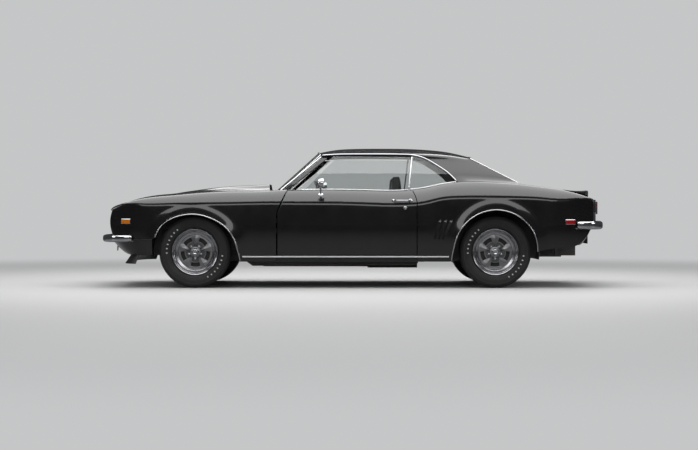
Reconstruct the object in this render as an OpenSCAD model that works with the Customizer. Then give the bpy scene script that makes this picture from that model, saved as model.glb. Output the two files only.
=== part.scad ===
// A black two-door hardtop coupe of the late 1960s, with doors, bonnet and boot lid that open,
// wheels that turn and front wheels that steer.
// X is forward, Y is to the car's left, Z is up; the origin is on the ground under the middle.

/* [Overall] */
// Length over both bumpers
body_l = 4690; // [4500:10:4900]
// Width over the rear arch flares
body_w = 1836; // [1780:2:1900]
// Height to the crown of the roof
body_h = 1300; // [1260:5:1360]
// Distance between the axles, as a share of half the length
wheelbase_share = 1.171002; // [1.1514:0.0001:1.1940]
// Front of the bumper to the front axle, as a share of half the length
front_overhang_share = 0.385501; // [0.3667:0.0001:0.4009]
// Distance between the planes of the two wheels on an axle
track = 1500; // [1470:2:1520]

/* [Body side] */
// Height of the widest line of the side, as a share of the height
waist_z_share = 0.430769; // [0.4000:0.0001:0.4615]
// Height of the lower edge behind the front wheel
sill_z = 240; // [230:2:260]
// Height of the top of the sill under the door
sill_top_z = 296; // [285:1:305]
// How far the lower edge tucks in from the widest line
tuck_in = 30; // [10:1:45]
// How far the shoulder crease sits in from the widest line
crease_in = 6; // [2:1:14]
// How far the shoulder leans in for each millimetre that it rises
shoulder_lean = 0.85; // [0.6:0.01:1]
// Least height of the shoulder above its crease
crease_min = 8; // [4:1:14]
// How far the top of a wing rises from its crest to its seam
seam_rise = 4; // [0:1:8]
// Sheet thickness of wings, lids and panels
skin_t = 5; // [4:0.5:6]
// Thickness of a whole door
door_t = 96; // [80:2:110]

/* [Wheel arches] */
// Mean radius of the arch openings
arch_r = 385; // [375:1:395]
// How far the arch lips stand out
flare_out = 26; // [10:1:30]
// How far the flare spreads, as a share of the arch radius
flare_reach = 0.3; // [0.2:0.01:0.4]

/* [Shut lines] */
// Gap in front of a door
door_gap_front = 12; // [11:0.5:14]
// Gap round the other edges of doors and lids
lid_gap = 6; // [5:0.5:9]
// Front edge of the door opening, ahead of the middle, as a share of half the length
door_front_share = 0.297228; // [0.2900:0.0001:0.3028]
// Rear edge of the door opening, behind the middle, as a share of half the length
door_rear_share = 0.251599; // [0.2431:0.0001:0.2601]
// Height at which the door's front edge starts to lean back, as a share of the height
cut_bend_z_share = 0.507692; // [0.4769:0.0001:0.5385]
// How far the front edge leans back at the top
cut_lean_front = 97; // [60:1:120]
// How far the rear edge leans forward at the top
cut_lean_rear = 42; // [10:1:60]
// How deep the door's hinge line lies under its widest skin
hinge_in = 10.9; // [10:0.1:11]
// Radius of a hinge pin
hinge_pin_r = 2.5; // [2:0.1:2.6]
// Length of a hinge pin
hinge_pin_l = 44; // [30:1:60]

/* [Cabin] */
// Half width of the side glass at the belt
glass_belt_y = 735; // [715:1:742]
// How far the side glass leans in for each millimetre of height
glass_lean = 0.4; // [0.36:0.01:0.44]
// Thickness of the glass
glass_t = 5; // [4:0.5:6]
// Thickness of the roof with its lining
roof_t = 22; // [14:1:30]
// Base of the windscreen at its sides, ahead of the middle, as a share of half the length
screen_base_share = 0.272921; // [0.2644:0.0001:0.2814]
// Top of the windscreen at its sides, ahead of the middle, as a share of half the length
screen_top_share = 0.123667; // [0.1151:0.0001:0.1322]
// How far the screen bows forward in its middle at the base
screen_bow = 80; // [50:1:100]
// Height of the screen's base, as a share of the height
screen_base_z_share = 0.686923; // [0.6769:0.0001:0.6962]
// Base of the rear window at its sides, behind the middle, as a share of half the length
rear_base_share = 0.660128; // [0.6525:0.0001:0.6695]
// Top of the rear window at its sides, behind the middle, as a share of half the length
rear_top_share = 0.465245; // [0.4563:0.0001:0.4733]

/* [Bonnet and boot] */
// Rise of the bonnet in its middle over its edges
bonnet_crown = 26; // [15:1:40]
// Height of the raised scoop at its rear
scoop_h = 44; // [20:1:60]
// Half width of the flat of the scoop
scoop_half_w = 200; // [150:5:260]
// Width of the scoop's sloping flank
scoop_flank = 80; // [50:5:120]
// Where the scoop starts, ahead of the middle, as a share of half the length
scoop_front_share = 0.742004; // [0.6823:0.0001:0.7676]
// Where the scoop ends, ahead of the middle, as a share of half the length
scoop_rear_share = 0.341151; // [0.3284:0.0001:0.3539]
// Front edge of the bonnet at its sides, as a share of half the length
bonnet_front_share = 0.879318; // [0.8699:0.0001:0.8870]
// Rear edge of the bonnet at its sides, as a share of half the length
bonnet_rear_share = 0.304904; // [0.2985:0.0001:0.3113]
// How far the bonnet's rear edge bows forward
bonnet_rear_bow = 78; // [60:1:90]
// How far the bonnet's front edge bows forward
bonnet_bow = 90; // [60:1:110]
// Rise of the boot lid in its middle over its edges
deck_crown = 18; // [8:1:30]
// Front edge of the boot lid, behind the middle, as a share of half the length
boot_front_share = 0.720682; // [0.7122:0.0001:0.7292]
// Rear edge of the boot lid at its sides, behind the middle, as a share of half the length
boot_rear_share = 0.916844; // [0.9083:0.0001:0.9232]
// How far the tail bows back in its middle
tail_bow = 104; // [80:1:120]
// Height of the boot spoiler over the deck
spoiler_h = 62; // [40:1:80]
// Depth of the boot spoiler along the car
spoiler_l = 200; // [150:5:240]

/* [Nose and bumpers] */
// Front of the nose at its middle, as a share of half the length
nose_share = 0.980810; // [0.9723:0.0001:0.9851]
// How far the nose sweeps back to the wings
nose_sweep = 82; // [60:1:100]
// Seam between wing and valance, as a share of the height
valance_z_share = 0.341538; // [0.3354:0.0001:0.3431]
// Lower edge of the front valance, as a share of the height
valance_low_z_share = 0.228462; // [0.2192:0.0001:0.2385]
// Height of the front bumper's middle, as a share of the height
bumper_front_z_share = 0.346923; // [0.3385:0.0001:0.3577]
// Height of the rear bumper's middle, as a share of the height
bumper_rear_z_share = 0.440000; // [0.4308:0.0001:0.4500]
// Height of the bumper blades
bumper_h = 66; // [50:1:80]
// Thickness of the bumper blades
bumper_t = 24; // [16:1:32]
// How far a bumper wraps along the side
bumper_wrap = 330; // [280:5:360]

/* [Wheels] */
// Diameter of the tyres
tyre_od = 656; // [640:2:670]
// Width of the tyres
tyre_w = 222; // [205:1:235]
// Diameter of the rim's flange
rim_od = 420; // [410:1:425]
// Width of the rim
rim_w = 186; // [170:1:196]
// Depth of the drop from the flange to the bead seat
rim_drop = 14; // [10:0.5:18]
// Thickness of the rim's barrel
rim_t = 9; // [6:0.5:12]
// Number of spokes
spokes = 5; // [5:1:5]
// Radius of the wheel's hub bore
axle_r = 22; // [18:0.5:26]
// Running gap between hub and axle
run_gap = 0.05; // [0.02:0.01:0.1]
// Radius of the circle of the wheel nuts
nut_circle_r = 60; // [55:0.5:65]

/* [Steering] */
// How far the steering axis lies inside the wheel's plane
king_in = 84; // [78:1:95]
// Radius of the steering upright
king_r = 24; // [18:1:30]
// Radius of the ball pins
ball_r = 9; // [7:0.5:12]
// Diameter of the steering wheel
helm_d = 390; // [360:5:410]

/* [Fixings] */
// Half spacing of the number plate's holes across
plate_hole_y = 88.9; // [80:0.1:95]
// Half spacing of the number plate's holes up and down
plate_hole_z = 60.3; // [50:0.1:65]
// Radius of the number plate's holes
plate_hole_r = 3.5; // [3:0.1:4]
// Radius of the tow eye
tow_r = 16; // [12:0.5:20]

/* [Hidden] */

$fn = 48;
half_l = body_l / 2;
wheelbase = half_l * wheelbase_share;
front_overhang = half_l * front_overhang_share;
waist_z = body_h * waist_z_share;
door_front_x = half_l * door_front_share;
door_rear_x = half_l * door_rear_share;
cut_bend_z = body_h * cut_bend_z_share;
screen_base_x = half_l * screen_base_share;
screen_top_x = half_l * screen_top_share;
screen_base_z = body_h * screen_base_z_share;
rear_base_x = half_l * rear_base_share;
rear_top_x = half_l * rear_top_share;
scoop_front_x = half_l * scoop_front_share;
scoop_rear_x = half_l * scoop_rear_share;
bonnet_front_x = half_l * bonnet_front_share;
bonnet_rear_x = half_l * bonnet_rear_share;
boot_front_x = half_l * boot_front_share;
boot_rear_x = half_l * boot_rear_share;
nose_x = half_l * nose_share;
valance_z = body_h * valance_z_share;
valance_low_z = body_h * valance_low_z_share;
bumper_front_z = body_h * bumper_front_z_share;
bumper_rear_z = body_h * bumper_rear_z_share;
half_w = body_w / 2;
front_axle_x = half_l - front_overhang;
rear_axle_x = front_axle_x - wheelbase;
hub_z = tyre_od / 2;
hub_y = track / 2;
king_y = hub_y - king_in;
seat_gap = 0.3;
lap = 1;

// Body lines along the car: place, widest half width, crease height, crest height, seam half
// width; the first and the last two are shares of half_l and half_w, the others of body_h
BODY_SHARES = [
    [-0.980, 0.846, 0.583, 0.596, 0.697],
    [-0.939, 0.888, 0.612, 0.625, 0.697],
    [-0.903, 0.915, 0.625, 0.648, 0.697],
    [-0.823, 0.948, 0.615, 0.688, 0.697],
    [-0.725, 0.969, 0.624, 0.714, 0.714],
    [-0.657, 0.976, 0.629, 0.728, 0.736],
    [-0.557, 0.982, 0.632, 0.742, 0.744],
    [-0.410, 0.983, 0.631, 0.744, 0.760],
    [-0.343, 0.982, 0.621, 0.727, 0.762],
    [-0.286, 0.981, 0.596, 0.705, 0.775],
    [-0.221, 0.980, 0.582, 0.690, 0.787],
    [0.000, 0.980, 0.588, 0.691, 0.826],
    [0.213, 0.978, 0.592, 0.691, 0.822],
    [0.280, 0.977, 0.593, 0.688, 0.790],
    [0.351, 0.976, 0.593, 0.680, 0.752],
    [0.468, 0.973, 0.589, 0.678, 0.732],
    [0.597, 0.967, 0.587, 0.667, 0.720],
    [0.717, 0.959, 0.585, 0.648, 0.714],
    [0.821, 0.943, 0.586, 0.628, 0.705],
    [0.882, 0.917, 0.590, 0.601, 0.697],
    [0.941, 0.861, 0.552, 0.563, 0.690]];

// Arch lips round the hubs: angle from the front, radius as a share of arch_r
FRONT_ARCH_SHARES = [[-20, 1.01], [0, 0.995], [25, 1], [41, 0.995], [63, 0.935], [90, 0.895],
    [116, 0.892], [137, 0.935], [159, 0.98], [180, 1.032], [192, 1.105], [205, 1.2]];
REAR_ARCH_SHARES = [[-25, 1.12], [-12, 1.075], [0, 1.02], [22, 0.995], [45, 0.993], [90, 0.997],
    [135, 1], [160, 1], [180, 0.99], [200, 1]];

// Roof lines along the car: place and rail half width as shares of half_l and half_w, height in
// the middle and at the rail as shares of body_h
ROOF_SHARES = [
    [-0.475, 0.934, 0.908, 0.637],
    [-0.389, 0.972, 0.932, 0.643],
    [-0.305, 0.990, 0.943, 0.647],
    [-0.223, 0.998, 0.946, 0.649],
    [-0.141, 1.000, 0.948, 0.651],
    [0.000, 0.998, 0.948, 0.650],
    [0.072, 0.989, 0.946, 0.643],
    [0.137, 0.966, 0.938, 0.630]];

// Front edge of the sail panel: way up, place and height as shares of half_l and body_h
SAIL_SHARES = [[0, -0.410, 0.748], [0.3, -0.373, 0.816], [0.6, -0.321, 0.879],
    [0.85, -0.269, 0.927], [1, -0.228, 0.942]];

// Lower edge behind the rear wheel: place and height as shares of half_l and body_h
UNDER_SHARES = [[-0.939, 0.45], [-0.925, 0.4], [-0.905, 0.345], [-0.878, 0.303], [-0.8, 0.278],
    [-0.71, 0.252]];

// Smooth curve through the rows of a table, column c, at x
function row_at(t, x, i = 0) = (i >= len(t) - 2 || x < t[i + 1][0]) ? i : row_at(t, x, i + 1);
function rise(t, i, c) =
    let (a = max(i - 1, 0), b = min(i + 1, len(t) - 1))
    (t[b][c] - t[a][c]) / (t[b][0] - t[a][0]);
function along(t, c, x) =
    let (i = row_at(t, x), w = t[i + 1][0] - t[i][0], u = min(1, max(0, (x - t[i][0]) / w)))
    let (m = rise(t, i, c) * w, n = rise(t, i + 1, c) * w)
    t[i][c] * (2 * u * u * u - 3 * u * u + 1) + m * (u * u * u - 2 * u * u + u)
    + t[i + 1][c] * (3 * u * u - 2 * u * u * u) + n * (u * u * u - u * u);
function mix(a, b, t) = a + (b - a) * t;
function held(v) = min(1, max(0, v));

function waist_y(x) = half_w * along(BODY_SHARES, 1, x / half_l);
function crest_z(x) = body_h * along(BODY_SHARES, 3, x / half_l);
function crease_z(x) = min(body_h * along(BODY_SHARES, 2, x / half_l), crest_z(x) - crease_min);
function seam_y(x) = half_w * along(BODY_SHARES, 4, x / half_l);
function under_z(x) = body_h * along(UNDER_SHARES, 1, x / half_l);

function arch_at(axle_x, table, a) =
    let (r = arch_r * along(table, 1, a))
    [axle_x + r * cos(a), hub_z + r * sin(a)];
function flare(x, z, axle_x, table) =
    let (dx = x - axle_x, dz = z - hub_z, a = atan2(dz, dx))
    let (u = (norm([dx, dz]) / (arch_r * along(table, 1, a < -90 ? a + 360 : a)) - 1) / flare_reach)
    u > 1 ? 0 : flare_out * held(dz / arch_r + 0.35) * pow(1 - max(u, 0), 2);
function plain_side_y(x, z) =
    let (zt = crest_z(x), zc = crease_z(x), yw = waist_y(x))
    z <= waist_z ? yw - tuck_in * pow((waist_z - z) / (waist_z - sill_z), 2)
    : z <= zc ? yw - crease_in * pow((z - waist_z) / (zc - waist_z), 2)
    : let (q = min(1, (z - zc) / (zt - zc)), s = (1.2 - sqrt(1.44 - 0.8 * q)) / 0.4)
    yw - crease_in - shoulder_lean * (zt - zc) * (0.5 * s + 0.5 * s * s);
function side_y(x, z) = plain_side_y(x, z)
    + flare(x, z, front_axle_x, FRONT_ARCH_SHARES) + flare(x, z, rear_axle_x, REAR_ARCH_SHARES);

function cut_front(z) =
    door_front_x - cut_lean_front * pow(held((z - cut_bend_z) / (body_h * 0.69 - cut_bend_z)), 1.3);
function cut_rear(z) =
    -door_rear_x + cut_lean_rear * pow(held((z - body_h * 0.6) / (body_h * 0.09)), 1.5);
function nose_out(z) = half_l * 0.0158 * sin(153 * held((z - valance_z) / (body_h * 0.21)));

function bonnet_rear(y) = bonnet_rear_x + bonnet_rear_bow * (1 - pow(y / seam_y(bonnet_rear_x), 2));
function bonnet_front(y) = bonnet_front_x + bonnet_bow * (1 - pow(y / seam_y(bonnet_front_x), 2));
function scoop(x, y) =
    let (u = held((scoop_front_x - x) / (scoop_front_x - scoop_rear_x)))
    let (v = held((abs(y) - scoop_half_w) / scoop_flank), w = 1 - v * v * (3 - 2 * v))
    x < scoop_rear_x ? 0 : scoop_h * pow(u, 0.9) * w;
function bonnet_z(x, y) =
    crest_z(x) + seam_rise + bonnet_crown * (1 - pow(y / seam_y(x), 2)) + scoop(x, y);
function deck_z(x, y) = crest_z(x) + seam_rise
    + deck_crown * (1 - pow(y / seam_y(x), 2)) * held((-boot_front_x - x) / (boot_rear_x - boot_front_x));
function nose_front(y) = nose_x - nose_sweep * pow(y / seam_y(bonnet_front_x), 2);
function tail_rear(y) = -half_l * 0.939 + skin_t * 0.26 - tail_bow * (1 - pow(y / waist_y(-half_l * 0.939),
    2));

function roof_z(x, y) =
    let (m = body_h * along(ROOF_SHARES, 1, x / half_l), r = body_h * along(ROOF_SHARES, 2, x / half_l))
    m - (m - r) * pow(y / rail_y(x), 2);
function rail_y(x) = half_w * along(ROOF_SHARES, 3, x / half_l);
function rail_z(x) = body_h * along(ROOF_SHARES, 2, x / half_l);
function glass_y(x, z) =
    let (dz = z - body_h * 0.69)
    glass_belt_y - glass_lean * dz - glass_lean * dz * dz / (body_h * 3)
    - glass_belt_y * 0.02 * pow((x / half_l + 0.06) / 0.34, 2);
function sail_edge(t) = [half_l * along(SAIL_SHARES, 1, t), body_h * along(SAIL_SHARES, 2, t)];
function rear_edge(t) =
    [mix(-rear_base_x, -rear_top_x, t), mix(crest_z(-rear_base_x), rail_z(-rear_top_x), t)];

// A closed sheet between two grids of points; rows run so that outer faces out
function sheet_faces(n, m) =
    let (o = n * m)
    concat(
    [for (i = [0 : n - 2], j = [0 : m - 2]) [i * m + j, i * m + m + j + 1, i * m + m + j]],
    [for (i = [0 : n - 2], j = [0 : m - 2]) [i * m + j, i * m + j + 1, i * m + m + j + 1]],
    [for (i = [0 : n - 2], j = [0 : m - 2]) [o + i * m + j, o + i * m + m + j, o + i * m + m + j + 1]],
    [for (i = [0 : n - 2], j = [0 : m - 2]) [o + i * m + j, o + i * m + m + j + 1, o + i * m + j + 1]],
    [for (i = [0 : n - 2]) [i * m, i * m + m, o + i * m + m]],
    [for (i = [0 : n - 2]) [i * m, o + i * m + m, o + i * m]],
    [for (i = [1 : n - 1]) [i * m + m - 1, i * m - 1, o + i * m - 1]],
    [for (i = [1 : n - 1]) [i * m + m - 1, o + i * m - 1, o + i * m + m - 1]],
    [for (j = [0 : m - 2]) [j + 1, j, o + j]],
    [for (j = [0 : m - 2]) [j + 1, o + j, o + j + 1]],
    [for (j = [0 : m - 2]) [o - m + j, o - m + j + 1, o + o - m + j + 1]],
    [for (j = [0 : m - 2]) [o - m + j, o + o - m + j + 1, o + o - m + j]]);
module sheet(outer, inner) {
    points = concat([for (row = outer) each row], [for (row = inner) each row]);
    polyhedron(points, sheet_faces(len(outer), len(outer[0])), 3);
}
function facing(g, i, j) =
    let (a = g[min(i + 1, len(g) - 1)][j] - g[max(i - 1, 0)][j])
    let (b = g[i][min(j + 1, len(g[0]) - 1)] - g[i][max(j - 1, 0)], n = cross(a, b))
    n / norm(n);
function sunk(g, t) =
    [for (i = [0 : len(g) - 1]) [for (j = [0 : len(g[0]) - 1]) g[i][j] - t * facing(g, i, j)]];
function moved(g, v) = [for (row = g) [for (p = row) p + v]];
function on_side(g) = [for (row = g) [for (p = row) [p.x, side_y(p.x, p.y), p.y]]];
function with_seam(g) =
    [for (row = g) let (p = row[len(row) - 1])
        concat(row, [for (u = [0.5, 1]) [p.x, mix(p.y, seam_y(p.x), u), p.z + seam_rise * u]])];
module both_sides() {
    children();
    mirror([0, 1, 0]) children();
}

// Heights of the rows of a side panel: the lower edge, the widest line, the crease, the crest
function levels(low, x) =
    let (zc = crease_z(x), zt = crest_z(x), zw = max(waist_z, mix(low, zc, 0.4)))
    [low, mix(low, zw, 0.34), mix(low, zw, 0.67), zw, mix(zw, zc, 0.5), zc, mix(zc, zt, 0.35),
        mix(zc, zt, 0.7), zt];

// Wings: columns of points from the lower edge and the arch up to the crest
wing_cols = 3;
arch_steps = 14;
side_rows = 8;
wing_low = concat(
    [for (k = [0 : wing_cols]) [mix(half_l * 0.932, front_axle_x + arch_r * 0.955, k / (wing_cols + 1)),
        valance_z]],
    [for (k = [0 : arch_steps]) arch_at(front_axle_x, FRONT_ARCH_SHARES, mix(20, 192, k / arch_steps))],
    [for (k = [1 : wing_cols]) [mix(front_axle_x - arch_r * 1.08, door_front_x, k / wing_cols), sill_z]]);
function wing_x(low_x, z) =
    let (s = held((half_l * 0.932 - low_x) / (half_l * 0.932 - door_front_x)))
    low_x + s * (cut_front(z) - door_front_x) + (1 - s) * nose_out(z);
function wing_column(p) =
    let (zs = levels(p.y, wing_x(p.x, body_h * 0.59)))
    [for (j = [0 : side_rows]) let (x = wing_x(p.x, zs[j])) [x, j == side_rows ? crest_z(x) : zs[j]]];
wing_grid = with_seam(on_side([for (p = wing_low) wing_column(p)]));
module wing() {
    sheet(wing_grid, sunk(wing_grid, skin_t));
}
module wing_left() {
    color("#111214") wing();
}
module wing_right() {
    color("#111214") mirror([0, 1, 0]) wing();
}

// Quarters: the same from the door's rear edge round the rear arch to the tail
quarter_low = concat(
    [for (k = [0 : wing_cols - 1]) [mix(-door_rear_x, rear_axle_x + arch_r * 1.06, k / wing_cols), sill_z]],
    [for (k = [0 : arch_steps]) arch_at(rear_axle_x, REAR_ARCH_SHARES, mix(-12, 180, k / arch_steps))],
    [for (s = [0.76, 0.81, 0.86, 0.9, 0.925, 0.939]) [-half_l * s, under_z(-half_l * s)]]);
function quarter_x(low_x, z) =
    let (s = held((-door_rear_x - low_x) / (half_l * 0.939 - door_rear_x)))
    low_x + (1 - s) * (cut_rear(z) + door_rear_x);
function quarter_column(p) =
    let (zs = levels(p.y, quarter_x(p.x, body_h * 0.6)))
    [for (j = [0 : side_rows]) let (x = quarter_x(p.x, zs[j])) [x, j == side_rows ? crest_z(x) : zs[j]]];
quarter_grid = with_seam(on_side([for (p = quarter_low) quarter_column(p)]));
module quarter() {
    sheet(quarter_grid, sunk(quarter_grid, skin_t));
}
module quarter_left() {
    color("#111214") quarter();
}
module quarter_right() {
    color("#111214") mirror([0, 1, 0]) quarter();
}

// Doors: as thick as the whole door, with a rear face that clears its jamb
door_cols = 12;
door_low_z = sill_top_z + lid_gap;
function door_column(u) =
    let (zs = levels(door_low_z, mix(door_front_x - cut_lean_front, -door_rear_x, u)))
    [for (j = [0 : side_rows])
        let (x = mix(cut_front(zs[j]) - door_gap_front, cut_rear(zs[j]) + lid_gap, u))
        [x, j == side_rows ? crest_z(x) : zs[j]]];
door_grid = on_side([for (i = [0 : door_cols]) door_column(i / door_cols)]);
door_inner = [for (i = [0 : door_cols]) [for (p = door_grid[i])
    p + [door_gap_front * i / door_cols, -door_t, 0]]];
hinge_x = door_front_x;
hinge_y = side_y(door_front_x, waist_z) - hinge_in;
hinge_heights = [waist_z - hinge_pin_l * 1.4, waist_z + hinge_pin_l * 0.8];
leaf_r = hinge_pin_r * 1.7;
leaf_l = hinge_pin_l * 0.4;
module door() {
    union() {
        sheet(door_grid, door_inner);
        for (z = hinge_heights)
            translate([hinge_x, hinge_y, z + (hinge_pin_l - leaf_l) / 2])
                difference() {
                    union() {
                        cylinder(h = leaf_l, r = leaf_r);
                        translate([-door_gap_front * 2, -leaf_r * 2, 0])
                            cube([door_gap_front * 2, leaf_r * 2, leaf_l]);
                    }
                    translate([0, 0, -lap]) cylinder(h = leaf_l + 2 * lap, r = hinge_pin_r + run_gap);
                }
    }
}
module door_left() {
    color("#111214") door();
}
module door_right() {
    color("#111214") mirror([0, 1, 0]) door();
}
module door_hinge() {
    arm_t = hinge_pin_l * 0.16;
    for (z = hinge_heights)
        translate([hinge_x, hinge_y, z]) {
            cylinder(h = hinge_pin_l, r = hinge_pin_r);
            for (a = [0, hinge_pin_l - arm_t])
                translate([-hinge_pin_r, -leaf_r * 4, a])
                    cube([hinge_pin_r * 2, leaf_r * 4, arm_t]);
            translate([-hinge_pin_r, -leaf_r * 5, 0])
                cube([leaf_r * 6, leaf_r * 1.6, hinge_pin_l]);
        }
}
module door_hinges() {
    color("#3a3c40") both_sides() door_hinge();
}

// Side glass: patches of the glass surface between edges drawn in the side view
belt_gap = 4;
strip_low = [-half_l * 0.221, body_h * 0.7];
strip_top = [-half_l * 0.235, body_h * 0.925];
module glass_patch(front, rear, cols, lift) {
    top = len(front) - 1;
    g = [for (i = [0 : cols]) [for (j = [0 : top])
        let (p = mix(front[j], rear[j], i / cols), low = mix(front[0], rear[0], i / cols))
        let (z = p.y + (crest_z(low.x) + lift - low.y) * (1 - j / top)) [p.x, glass_y(p.x, z), z]]];
    sheet(g, moved(g, [0, -glass_t, 0]));
}
door_glass_front = [for (j = [0 : 4])
    mix([half_l * 0.212, body_h * 0.7], [half_l * 0.076, body_h * 0.93], j / 4)];
door_glass_rear = [for (j = [0 : 4]) mix(strip_low + [lid_gap, 0], strip_top + [lid_gap, 0], j / 4)];
module door_glass_left() {
    color("#8fa3a8", 0.4) glass_patch(door_glass_front, door_glass_rear, 8, lap);
}
module door_glass_right() {
    color("#8fa3a8", 0.4) mirror([0, 1, 0]) glass_patch(door_glass_front, door_glass_rear, 8, lap);
}
quarter_glass_front = [for (j = [0 : 6]) mix(strip_low, strip_top, j / 6)];
quarter_glass_rear = [for (j = [0 : 6])
    sail_edge(mix(0.02, 0.86, j / 6)) + [lap * 1.4, 0]];
module quarter_glass() {
    color("#8fa3a8", 0.4) both_sides() glass_patch(quarter_glass_front, quarter_glass_rear, 6,
        seam_rise + lap);
}

// Roof, screen pillars and sail panels
roof_cols = 12;
roof_grid = [for (i = [0 : 10]) [for (j = [0 : roof_cols])
    let (v = 1 - 2 * j / roof_cols)
    let (x = mix(screen_top_x + screen_bow * 0.35 * (1 - v * v), -rear_top_x - lid_gap * 3 * (1 - v * v),
        i / 10))
    let (y = v * rail_y(x)) [x, y, roof_z(x, y)]]];
module roof() {
    color("#111214") sheet(roof_grid, sunk(roof_grid, roof_t));
}
pillar_w = 70;
pillar_d = 30;
cowl_z = body_h * 0.66;
screen_foot_x = screen_base_x + (screen_base_z - cowl_z) * 1.067;
module screen_pillars() {
    color("#111214") both_sides() hull() {
        translate([screen_foot_x - pillar_w, glass_y(screen_base_x, screen_base_z) - pillar_d,
            cowl_z + seat_gap])
            translate([pillar_w * 0.44, 0, 0]) cube([pillar_w * 0.56, pillar_d, lap]);
        translate([screen_top_x - pillar_w, rail_y(screen_top_x) - pillar_d - roof_t * 0.5,
            rail_z(screen_top_x) - roof_t * 1.02])
            cube([pillar_w, pillar_d, lap]);
    }
}
sail_steps = 10;
sail_grid = [for (i = [0 : 5]) [for (j = [0 : sail_steps])
    let (t = j / sail_steps * 0.97, p = mix(sail_edge(t), rear_edge(t), i / 5))
    let (z = min(p.y, rail_z(p.x) - roof_t * 1.06)) [p.x, glass_y(p.x, z) + glass_t, z]]];
module sail_panels() {
    color("#111214") both_sides() sheet(sail_grid, moved(sail_grid, [0, -skin_t * 3, 0]));
}

// Screens: ruled between a bowed base and a bowed top
screen_lap = glass_t * 1.7;
screen_grid = [for (i = [0 : 6]) [for (j = [0 : 12])
    let (v = 1 - 2 * j / 12, b = 1 - v * v)
    let (low = [screen_foot_x + screen_lap + screen_bow * b,
        v * (glass_y(screen_base_x, screen_base_z) - pillar_d * 0.3), cowl_z + glass_t * 0.8])
    let (top_x = screen_top_x + screen_lap + screen_bow * 0.35 * b,
        top_y = v * (rail_y(screen_top_x) - pillar_d * 0.6))
    mix(low, [top_x, top_y, roof_z(screen_top_x, top_y) - skin_t], i / 6)]];
module windscreen() {
    color("#8fa3a8", 0.4) sheet(screen_grid, sunk(screen_grid, glass_t));
}
rear_grid = [for (i = [0 : 6]) [for (j = [0 : 12])
    let (v = 2 * j / 12 - 1, b = 1 - v * v)
    let (x = -rear_base_x - screen_bow * 0.6 * b)
    let (y = v * (glass_y(-rear_base_x, crest_z(-rear_base_x)) + glass_t - skin_t * 3.1))
    let (top_x = -rear_top_x - lid_gap * 3 * b)
    let (top_y = v * (glass_y(-rear_top_x, rail_z(-rear_top_x)) + glass_t - skin_t * 3.1))
    mix([x, y, deck_z(x, y) + seat_gap], [top_x - glass_t * 0.8, top_y, roof_z(top_x, top_y) - lap],
        i / 6)]];
module rear_window() {
    color("#8fa3a8", 0.4) sheet(rear_grid, sunk(rear_grid, glass_t));
}

// Bonnet and nose
bonnet_cols = 14;
bonnet_steps = [0, 0.06, 0.14, 0.22, 0.32, 0.45, 0.58, 0.7, 0.8, 0.9, 0.985, 1];
bonnet_grid = [for (u = bonnet_steps) [for (j = [0 : bonnet_cols])
    let (v = 1 - 2 * j / bonnet_cols, edge = 1 - lid_gap / seam_y(bonnet_rear_x))
    let (y0 = v * edge * seam_y(bonnet_front_x), x = mix(bonnet_front(y0), bonnet_rear(y0), u))
    let (y = v * edge * seam_y(x)) [x, y, bonnet_z(x, y)]]];
lug_r = hinge_pin_r * 1.7;
lug_l = 30;
bonnet_pin_y = seam_y(bonnet_rear_x) - lid_gap - lug_l * 1.8;
bonnet_pin_x = bonnet_rear(bonnet_pin_y) + lug_r;
bonnet_pin_z = bonnet_z(bonnet_pin_x, bonnet_pin_y) - skin_t * 1.5 - hinge_pin_r;
rear_floor_half = half_w * 0.6;
boot_pin_y = rear_floor_half - lug_l;
boot_pin_x = -boot_front_x + door_gap_front;
boot_pin_z = deck_z(boot_pin_x, 0) - hinge_in;
module lug(reach) {
    rotate([90, 0, 0]) difference() {
        union() {
            cylinder(h = lug_l, r = lug_r);
            translate([min(0, reach), -lug_r, 0]) cube([abs(reach), lug_r * 1.4, lug_l]);
        }
        translate([0, 0, -lap]) cylinder(h = lug_l + 2 * lap, r = hinge_pin_r + run_gap);
    }
}
module bonnet() {
    color("#111214") union() {
        sheet(bonnet_grid, sunk(bonnet_grid, skin_t));
        both_sides() translate([bonnet_pin_x, bonnet_pin_y, bonnet_pin_z]) {
            lug(lug_r * 3);
            translate([lug_r * 1.5, -lug_l, 0]) cube([lug_r * 1.5, lug_l, skin_t * 1.5]);
        }
    }
}
nose_grid = [for (i = [0 : 5]) [for (j = [0 : bonnet_cols])
    let (v = 1 - 2 * j / bonnet_cols, y = v * (seam_y(half_l * 0.941) - seat_gap * 2))
    let (a = [bonnet_front(y) + lid_gap, y, bonnet_z(bonnet_front(y), y)])
    let (b = [nose_front(y), y, body_h * 0.545], u = i / 5)
    [mix(b.x, a.x, pow(u, 1.5)), y, mix(b.z, a.z, pow(u, 0.7))]]];
module nose_panel() {
    color("#111214") sheet(nose_grid, sunk(nose_grid, skin_t));
}

// Deck, boot lid and tail
deck_grid = [for (i = [0 : 3]) [for (j = [0 : 12])
    let (v = 1 - 2 * j / 12)
    let (x = mix(-rear_base_x - seat_gap * 3 - screen_bow * 0.6 * (1 - v * v),
        -boot_front_x + door_gap_front, i / 3))
    let (y = v * (seam_y(x) - lap)) [x, y, deck_z(x, y)]]];
module deck_panel() {
    color("#111214") {
        sheet(deck_grid, sunk(deck_grid, skin_t));
        translate([-boot_front_x, -rear_floor_half, cowl_z])
            cube([boot_front_x - rear_top_x, 2 * rear_floor_half, skin_t]);
    }
}
boot_grid = [for (i = [0 : 8]) [for (j = [0 : 12])
    let (v = 1 - 2 * j / 12, y0 = v * (seam_y(-boot_rear_x) - lid_gap))
    let (x = mix(-boot_front_x, -boot_rear_x - tail_bow * 0.9 * (1 - v * v), i / 8))
    let (y = v * (seam_y(x) - lid_gap)) [x, y, deck_z(x, y)]]];
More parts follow.
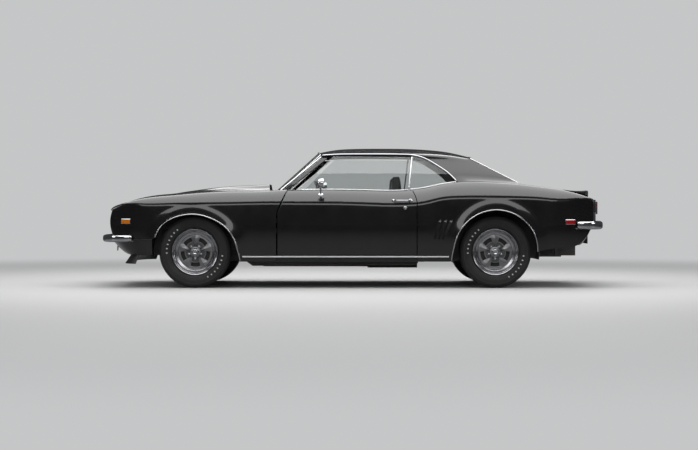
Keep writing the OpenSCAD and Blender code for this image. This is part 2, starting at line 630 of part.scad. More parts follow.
module boot_lid() {
    color("#111214") union() {
        sheet(boot_grid, sunk(boot_grid, skin_t));
        both_sides() translate([boot_pin_x, boot_pin_y, boot_pin_z]) {
            lug(-door_gap_front - lug_r * 3);
            translate([-door_gap_front - lug_r * 3, -lug_l, 0]) cube([lug_r * 2, lug_l, skin_t]);
        }
    }
}
spoiler_grid = [for (k = [0 : 12])
    let (v = 2 * k / 12 - 1, y = v * (seam_y(-boot_rear_x) - lid_gap * 2))
    let (x = -boot_rear_x - tail_bow * 0.9 * (1 - v * v) + lid_gap, z = deck_z(x, y) + lap)
    let (z_front = deck_z(x + spoiler_l, y) + lap)
    [[x + spoiler_l, y, z_front], [x + spoiler_l * 0.5, y, mix(z, z_front, 0.5) + spoiler_h * 0.45],
        [x + lid_gap, y, z + spoiler_h], [x - lid_gap, y, z + spoiler_h * 0.93]]];
spoiler_under = [for (row = spoiler_grid) let (a = row[0], b = row[3])
    [for (u = [0, 0.45, 0.9, 1]) let (x = mix(a.x, b.x, u))
        [x, a.y, deck_z(x, a.y) + lap * (1 + 2.5 * sin(180 * u))]]];
module boot_spoiler() {
    lifted = [for (row = spoiler_grid) concat([row[0] + [0, 0, lap * 3]], [row[1], row[2], row[3]])];
    color("#111214") sheet(lifted, spoiler_under);
}
tail_grid = [for (i = [0 : 4]) [for (j = [0 : 14])
    let (v = 2 * j / 14 - 1, z = mix(body_h * 0.47, crest_z(-half_l * 0.939) - lid_gap, i / 4))
    let (y = v * (side_y(-half_l * 0.939, z) - skin_t * 1.12)) [tail_rear(y), y, z]]];
module tail_panel() {
    color("#111214") sheet(tail_grid, sunk(tail_grid, skin_t));
}

// Bumpers and valances: bowed round the ends of the car
bow_power = 3.2;
function bow(a, b, t) =
    [a * pow(abs(cos(t)), 2 / bow_power), b * sign(sin(t)) * pow(abs(sin(t)), 2 / bow_power)];
bow_steps = 28;
function blade(reach, wide, z, tall) =
    [for (k = [0 : bow_steps]) let (t = mix(-90, 90, k / bow_steps), c = bow(reach, wide, t))
        [for (s = [[0, -0.5], [0.8, -0.4], [1, -0.15], [1, 0.15], [0.8, 0.4], [0, 0.5]])
            let (o = (s[0] - 1) * bumper_t)
            [half_l - reach + c.x + o * cos(t), c.y + o * sin(t), z + s[1] * tall]]];
function blade_back(reach, wide, z, tall) =
    let (w = bumper_t * 0.5)
    [for (row = blade(reach, wide, z, tall)) [for (p = row)
        [mix(p.x, half_l - reach, w / reach), p.y * (1 - w / wide), p.z]]];
front_wide = waist_y(half_l * 0.86) + bumper_t * 1.7;
rear_wide = waist_y(-half_l * 0.88) + bumper_t * 2;
rear_wrap = bumper_wrap * 0.9;
module front_bumper() {
    color("#c9ccd0") sheet(blade(bumper_wrap, front_wide, bumper_front_z, bumper_h),
        blade_back(bumper_wrap, front_wide, bumper_front_z, bumper_h));
}
module rear_bumper() {
    color("#c9ccd0") mirror([1, 0, 0]) sheet(blade(rear_wrap, rear_wide, bumper_rear_z, bumper_h * 1.15),
        blade_back(rear_wrap, rear_wide, bumper_rear_z, bumper_h * 1.15));
}
// Where a bumper iron meets a blade's back
iron_turn = 180 / bow_steps * 2;
function iron_end(reach, wide) =
    let (c = bow(reach, wide, iron_turn))
    [half_l - reach + c.x * (1 - bumper_t * 0.5 / reach), c.y * (1 - bumper_t * 0.5 / wide)];
iron_w = 12;
iron_h = 14;
valance_x = front_axle_x + arch_r * 1.005;
valance_grid = [for (k = [0 : bow_steps]) [for (j = [0 : 5])
    let (u = j / 5, z = mix(valance_low_z, valance_z - lap * 2.2, u))
    let (reach = mix(nose_x * 0.905, nose_x * 0.985, pow(u, 0.6)) - valance_x)
    let (c = bow(reach, side_y(valance_x, z) - seat_gap, mix(-90, 90, k / bow_steps)))
    [valance_x + c.x, c.y, z]]];
module front_valance() {
    color("#111214") sheet(valance_grid, sunk(valance_grid, skin_t));
}
chin_grid = [for (k = [3 : bow_steps - 3]) [for (j = [0 : 2])
    let (u = j / 2, z = mix(valance_low_z * 0.74, valance_low_z - seat_gap, u))
    let (reach = mix(nose_x * 0.93, nose_x * 0.905, u) - valance_x)
    let (c = bow(reach, side_y(valance_x, valance_low_z) - seat_gap, mix(-90, 90, k / bow_steps)))
    [valance_x + c.x, c.y, z]]];
module chin_spoiler() {
    color("#1a1a1c") sheet(chin_grid, moved(chin_grid, [-skin_t, 0, 0]));
}
skirt_x = half_l * 0.86;
skirt_grid = [for (k = [0 : bow_steps]) [for (j = [0 : 4])
    let (u = j / 4, z = mix(body_h * 0.3, body_h * 0.465, u))
    let (reach = mix(half_l * 0.9, half_l * 0.965, pow(u, 0.6)) - skirt_x)
    let (c = bow(reach, side_y(-skirt_x, z) - skin_t * 1.2, mix(90, -90, k / bow_steps)))
    [-skirt_x - c.x, sign(c.y) * min(abs(c.y), side_y(-skirt_x - c.x, z) - skin_t * 1.4), z]]];
module rear_valance() {
    color("#111214") sheet(skirt_grid, sunk(skirt_grid, skin_t));
}

// Grille and lamps: two halves swept back with the nose
grille_angle = atan(nose_sweep / seam_y(bonnet_front_x));
grille_half = half_w * 0.83;
grille_low_z = body_h * 0.385;
grille_h = body_h * 0.1575;
grille_depth = 40;
grille_x = nose_x - grille_depth * 1.1;
bar_t = 7;
lamp_r = grille_h * 0.44;
lamp_y = grille_half - lamp_r * 1.35;
grille_bars = 5;
grille_posts = 9;
module grille_frame() {
    translate([grille_x, 0, 0]) rotate([0, 0, grille_angle])
        translate([0, bar_t, grille_low_z]) difference() {
            union() {
                rotate([90, 0, 90]) linear_extrude(grille_depth) difference() {
                    square([grille_half, grille_h]);
                    translate([bar_t, bar_t]) square([grille_half - 2 * bar_t, grille_h - 2 * bar_t]);
                }
                for (k = [1 : grille_bars])
                    translate([bar_t, 0, grille_h * k / (grille_bars + 1)])
                        cube([bar_t * 2, grille_half, bar_t]);
                for (k = [1 : grille_posts])
                    translate([bar_t, grille_half * k / (grille_posts + 1), 0])
                        cube([bar_t, bar_t, grille_h]);
                translate([0, lamp_y, grille_h / 2]) rotate([0, 90, 0])
                    cylinder(h = grille_depth, r = lamp_r + bar_t);
            }
            translate([-lap, lamp_y, grille_h / 2]) rotate([0, 90, 0])
                cylinder(h = grille_depth + 2 * lap, r = lamp_r + seat_gap);
        }
}
module grille() {
    color("#26282b") union() {
        both_sides() grille_frame();
        translate([grille_x, -bar_t * 2, grille_low_z]) cube([grille_depth * 0.9, bar_t * 4, grille_h]);
    }
}
module headlamps() {
    color("#e8ecef") both_sides()
        translate([grille_x, 0, 0]) rotate([0, 0, grille_angle])
            translate([0, bar_t + lamp_y, grille_low_z + grille_h / 2]) rotate([0, 90, 0])
                rotate_extrude() polygon([[0, -grille_depth], [lamp_r * 0.5, -grille_depth], [lamp_r, 0],
                    [lamp_r, grille_depth * 0.7], [lamp_r * 0.7, grille_depth * 0.9], [0, grille_depth]]);
}
tail_lamp_t = 14;
tail_lamp_grid = [for (i = [0, 1]) [for (j = [0 : 6])
    let (y = half_w * mix(0.38, 0.78, j / 6)) [tail_rear(y) - lap, y, body_h * mix(0.525, 0.6, i)]]];
module tail_lamps() {
    color("#a01418") both_sides() sheet(moved(tail_lamp_grid, [-tail_lamp_t, 0, 0]), tail_lamp_grid);
}
marker_l = 90;
marker_h = 46;
marker_t = 6;
module marker(x, z) {
    g = on_side([for (i = [0 : 2]) [for (j = [0 : 2]) [x + marker_l * (0.5 - i / 2),
        z + marker_h * (j / 2 - 0.5)]]]);
    sheet(moved(g, [0, marker_t, 0]), moved(g, [0, seat_gap * 0.5, 0]));
}
module marker_lamps() {
    color("#c02018") both_sides() {
        marker(half_l * 0.884, body_h * 0.468);
        marker(-half_l * 0.847, body_h * 0.463);
    }
}
plate_t = 3;
module plate_bracket() {
    plate_z = body_h * 0.36;
    top_u = (plate_z + plate_hole_z * 1.25 - body_h * 0.3) / (body_h * 0.165);
    color("#2a2b2d") translate([-half_l * mix(0.9, 0.965, pow(top_u, 0.6)) - plate_t - seat_gap * 2, 0,
        plate_z])
        rotate([90, 0, 90]) linear_extrude(plate_t) difference() {
            translate([-plate_hole_y * 1.7, -plate_hole_z * 1.25])
                square([plate_hole_y * 3.4, plate_hole_z * 2.5]);
            for (a = [-1, 1], b = [-1, 1])
                translate([a * plate_hole_y, b * plate_hole_z]) circle(plate_hole_r);
        }
}

// Floor, firewall and inner structure
floor_t = 10;
floor_z = 236;
floor_half = half_w * 0.8;
heel_x = -half_l * 0.28;
diff_r = 92;
diff_gap = 9;
shaft_r = 34;
shaft_gap = 54;
rear_floor_z = hub_z + diff_r + diff_gap;
tunnel_half = 150;
tunnel_h = hub_z + shaft_r + shaft_gap + floor_t - floor_z;
firewall_x = half_l * 0.37;
sill_in = half_w * 0.7;
module floor_pan() {
    color("#232426") union() {
        difference() {
            translate([heel_x, -floor_half, floor_z]) cube([firewall_x - heel_x, 2 * floor_half, floor_t]);
            translate([heel_x - lap, -tunnel_half, floor_z - lap])
                cube([firewall_x - heel_x + 2 * lap, 2 * tunnel_half, floor_t + 2 * lap]);
        }
        translate([heel_x, 0, floor_z]) rotate([90, 0, 90]) linear_extrude(firewall_x - heel_x)
            difference() {
            polygon([[-tunnel_half - floor_t, 0], [-tunnel_half * 0.7, tunnel_h],
                [tunnel_half * 0.7, tunnel_h],
                [tunnel_half + floor_t, 0]]);
            polygon([[-tunnel_half, -lap], [-tunnel_half * 0.64, tunnel_h - floor_t],
                [tunnel_half * 0.64, tunnel_h - floor_t], [tunnel_half, -lap]]);
        }
        difference() {
            translate([heel_x - floor_t, -rear_floor_half, floor_z])
                cube([floor_t, 2 * rear_floor_half, rear_floor_z - floor_z]);
            translate([heel_x - floor_t - lap, -tunnel_half * 0.6, floor_z - lap])
                cube([floor_t + lap * 2, tunnel_half * 1.2, tunnel_h * 0.9]);
        }
        translate([-half_l * 0.9, -rear_floor_half, rear_floor_z])
            cube([heel_x + half_l * 0.9, 2 * rear_floor_half, floor_t]);
        both_sides() translate([-door_rear_x - lid_gap, 0, 0]) rotate([90, 0, 90])
            linear_extrude(door_front_x + door_rear_x + lid_gap * 2) polygon([[sill_in, floor_z],
                [plain_side_y(0, sill_z) - skin_t * 4, floor_z - floor_t],
                    [plain_side_y(0, sill_z) - skin_t * 1.6, sill_z],
                [plain_side_y(0, sill_z) - skin_t * 1.4, sill_top_z], [sill_in, sill_top_z]]);
    }
}
module firewall() {
    color("#1b1c1e") {
        difference() {
            translate([firewall_x + seat_gap, -half_w * 0.88, floor_z])
                cube([floor_t, half_w * 1.76, cowl_z - floor_z]);
            translate([firewall_x, -tunnel_half * 1.2, floor_z - lap])
                cube([floor_t + lap, tunnel_half * 2.4, tunnel_h + lap]);
        }
        translate([screen_base_x - pillar_w, -half_w * 0.76, cowl_z - floor_t])
            cube([firewall_x - screen_base_x + pillar_w + floor_t, half_w * 1.52, floor_t]);
    }
}
module inner_wings() {
    axle_at = front_axle_x - firewall_x - floor_t - seat_gap * 2;
    color("#1b1c1e") both_sides() translate([firewall_x + floor_t + seat_gap * 2,
        rail_mid_y + rail_t / 2 + skin_t + seat_gap, body_h * 0.26])
        rotate([90, 0, 0]) linear_extrude(skin_t)
            polygon([[0, 0], [axle_at - arm_half * 1.3, 0], [axle_at - arm_half * 1.3, body_h * 0.115],
                [axle_at + arm_half * 1.3, body_h * 0.115], [axle_at + arm_half * 1.3, 0],
                    [half_l * 0.47, 0], [half_l * 0.47, body_h * 0.3], [half_l * 0.3, body_h * 0.37],
                    [0, body_h * 0.38]]);
}
rail_t = 70;
rail_drop = 138.2;
rail_low_z = hub_z - rail_drop;
rail_h = 42;
rail_rise = 100;
rail_mid_y = half_w * 0.43;
front_iron = iron_end(bumper_wrap, front_wide);
module front_subframe() {
    color("#1c1d1f") union() {
        both_sides() {
            translate([0, rail_mid_y + rail_t / 2, 0]) rotate([90, 0, 0]) linear_extrude(rail_t)
                polygon([[half_l * 0.1, rail_low_z], [half_l * 0.4, rail_low_z],
                    [half_l * 0.46, rail_low_z + rail_rise],
                    [half_l * 0.872, rail_low_z + rail_rise],
                        [half_l * 0.872, rail_low_z + rail_rise + rail_t],
                    [half_l * 0.44, rail_low_z + rail_rise + rail_t],
                        [half_l * 0.385, rail_low_z + rail_h], [half_l * 0.1, rail_low_z + rail_h]]);
            translate([front_axle_x, 0, 0]) {
                for (z = [king_low_z - arm_t - seat_gap, king_top_z + seat_gap])
                    translate([0, 0, z]) linear_extrude(arm_t)
                        polygon([[-arm_half, rail_mid_y], [-arm_tip, king_y],
                        [arm_tip, king_y], [arm_half, rail_mid_y]]);
                translate([0, king_y, king_low_z - arm_t]) cylinder(h = arm_t + ball_l, r = ball_r);
                translate([0, king_y, king_top_z + seat_gap - ball_l])
                    cylinder(h = arm_t + ball_l, r = ball_r);
                translate([-rail_t / 2, rail_mid_y - rail_t / 2, rail_low_z])
                    cube([rail_t, rail_t, king_top_z + arm_t - rail_low_z + seat_gap]);
            }
            translate([half_l * 0.862, front_iron.y - iron_w / 2, bumper_front_z - iron_h * 0.36])
                cube([front_iron.x - seat_gap * 2.5 - half_l * 0.862, iron_w, iron_h]);
            translate([half_l * 0.862, front_iron.y - iron_w / 2, rail_low_z + rail_rise])
                cube([iron_w * 2, rail_mid_y - front_iron.y,
                    bumper_front_z - rail_low_z - rail_rise + iron_h * 0.64]);
        }
        translate([front_axle_x - rail_t / 2, -rail_mid_y, rail_low_z])
            cube([rail_t, 2 * rail_mid_y, rail_h]);
        translate([half_l * 0.85, 0, rail_low_z + rail_rise + rail_t * 0.3]) tow_eye();
    }
}
tow_t = 12;
module tow_eye() {
    linear_extrude(tow_t) difference() {
        hull() {
            translate([tow_r * 2, 0]) circle(tow_r * 2);
            translate([-tow_r, -tow_r * 2]) square([tow_r, tow_r * 4]);
        }
        translate([tow_r * 2, 0]) circle(tow_r);
    }
    translate([-tow_r * 2, -rail_mid_y, 0]) cube([tow_r * 2, 2 * rail_mid_y, tow_r * 2]);
}
king_low_z = hub_z - 118;
king_top_z = hub_z + 122;
arm_t = 14;
arm_half = 120;
arm_tip = 22;
ball_l = 30;
module knuckle() {
    translate([front_axle_x, king_y, 0]) {
        difference() {
            union() {
                translate([0, 0, king_low_z]) cylinder(h = king_top_z - king_low_z, r = king_r);
                translate([0, 0, hub_z]) rotate([-90, 0, 0]) cylinder(h = king_in + hub_l, r = axle_r);
            }
            translate([0, 0, king_low_z - lap]) cylinder(h = ball_l + lap * 3, r = ball_r + run_gap);
            translate([0, 0, king_top_z - ball_l - lap])
                cylinder(h = ball_l + lap * 3, r = ball_r + run_gap);
        }
    }
}
module knuckle_left() {
    color("#4a4c50") knuckle();
}
module knuckle_right() {
    color("#4a4c50") mirror([0, 1, 0]) knuckle();
}
tube_r = 38;
spring_y = half_w * 0.56;
spring_w = 64;
spring_t = 12;
module rear_axle() {
    color("#2b2c2f") union() {
        translate([rear_axle_x, 0, hub_z]) rotate([90, 0, 0])
            cylinder(h = 2 * (hub_y - drum_back), r = tube_r, center = true);
        translate([rear_axle_x, 0, hub_z]) rotate([90, 0, 0])
            cylinder(h = 2 * (hub_y + hub_l), r = axle_r, center = true);
        translate([rear_axle_x, 0, hub_z]) sphere(r = diff_r);
        both_sides() {
            translate([rear_axle_x - half_l * 0.27, spring_y - spring_w / 2, hub_z - tube_r - spring_t])
                cube([half_l * 0.53, spring_w, spring_t]);
            translate([rear_axle_x - rail_t, spring_y - spring_w / 2, hub_z - tube_r - lap])
                cube([rail_t * 2, spring_w, tube_r]);
            for (s = [-0.25, 0.24])
                translate([rear_axle_x + s * half_l - spring_t, spring_y - spring_w / 2,
                    hub_z - tube_r - lap])
                    cube([spring_t * 2, spring_w, rear_floor_z - hub_z + tube_r + lap - seat_gap]);
        }
    }
}
module driveshaft() {
    color("#3a3b3e") translate([rear_axle_x + diff_r + seat_gap, 0, hub_z]) rotate([0, 90, 0])
        cylinder(h = gearbox_x - rear_axle_x - diff_r - seat_gap * 2, r = shaft_r);
}
module exhaust() {
    color("#55585c") both_sides() {
        translate([-half_l * 0.26, half_w * 0.27, floor_z - muffler_r - seat_gap]) rotate([0, 90, 0])
            cylinder(h = half_l * 0.62, r = pipe_r);
        translate([-half_l * 0.26, half_w * 0.27, floor_z - muffler_r - seat_gap]) rotate([0, 90, 0])
            cylinder(h = half_l * 0.2, r = muffler_r);
    }
}
pipe_r = 22;
muffler_r = 34;
module fuel_tank() {
    color("#3c3e41") translate([-half_l * 0.89, -half_w * 0.45, body_h * 0.22])
        cube([half_l * 0.15, half_w * 0.9, rear_floor_z - body_h * 0.22 - seat_gap]);
}
gearbox_x = half_l * 0.06;
module engine() {
    color("#4c4e52") union() {
        translate([half_l * 0.44, -half_w * 0.3, rail_low_z + rail_h + seat_gap])
            cube([half_l * 0.28, half_w * 0.6, body_h * 0.59 - rail_low_z - rail_h]);
        translate([gearbox_x, -tunnel_half * 0.55, hub_z - shaft_r * 2])
            cube([half_l * 0.445 - gearbox_x, tunnel_half * 1.1, tunnel_h * 0.7]);
        translate([half_l * 0.53, 0, body_h * 0.59 - lap]) cylinder(h = body_h * 0.055, r = half_w * 0.18);
    }
}
module radiator() {
    color("#1a1b1d") translate([half_l * 0.815, -half_w * 0.46, rail_low_z + rail_rise + rail_t + seat_gap])
        cube([half_l * 0.025, half_w * 0.92, body_h * 0.25]);
}

// Seats, dash and steering wheel
seat_w = 430;
seat_y = half_w * 0.43;
module seat_shape() {
    foot = floor_z + floor_t + seat_gap;
    polygon([[body_h * 0.12, foot], [body_h * 0.12, body_h * 0.34], [-body_h * 0.16, body_h * 0.31],
        [-body_h * 0.26, body_h * 0.66], [-body_h * 0.275, body_h * 0.79], [-body_h * 0.34, body_h * 0.79],
        [-body_h * 0.36, body_h * 0.66], [-body_h * 0.3, foot]]);
}
module front_seats() {
    color("#2a2a2c") both_sides() translate([0, seat_y + seat_w / 2, 0]) rotate([90, 0, 0])
        linear_extrude(seat_w) seat_shape();
}
module rear_seat() {
    color("#2a2a2c") translate([0, rear_floor_half, 0]) rotate([90, 0, 0])
        linear_extrude(2 * rear_floor_half)
        polygon([[heel_x + seat_gap, rear_floor_z + floor_t + seat_gap],
            [heel_x + seat_gap, rear_floor_z + body_h * 0.1],
            [-half_l * 0.42, rear_floor_z + body_h * 0.07], [-half_l * 0.46, cowl_z - seat_gap],
                [-half_l * 0.51, cowl_z - seat_gap],
            [-half_l * 0.46, rear_floor_z + floor_t + seat_gap]]);
}
helm_x = half_l * 0.12;
helm_y = half_w * 0.41;
helm_z = body_h * 0.62;
helm_tilt = 112;
column_r = 14;
column_l = 260;
helm_tube = 12;
module dashboard() {
    color("#202123") union() {
        translate([0, half_w * 0.7, 0]) rotate([90, 0, 0]) linear_extrude(half_w * 1.4)
            polygon([[half_l * 0.2, body_h * 0.5], [half_l * 0.19, body_h * 0.64],
                [half_l * 0.235, cowl_z - floor_t - seat_gap],
                [half_l * 0.27, cowl_z - floor_t - seat_gap], [half_l * 0.27, body_h * 0.5]]);
        translate([helm_x, helm_y, helm_z]) rotate([0, helm_tilt, 0]) translate([0, 0, helm_tube * 1.2])
            cylinder(h = column_l, r = column_r * 2);
        translate([helm_x, helm_y, helm_z]) rotate([0, helm_tilt, 0]) translate([0, 0, -helm_tube * 2])
            cylinder(h = column_l, r = column_r * 0.6);
    }
}
module steering_wheel() {
    color("#151516") translate([helm_x, helm_y, helm_z]) rotate([0, helm_tilt, 0]) difference() {
        union() {
            rotate_extrude() translate([helm_d / 2 - helm_tube, 0]) circle(helm_tube);
            translate([0, 0, -helm_tube]) cylinder(h = helm_tube * 2, r = helm_d * 0.14);
            for (a = [0, 120, 240])
                rotate([0, 0, a]) translate([0, -helm_tube * 1.2, -helm_tube * 0.4])
                    cube([helm_d / 2 - helm_tube, helm_tube * 2.4, helm_tube * 0.8]);
        }
        translate([0, 0, -helm_tube * 1.5]) cylinder(h = helm_tube * 3, r = column_r * 0.6 + run_gap);
    }
}

// Mirrors on the doors
mirror_x = half_l * 0.124;
mirror_z = body_h * 0.735;
mirror_r = 42;
mirror_l = 56;
foot_z = body_h * 0.655;
foot_turn = 90 - atan((side_y(mirror_x, foot_z - lap) - side_y(mirror_x, foot_z + lap)) / (2 * lap));
module door_mirror() {
    union() {
        translate([mirror_x - mirror_l / 2, half_w * 1.04, mirror_z]) rotate([0, 90, 0])
            cylinder(h = mirror_l, r1 = mirror_r, r2 = mirror_r * 0.6);
        translate([mirror_x, side_y(mirror_x, foot_z), foot_z]) rotate([-foot_turn, 0, 0])
            cylinder(h = (mirror_z - foot_z) * 1.29, r = mirror_r * 0.22);
    }
}
module mirrors_left() {
    color("#c9ccd0") door_mirror();
}
module mirrors_right() {
    color("#c9ccd0") mirror([0, 1, 0]) door_mirror();
}

// Hinges of bonnet and boot lid: pins on their axes, on posts that stand on the cowl and the shelf
post_t = 12;
module lid_hinge(x, y, z, foot, lean) {
    translate([x, y + post_t + seat_gap * 2, z]) rotate([90, 0, 0])
        cylinder(h = lug_l + post_t + seat_gap * 4, r = hinge_pin_r);
    translate([x, y + post_t + seat_gap * 2, 0]) rotate([90, 0, 0]) linear_extrude(post_t)
        polygon([[-hinge_pin_r + lean, foot], [hinge_pin_r + lean, foot],
            [hinge_pin_r, z + hinge_pin_r * 0.4], [-hinge_pin_r, z + hinge_pin_r * 0.4]]);
}
module lid_hinges() {
    color("#3a3c40") both_sides() {
        lid_hinge(bonnet_pin_x, bonnet_pin_y, bonnet_pin_z, cowl_z + seat_gap, 0);
        lid_hinge(boot_pin_x, boot_pin_y, boot_pin_z, cowl_z + skin_t + seat_gap, 0);
    }
}

// Wheels: tyre and rim are turned, then the wheel's face is added
shoulder = 0.8;
module tyre_shape() {
    r = tyre_od / 2;
    bead = rim_od / 2 - rim_drop + seat_gap;
    polygon([[bead, -rim_w * 0.4], [rim_od / 2 + seat_gap * 4, -rim_w * 0.425],
        [mix(rim_od / 2, r, 0.3), -tyre_w * 0.49],
        [mix(rim_od / 2, r, 0.5), -tyre_w * 0.5], [mix(rim_od / 2, r, 0.75), -tyre_w * 0.485],
            [r - tyre_w * 0.04, -tyre_w * 0.42],
        [r - tyre_w * 0.01, -tyre_w * 0.37], [r, -tyre_w * 0.3], [r, tyre_w * 0.3],
            [r - tyre_w * 0.01, tyre_w * 0.37],
        [r - tyre_w * 0.04, tyre_w * 0.42], [mix(rim_od / 2, r, 0.75), tyre_w * 0.485],
            [mix(rim_od / 2, r, 0.5), tyre_w * 0.5],
        [mix(rim_od / 2, r, 0.3), tyre_w * 0.49], [rim_od / 2 + seat_gap * 4, rim_w * 0.425],
            [bead, rim_w * 0.4]]);
}
module tyre(x, side) {
    color("#161616") translate([x, side * hub_y, hub_z]) rotate([-90 * side, 0, 0])
        rotate_extrude($fn = 96) tyre_shape();
}
module tyre_front_left() {
    tyre(front_axle_x, 1);
}
module tyre_front_right() {
    tyre(front_axle_x, -1);
}
module tyre_rear_left() {
    tyre(rear_axle_x, 1);
}
module tyre_rear_right() {
    tyre(rear_axle_x, -1);
}
face_y = 18;
face_t = 16;
face_r = 160;
hub_r = 82;
hub_l = 20;
cap_r = 34;
cap_l = 34;
nut_r = 12;
nut_l = 22;
drum_r = 142;
drum_back = 58;
module rim_shape() {
    seat = rim_od / 2 - rim_drop;
    polygon([[seat, -rim_w * 0.41], [rim_od / 2, -rim_w * 0.44], [rim_od / 2, -rim_w / 2],
        [seat - rim_t, -rim_w * 0.46],
        [seat - rim_t * 2, 0], [face_r, face_y], [face_r, face_y + face_t], [seat - rim_t, rim_w * 0.3],
            [rim_od / 2 - rim_t, rim_w * 0.48],
        [rim_od / 2, rim_w / 2], [rim_od / 2, rim_w * 0.44], [seat, rim_w * 0.41]]);
}
module spoke_window() {
    polygon([[hub_r * 1.1, -hub_r * 0.22], [face_r * 0.94, -face_r * 0.34], [face_r * 0.985, 0],
        [face_r * 0.94, face_r * 0.34], [hub_r * 1.1, hub_r * 0.22]]);
}
module wheel(x, side) {
    color("#8b8e93") translate([x, side * hub_y, hub_z]) rotate([-90 * side, 0, 0]) difference() {
        union() {
            rotate_extrude($fn = 96) rim_shape();
            translate([0, 0, face_y]) linear_extrude(face_t) difference() {
                circle(face_r + lap);
                for (k = [0 : spokes - 1])
                    rotate([0, 0, 90 + 360 / spokes * k]) spoke_window();
            }
            for (k = [0 : spokes - 1])
                rotate([0, 0, 90 + 360 / spokes * (k + 0.5)])
                    translate([hub_r * 0.5, -hub_r * 0.16, face_y + face_t - lap])
                    cube([face_r - hub_r * 0.55, hub_r * 0.32, face_t * 0.5 + lap]);
            translate([0, 0, -drum_back]) cylinder(h = drum_back + face_y + lap, r = drum_r * 0.6);
            translate([0, 0, -drum_back]) cylinder(h = drum_back * 0.9, r = drum_r);
            translate([0, 0, face_y + face_t - lap]) cylinder(h = cap_l, r1 = cap_r, r2 = cap_r * 0.7);
            for (k = [0 : spokes - 1])
                rotate([0, 0, 90 + 360 / spokes * k]) translate([nut_circle_r, 0, face_y + face_t - lap])
                    cylinder(h = nut_l, r = nut_r);
        }
        translate([0, 0, -drum_back - lap]) cylinder(h = drum_back + hub_l + 2 * lap, r = axle_r + run_gap);
    }
}
module wheel_front_left() {
    wheel(front_axle_x, 1);
}
module wheel_front_right() {
    wheel(front_axle_x, -1);
}
module wheel_rear_left() {
    wheel(rear_axle_x, 1);
}
module wheel_rear_right() {
    wheel(rear_axle_x, -1);
}

floor_pan();
firewall();
wing_left();
wing_right();
quarter_left();
quarter_right();
roof();
screen_pillars();
sail_panels();
windscreen();
rear_window();
quarter_glass();
deck_panel();
tail_panel();
rear_valance();
front_valance();
chin_spoiler();
nose_panel();
grille();
headlamps();
tail_lamps();
marker_lamps();
front_bumper();
rear_bumper();
plate_bracket();
front_seats();
rear_seat();
dashboard();
engine();
radiator();
front_subframe();
inner_wings();
rear_axle();
driveshaft();
exhaust();
fuel_tank();
door_hinges();
lid_hinges();
door_left();
door_right();
door_glass_left();
door_glass_right();
mirrors_left();
mirrors_right();
bonnet();
boot_lid();
boot_spoiler();
knuckle_left();
knuckle_right();
tyre_front_left();
tyre_front_right();
tyre_rear_left();
tyre_rear_right();
wheel_front_left();
wheel_front_right();
wheel_rear_left();
wheel_rear_right();
steering_wheel();
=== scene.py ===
# %% [markdown]
# A black two-door hardtop coupe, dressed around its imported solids. The solids stay where they are:
# this script only hides those that it replaces with finer surfaces, and adds trim, cloth and finish.
# The first cell loads them and keeps their box, because nothing added later may grow past it.

# %% Load the frame
import math

import bmesh
import bpy
import numpy as np
from mathutils import Matrix, Vector


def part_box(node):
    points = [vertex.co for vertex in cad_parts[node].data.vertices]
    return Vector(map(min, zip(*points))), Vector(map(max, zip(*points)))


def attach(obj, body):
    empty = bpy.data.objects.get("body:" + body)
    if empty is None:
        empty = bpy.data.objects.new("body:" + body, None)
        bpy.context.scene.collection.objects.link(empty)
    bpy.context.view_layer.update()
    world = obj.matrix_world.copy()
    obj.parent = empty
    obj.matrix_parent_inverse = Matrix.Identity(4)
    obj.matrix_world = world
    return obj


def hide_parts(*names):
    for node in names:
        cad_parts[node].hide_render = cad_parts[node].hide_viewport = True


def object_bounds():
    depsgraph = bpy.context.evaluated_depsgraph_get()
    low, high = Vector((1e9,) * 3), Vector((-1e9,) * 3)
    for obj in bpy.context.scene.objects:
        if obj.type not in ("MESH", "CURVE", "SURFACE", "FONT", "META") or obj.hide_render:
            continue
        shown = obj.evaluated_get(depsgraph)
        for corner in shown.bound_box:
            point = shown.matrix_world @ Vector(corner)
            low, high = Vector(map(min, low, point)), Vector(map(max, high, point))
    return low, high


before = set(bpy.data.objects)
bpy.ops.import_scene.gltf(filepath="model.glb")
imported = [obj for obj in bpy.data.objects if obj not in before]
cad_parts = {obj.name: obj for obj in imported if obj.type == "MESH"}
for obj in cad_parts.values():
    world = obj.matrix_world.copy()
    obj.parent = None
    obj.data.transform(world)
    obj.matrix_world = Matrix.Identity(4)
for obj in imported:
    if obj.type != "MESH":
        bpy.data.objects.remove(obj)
CAD_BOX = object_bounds()
SIDES = {"left": 1, "right": -1}

# %% [markdown]
# The body of such a car is drawn from a handful of long lines: the widest line of the side, a crease
# under the shoulder, the crest of the wings, the roof rail. Each table below gives those lines as
# shares of half the length, half the width or the height. A curve with continuous curvature runs
# through each column, because gloss paint shows every jump in curvature as a kink in a reflection.

# %% Long lines of the body
HALF_L = (CAD_BOX[1].x - CAD_BOX[0].x) / 2
BODY_H = 1.3
HALF_W = 0.918
FRONT_TYRE, REAR_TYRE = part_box("tyre_front_left"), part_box("tyre_rear_left")
HUB_Y, HUB_Z = (REAR_TYRE[0].y + REAR_TYRE[1].y) / 2, FRONT_TYRE[1].z / 2
FRONT_X, REAR_X = ((low.x + high.x) / 2 for low, high in (FRONT_TYRE, REAR_TYRE))

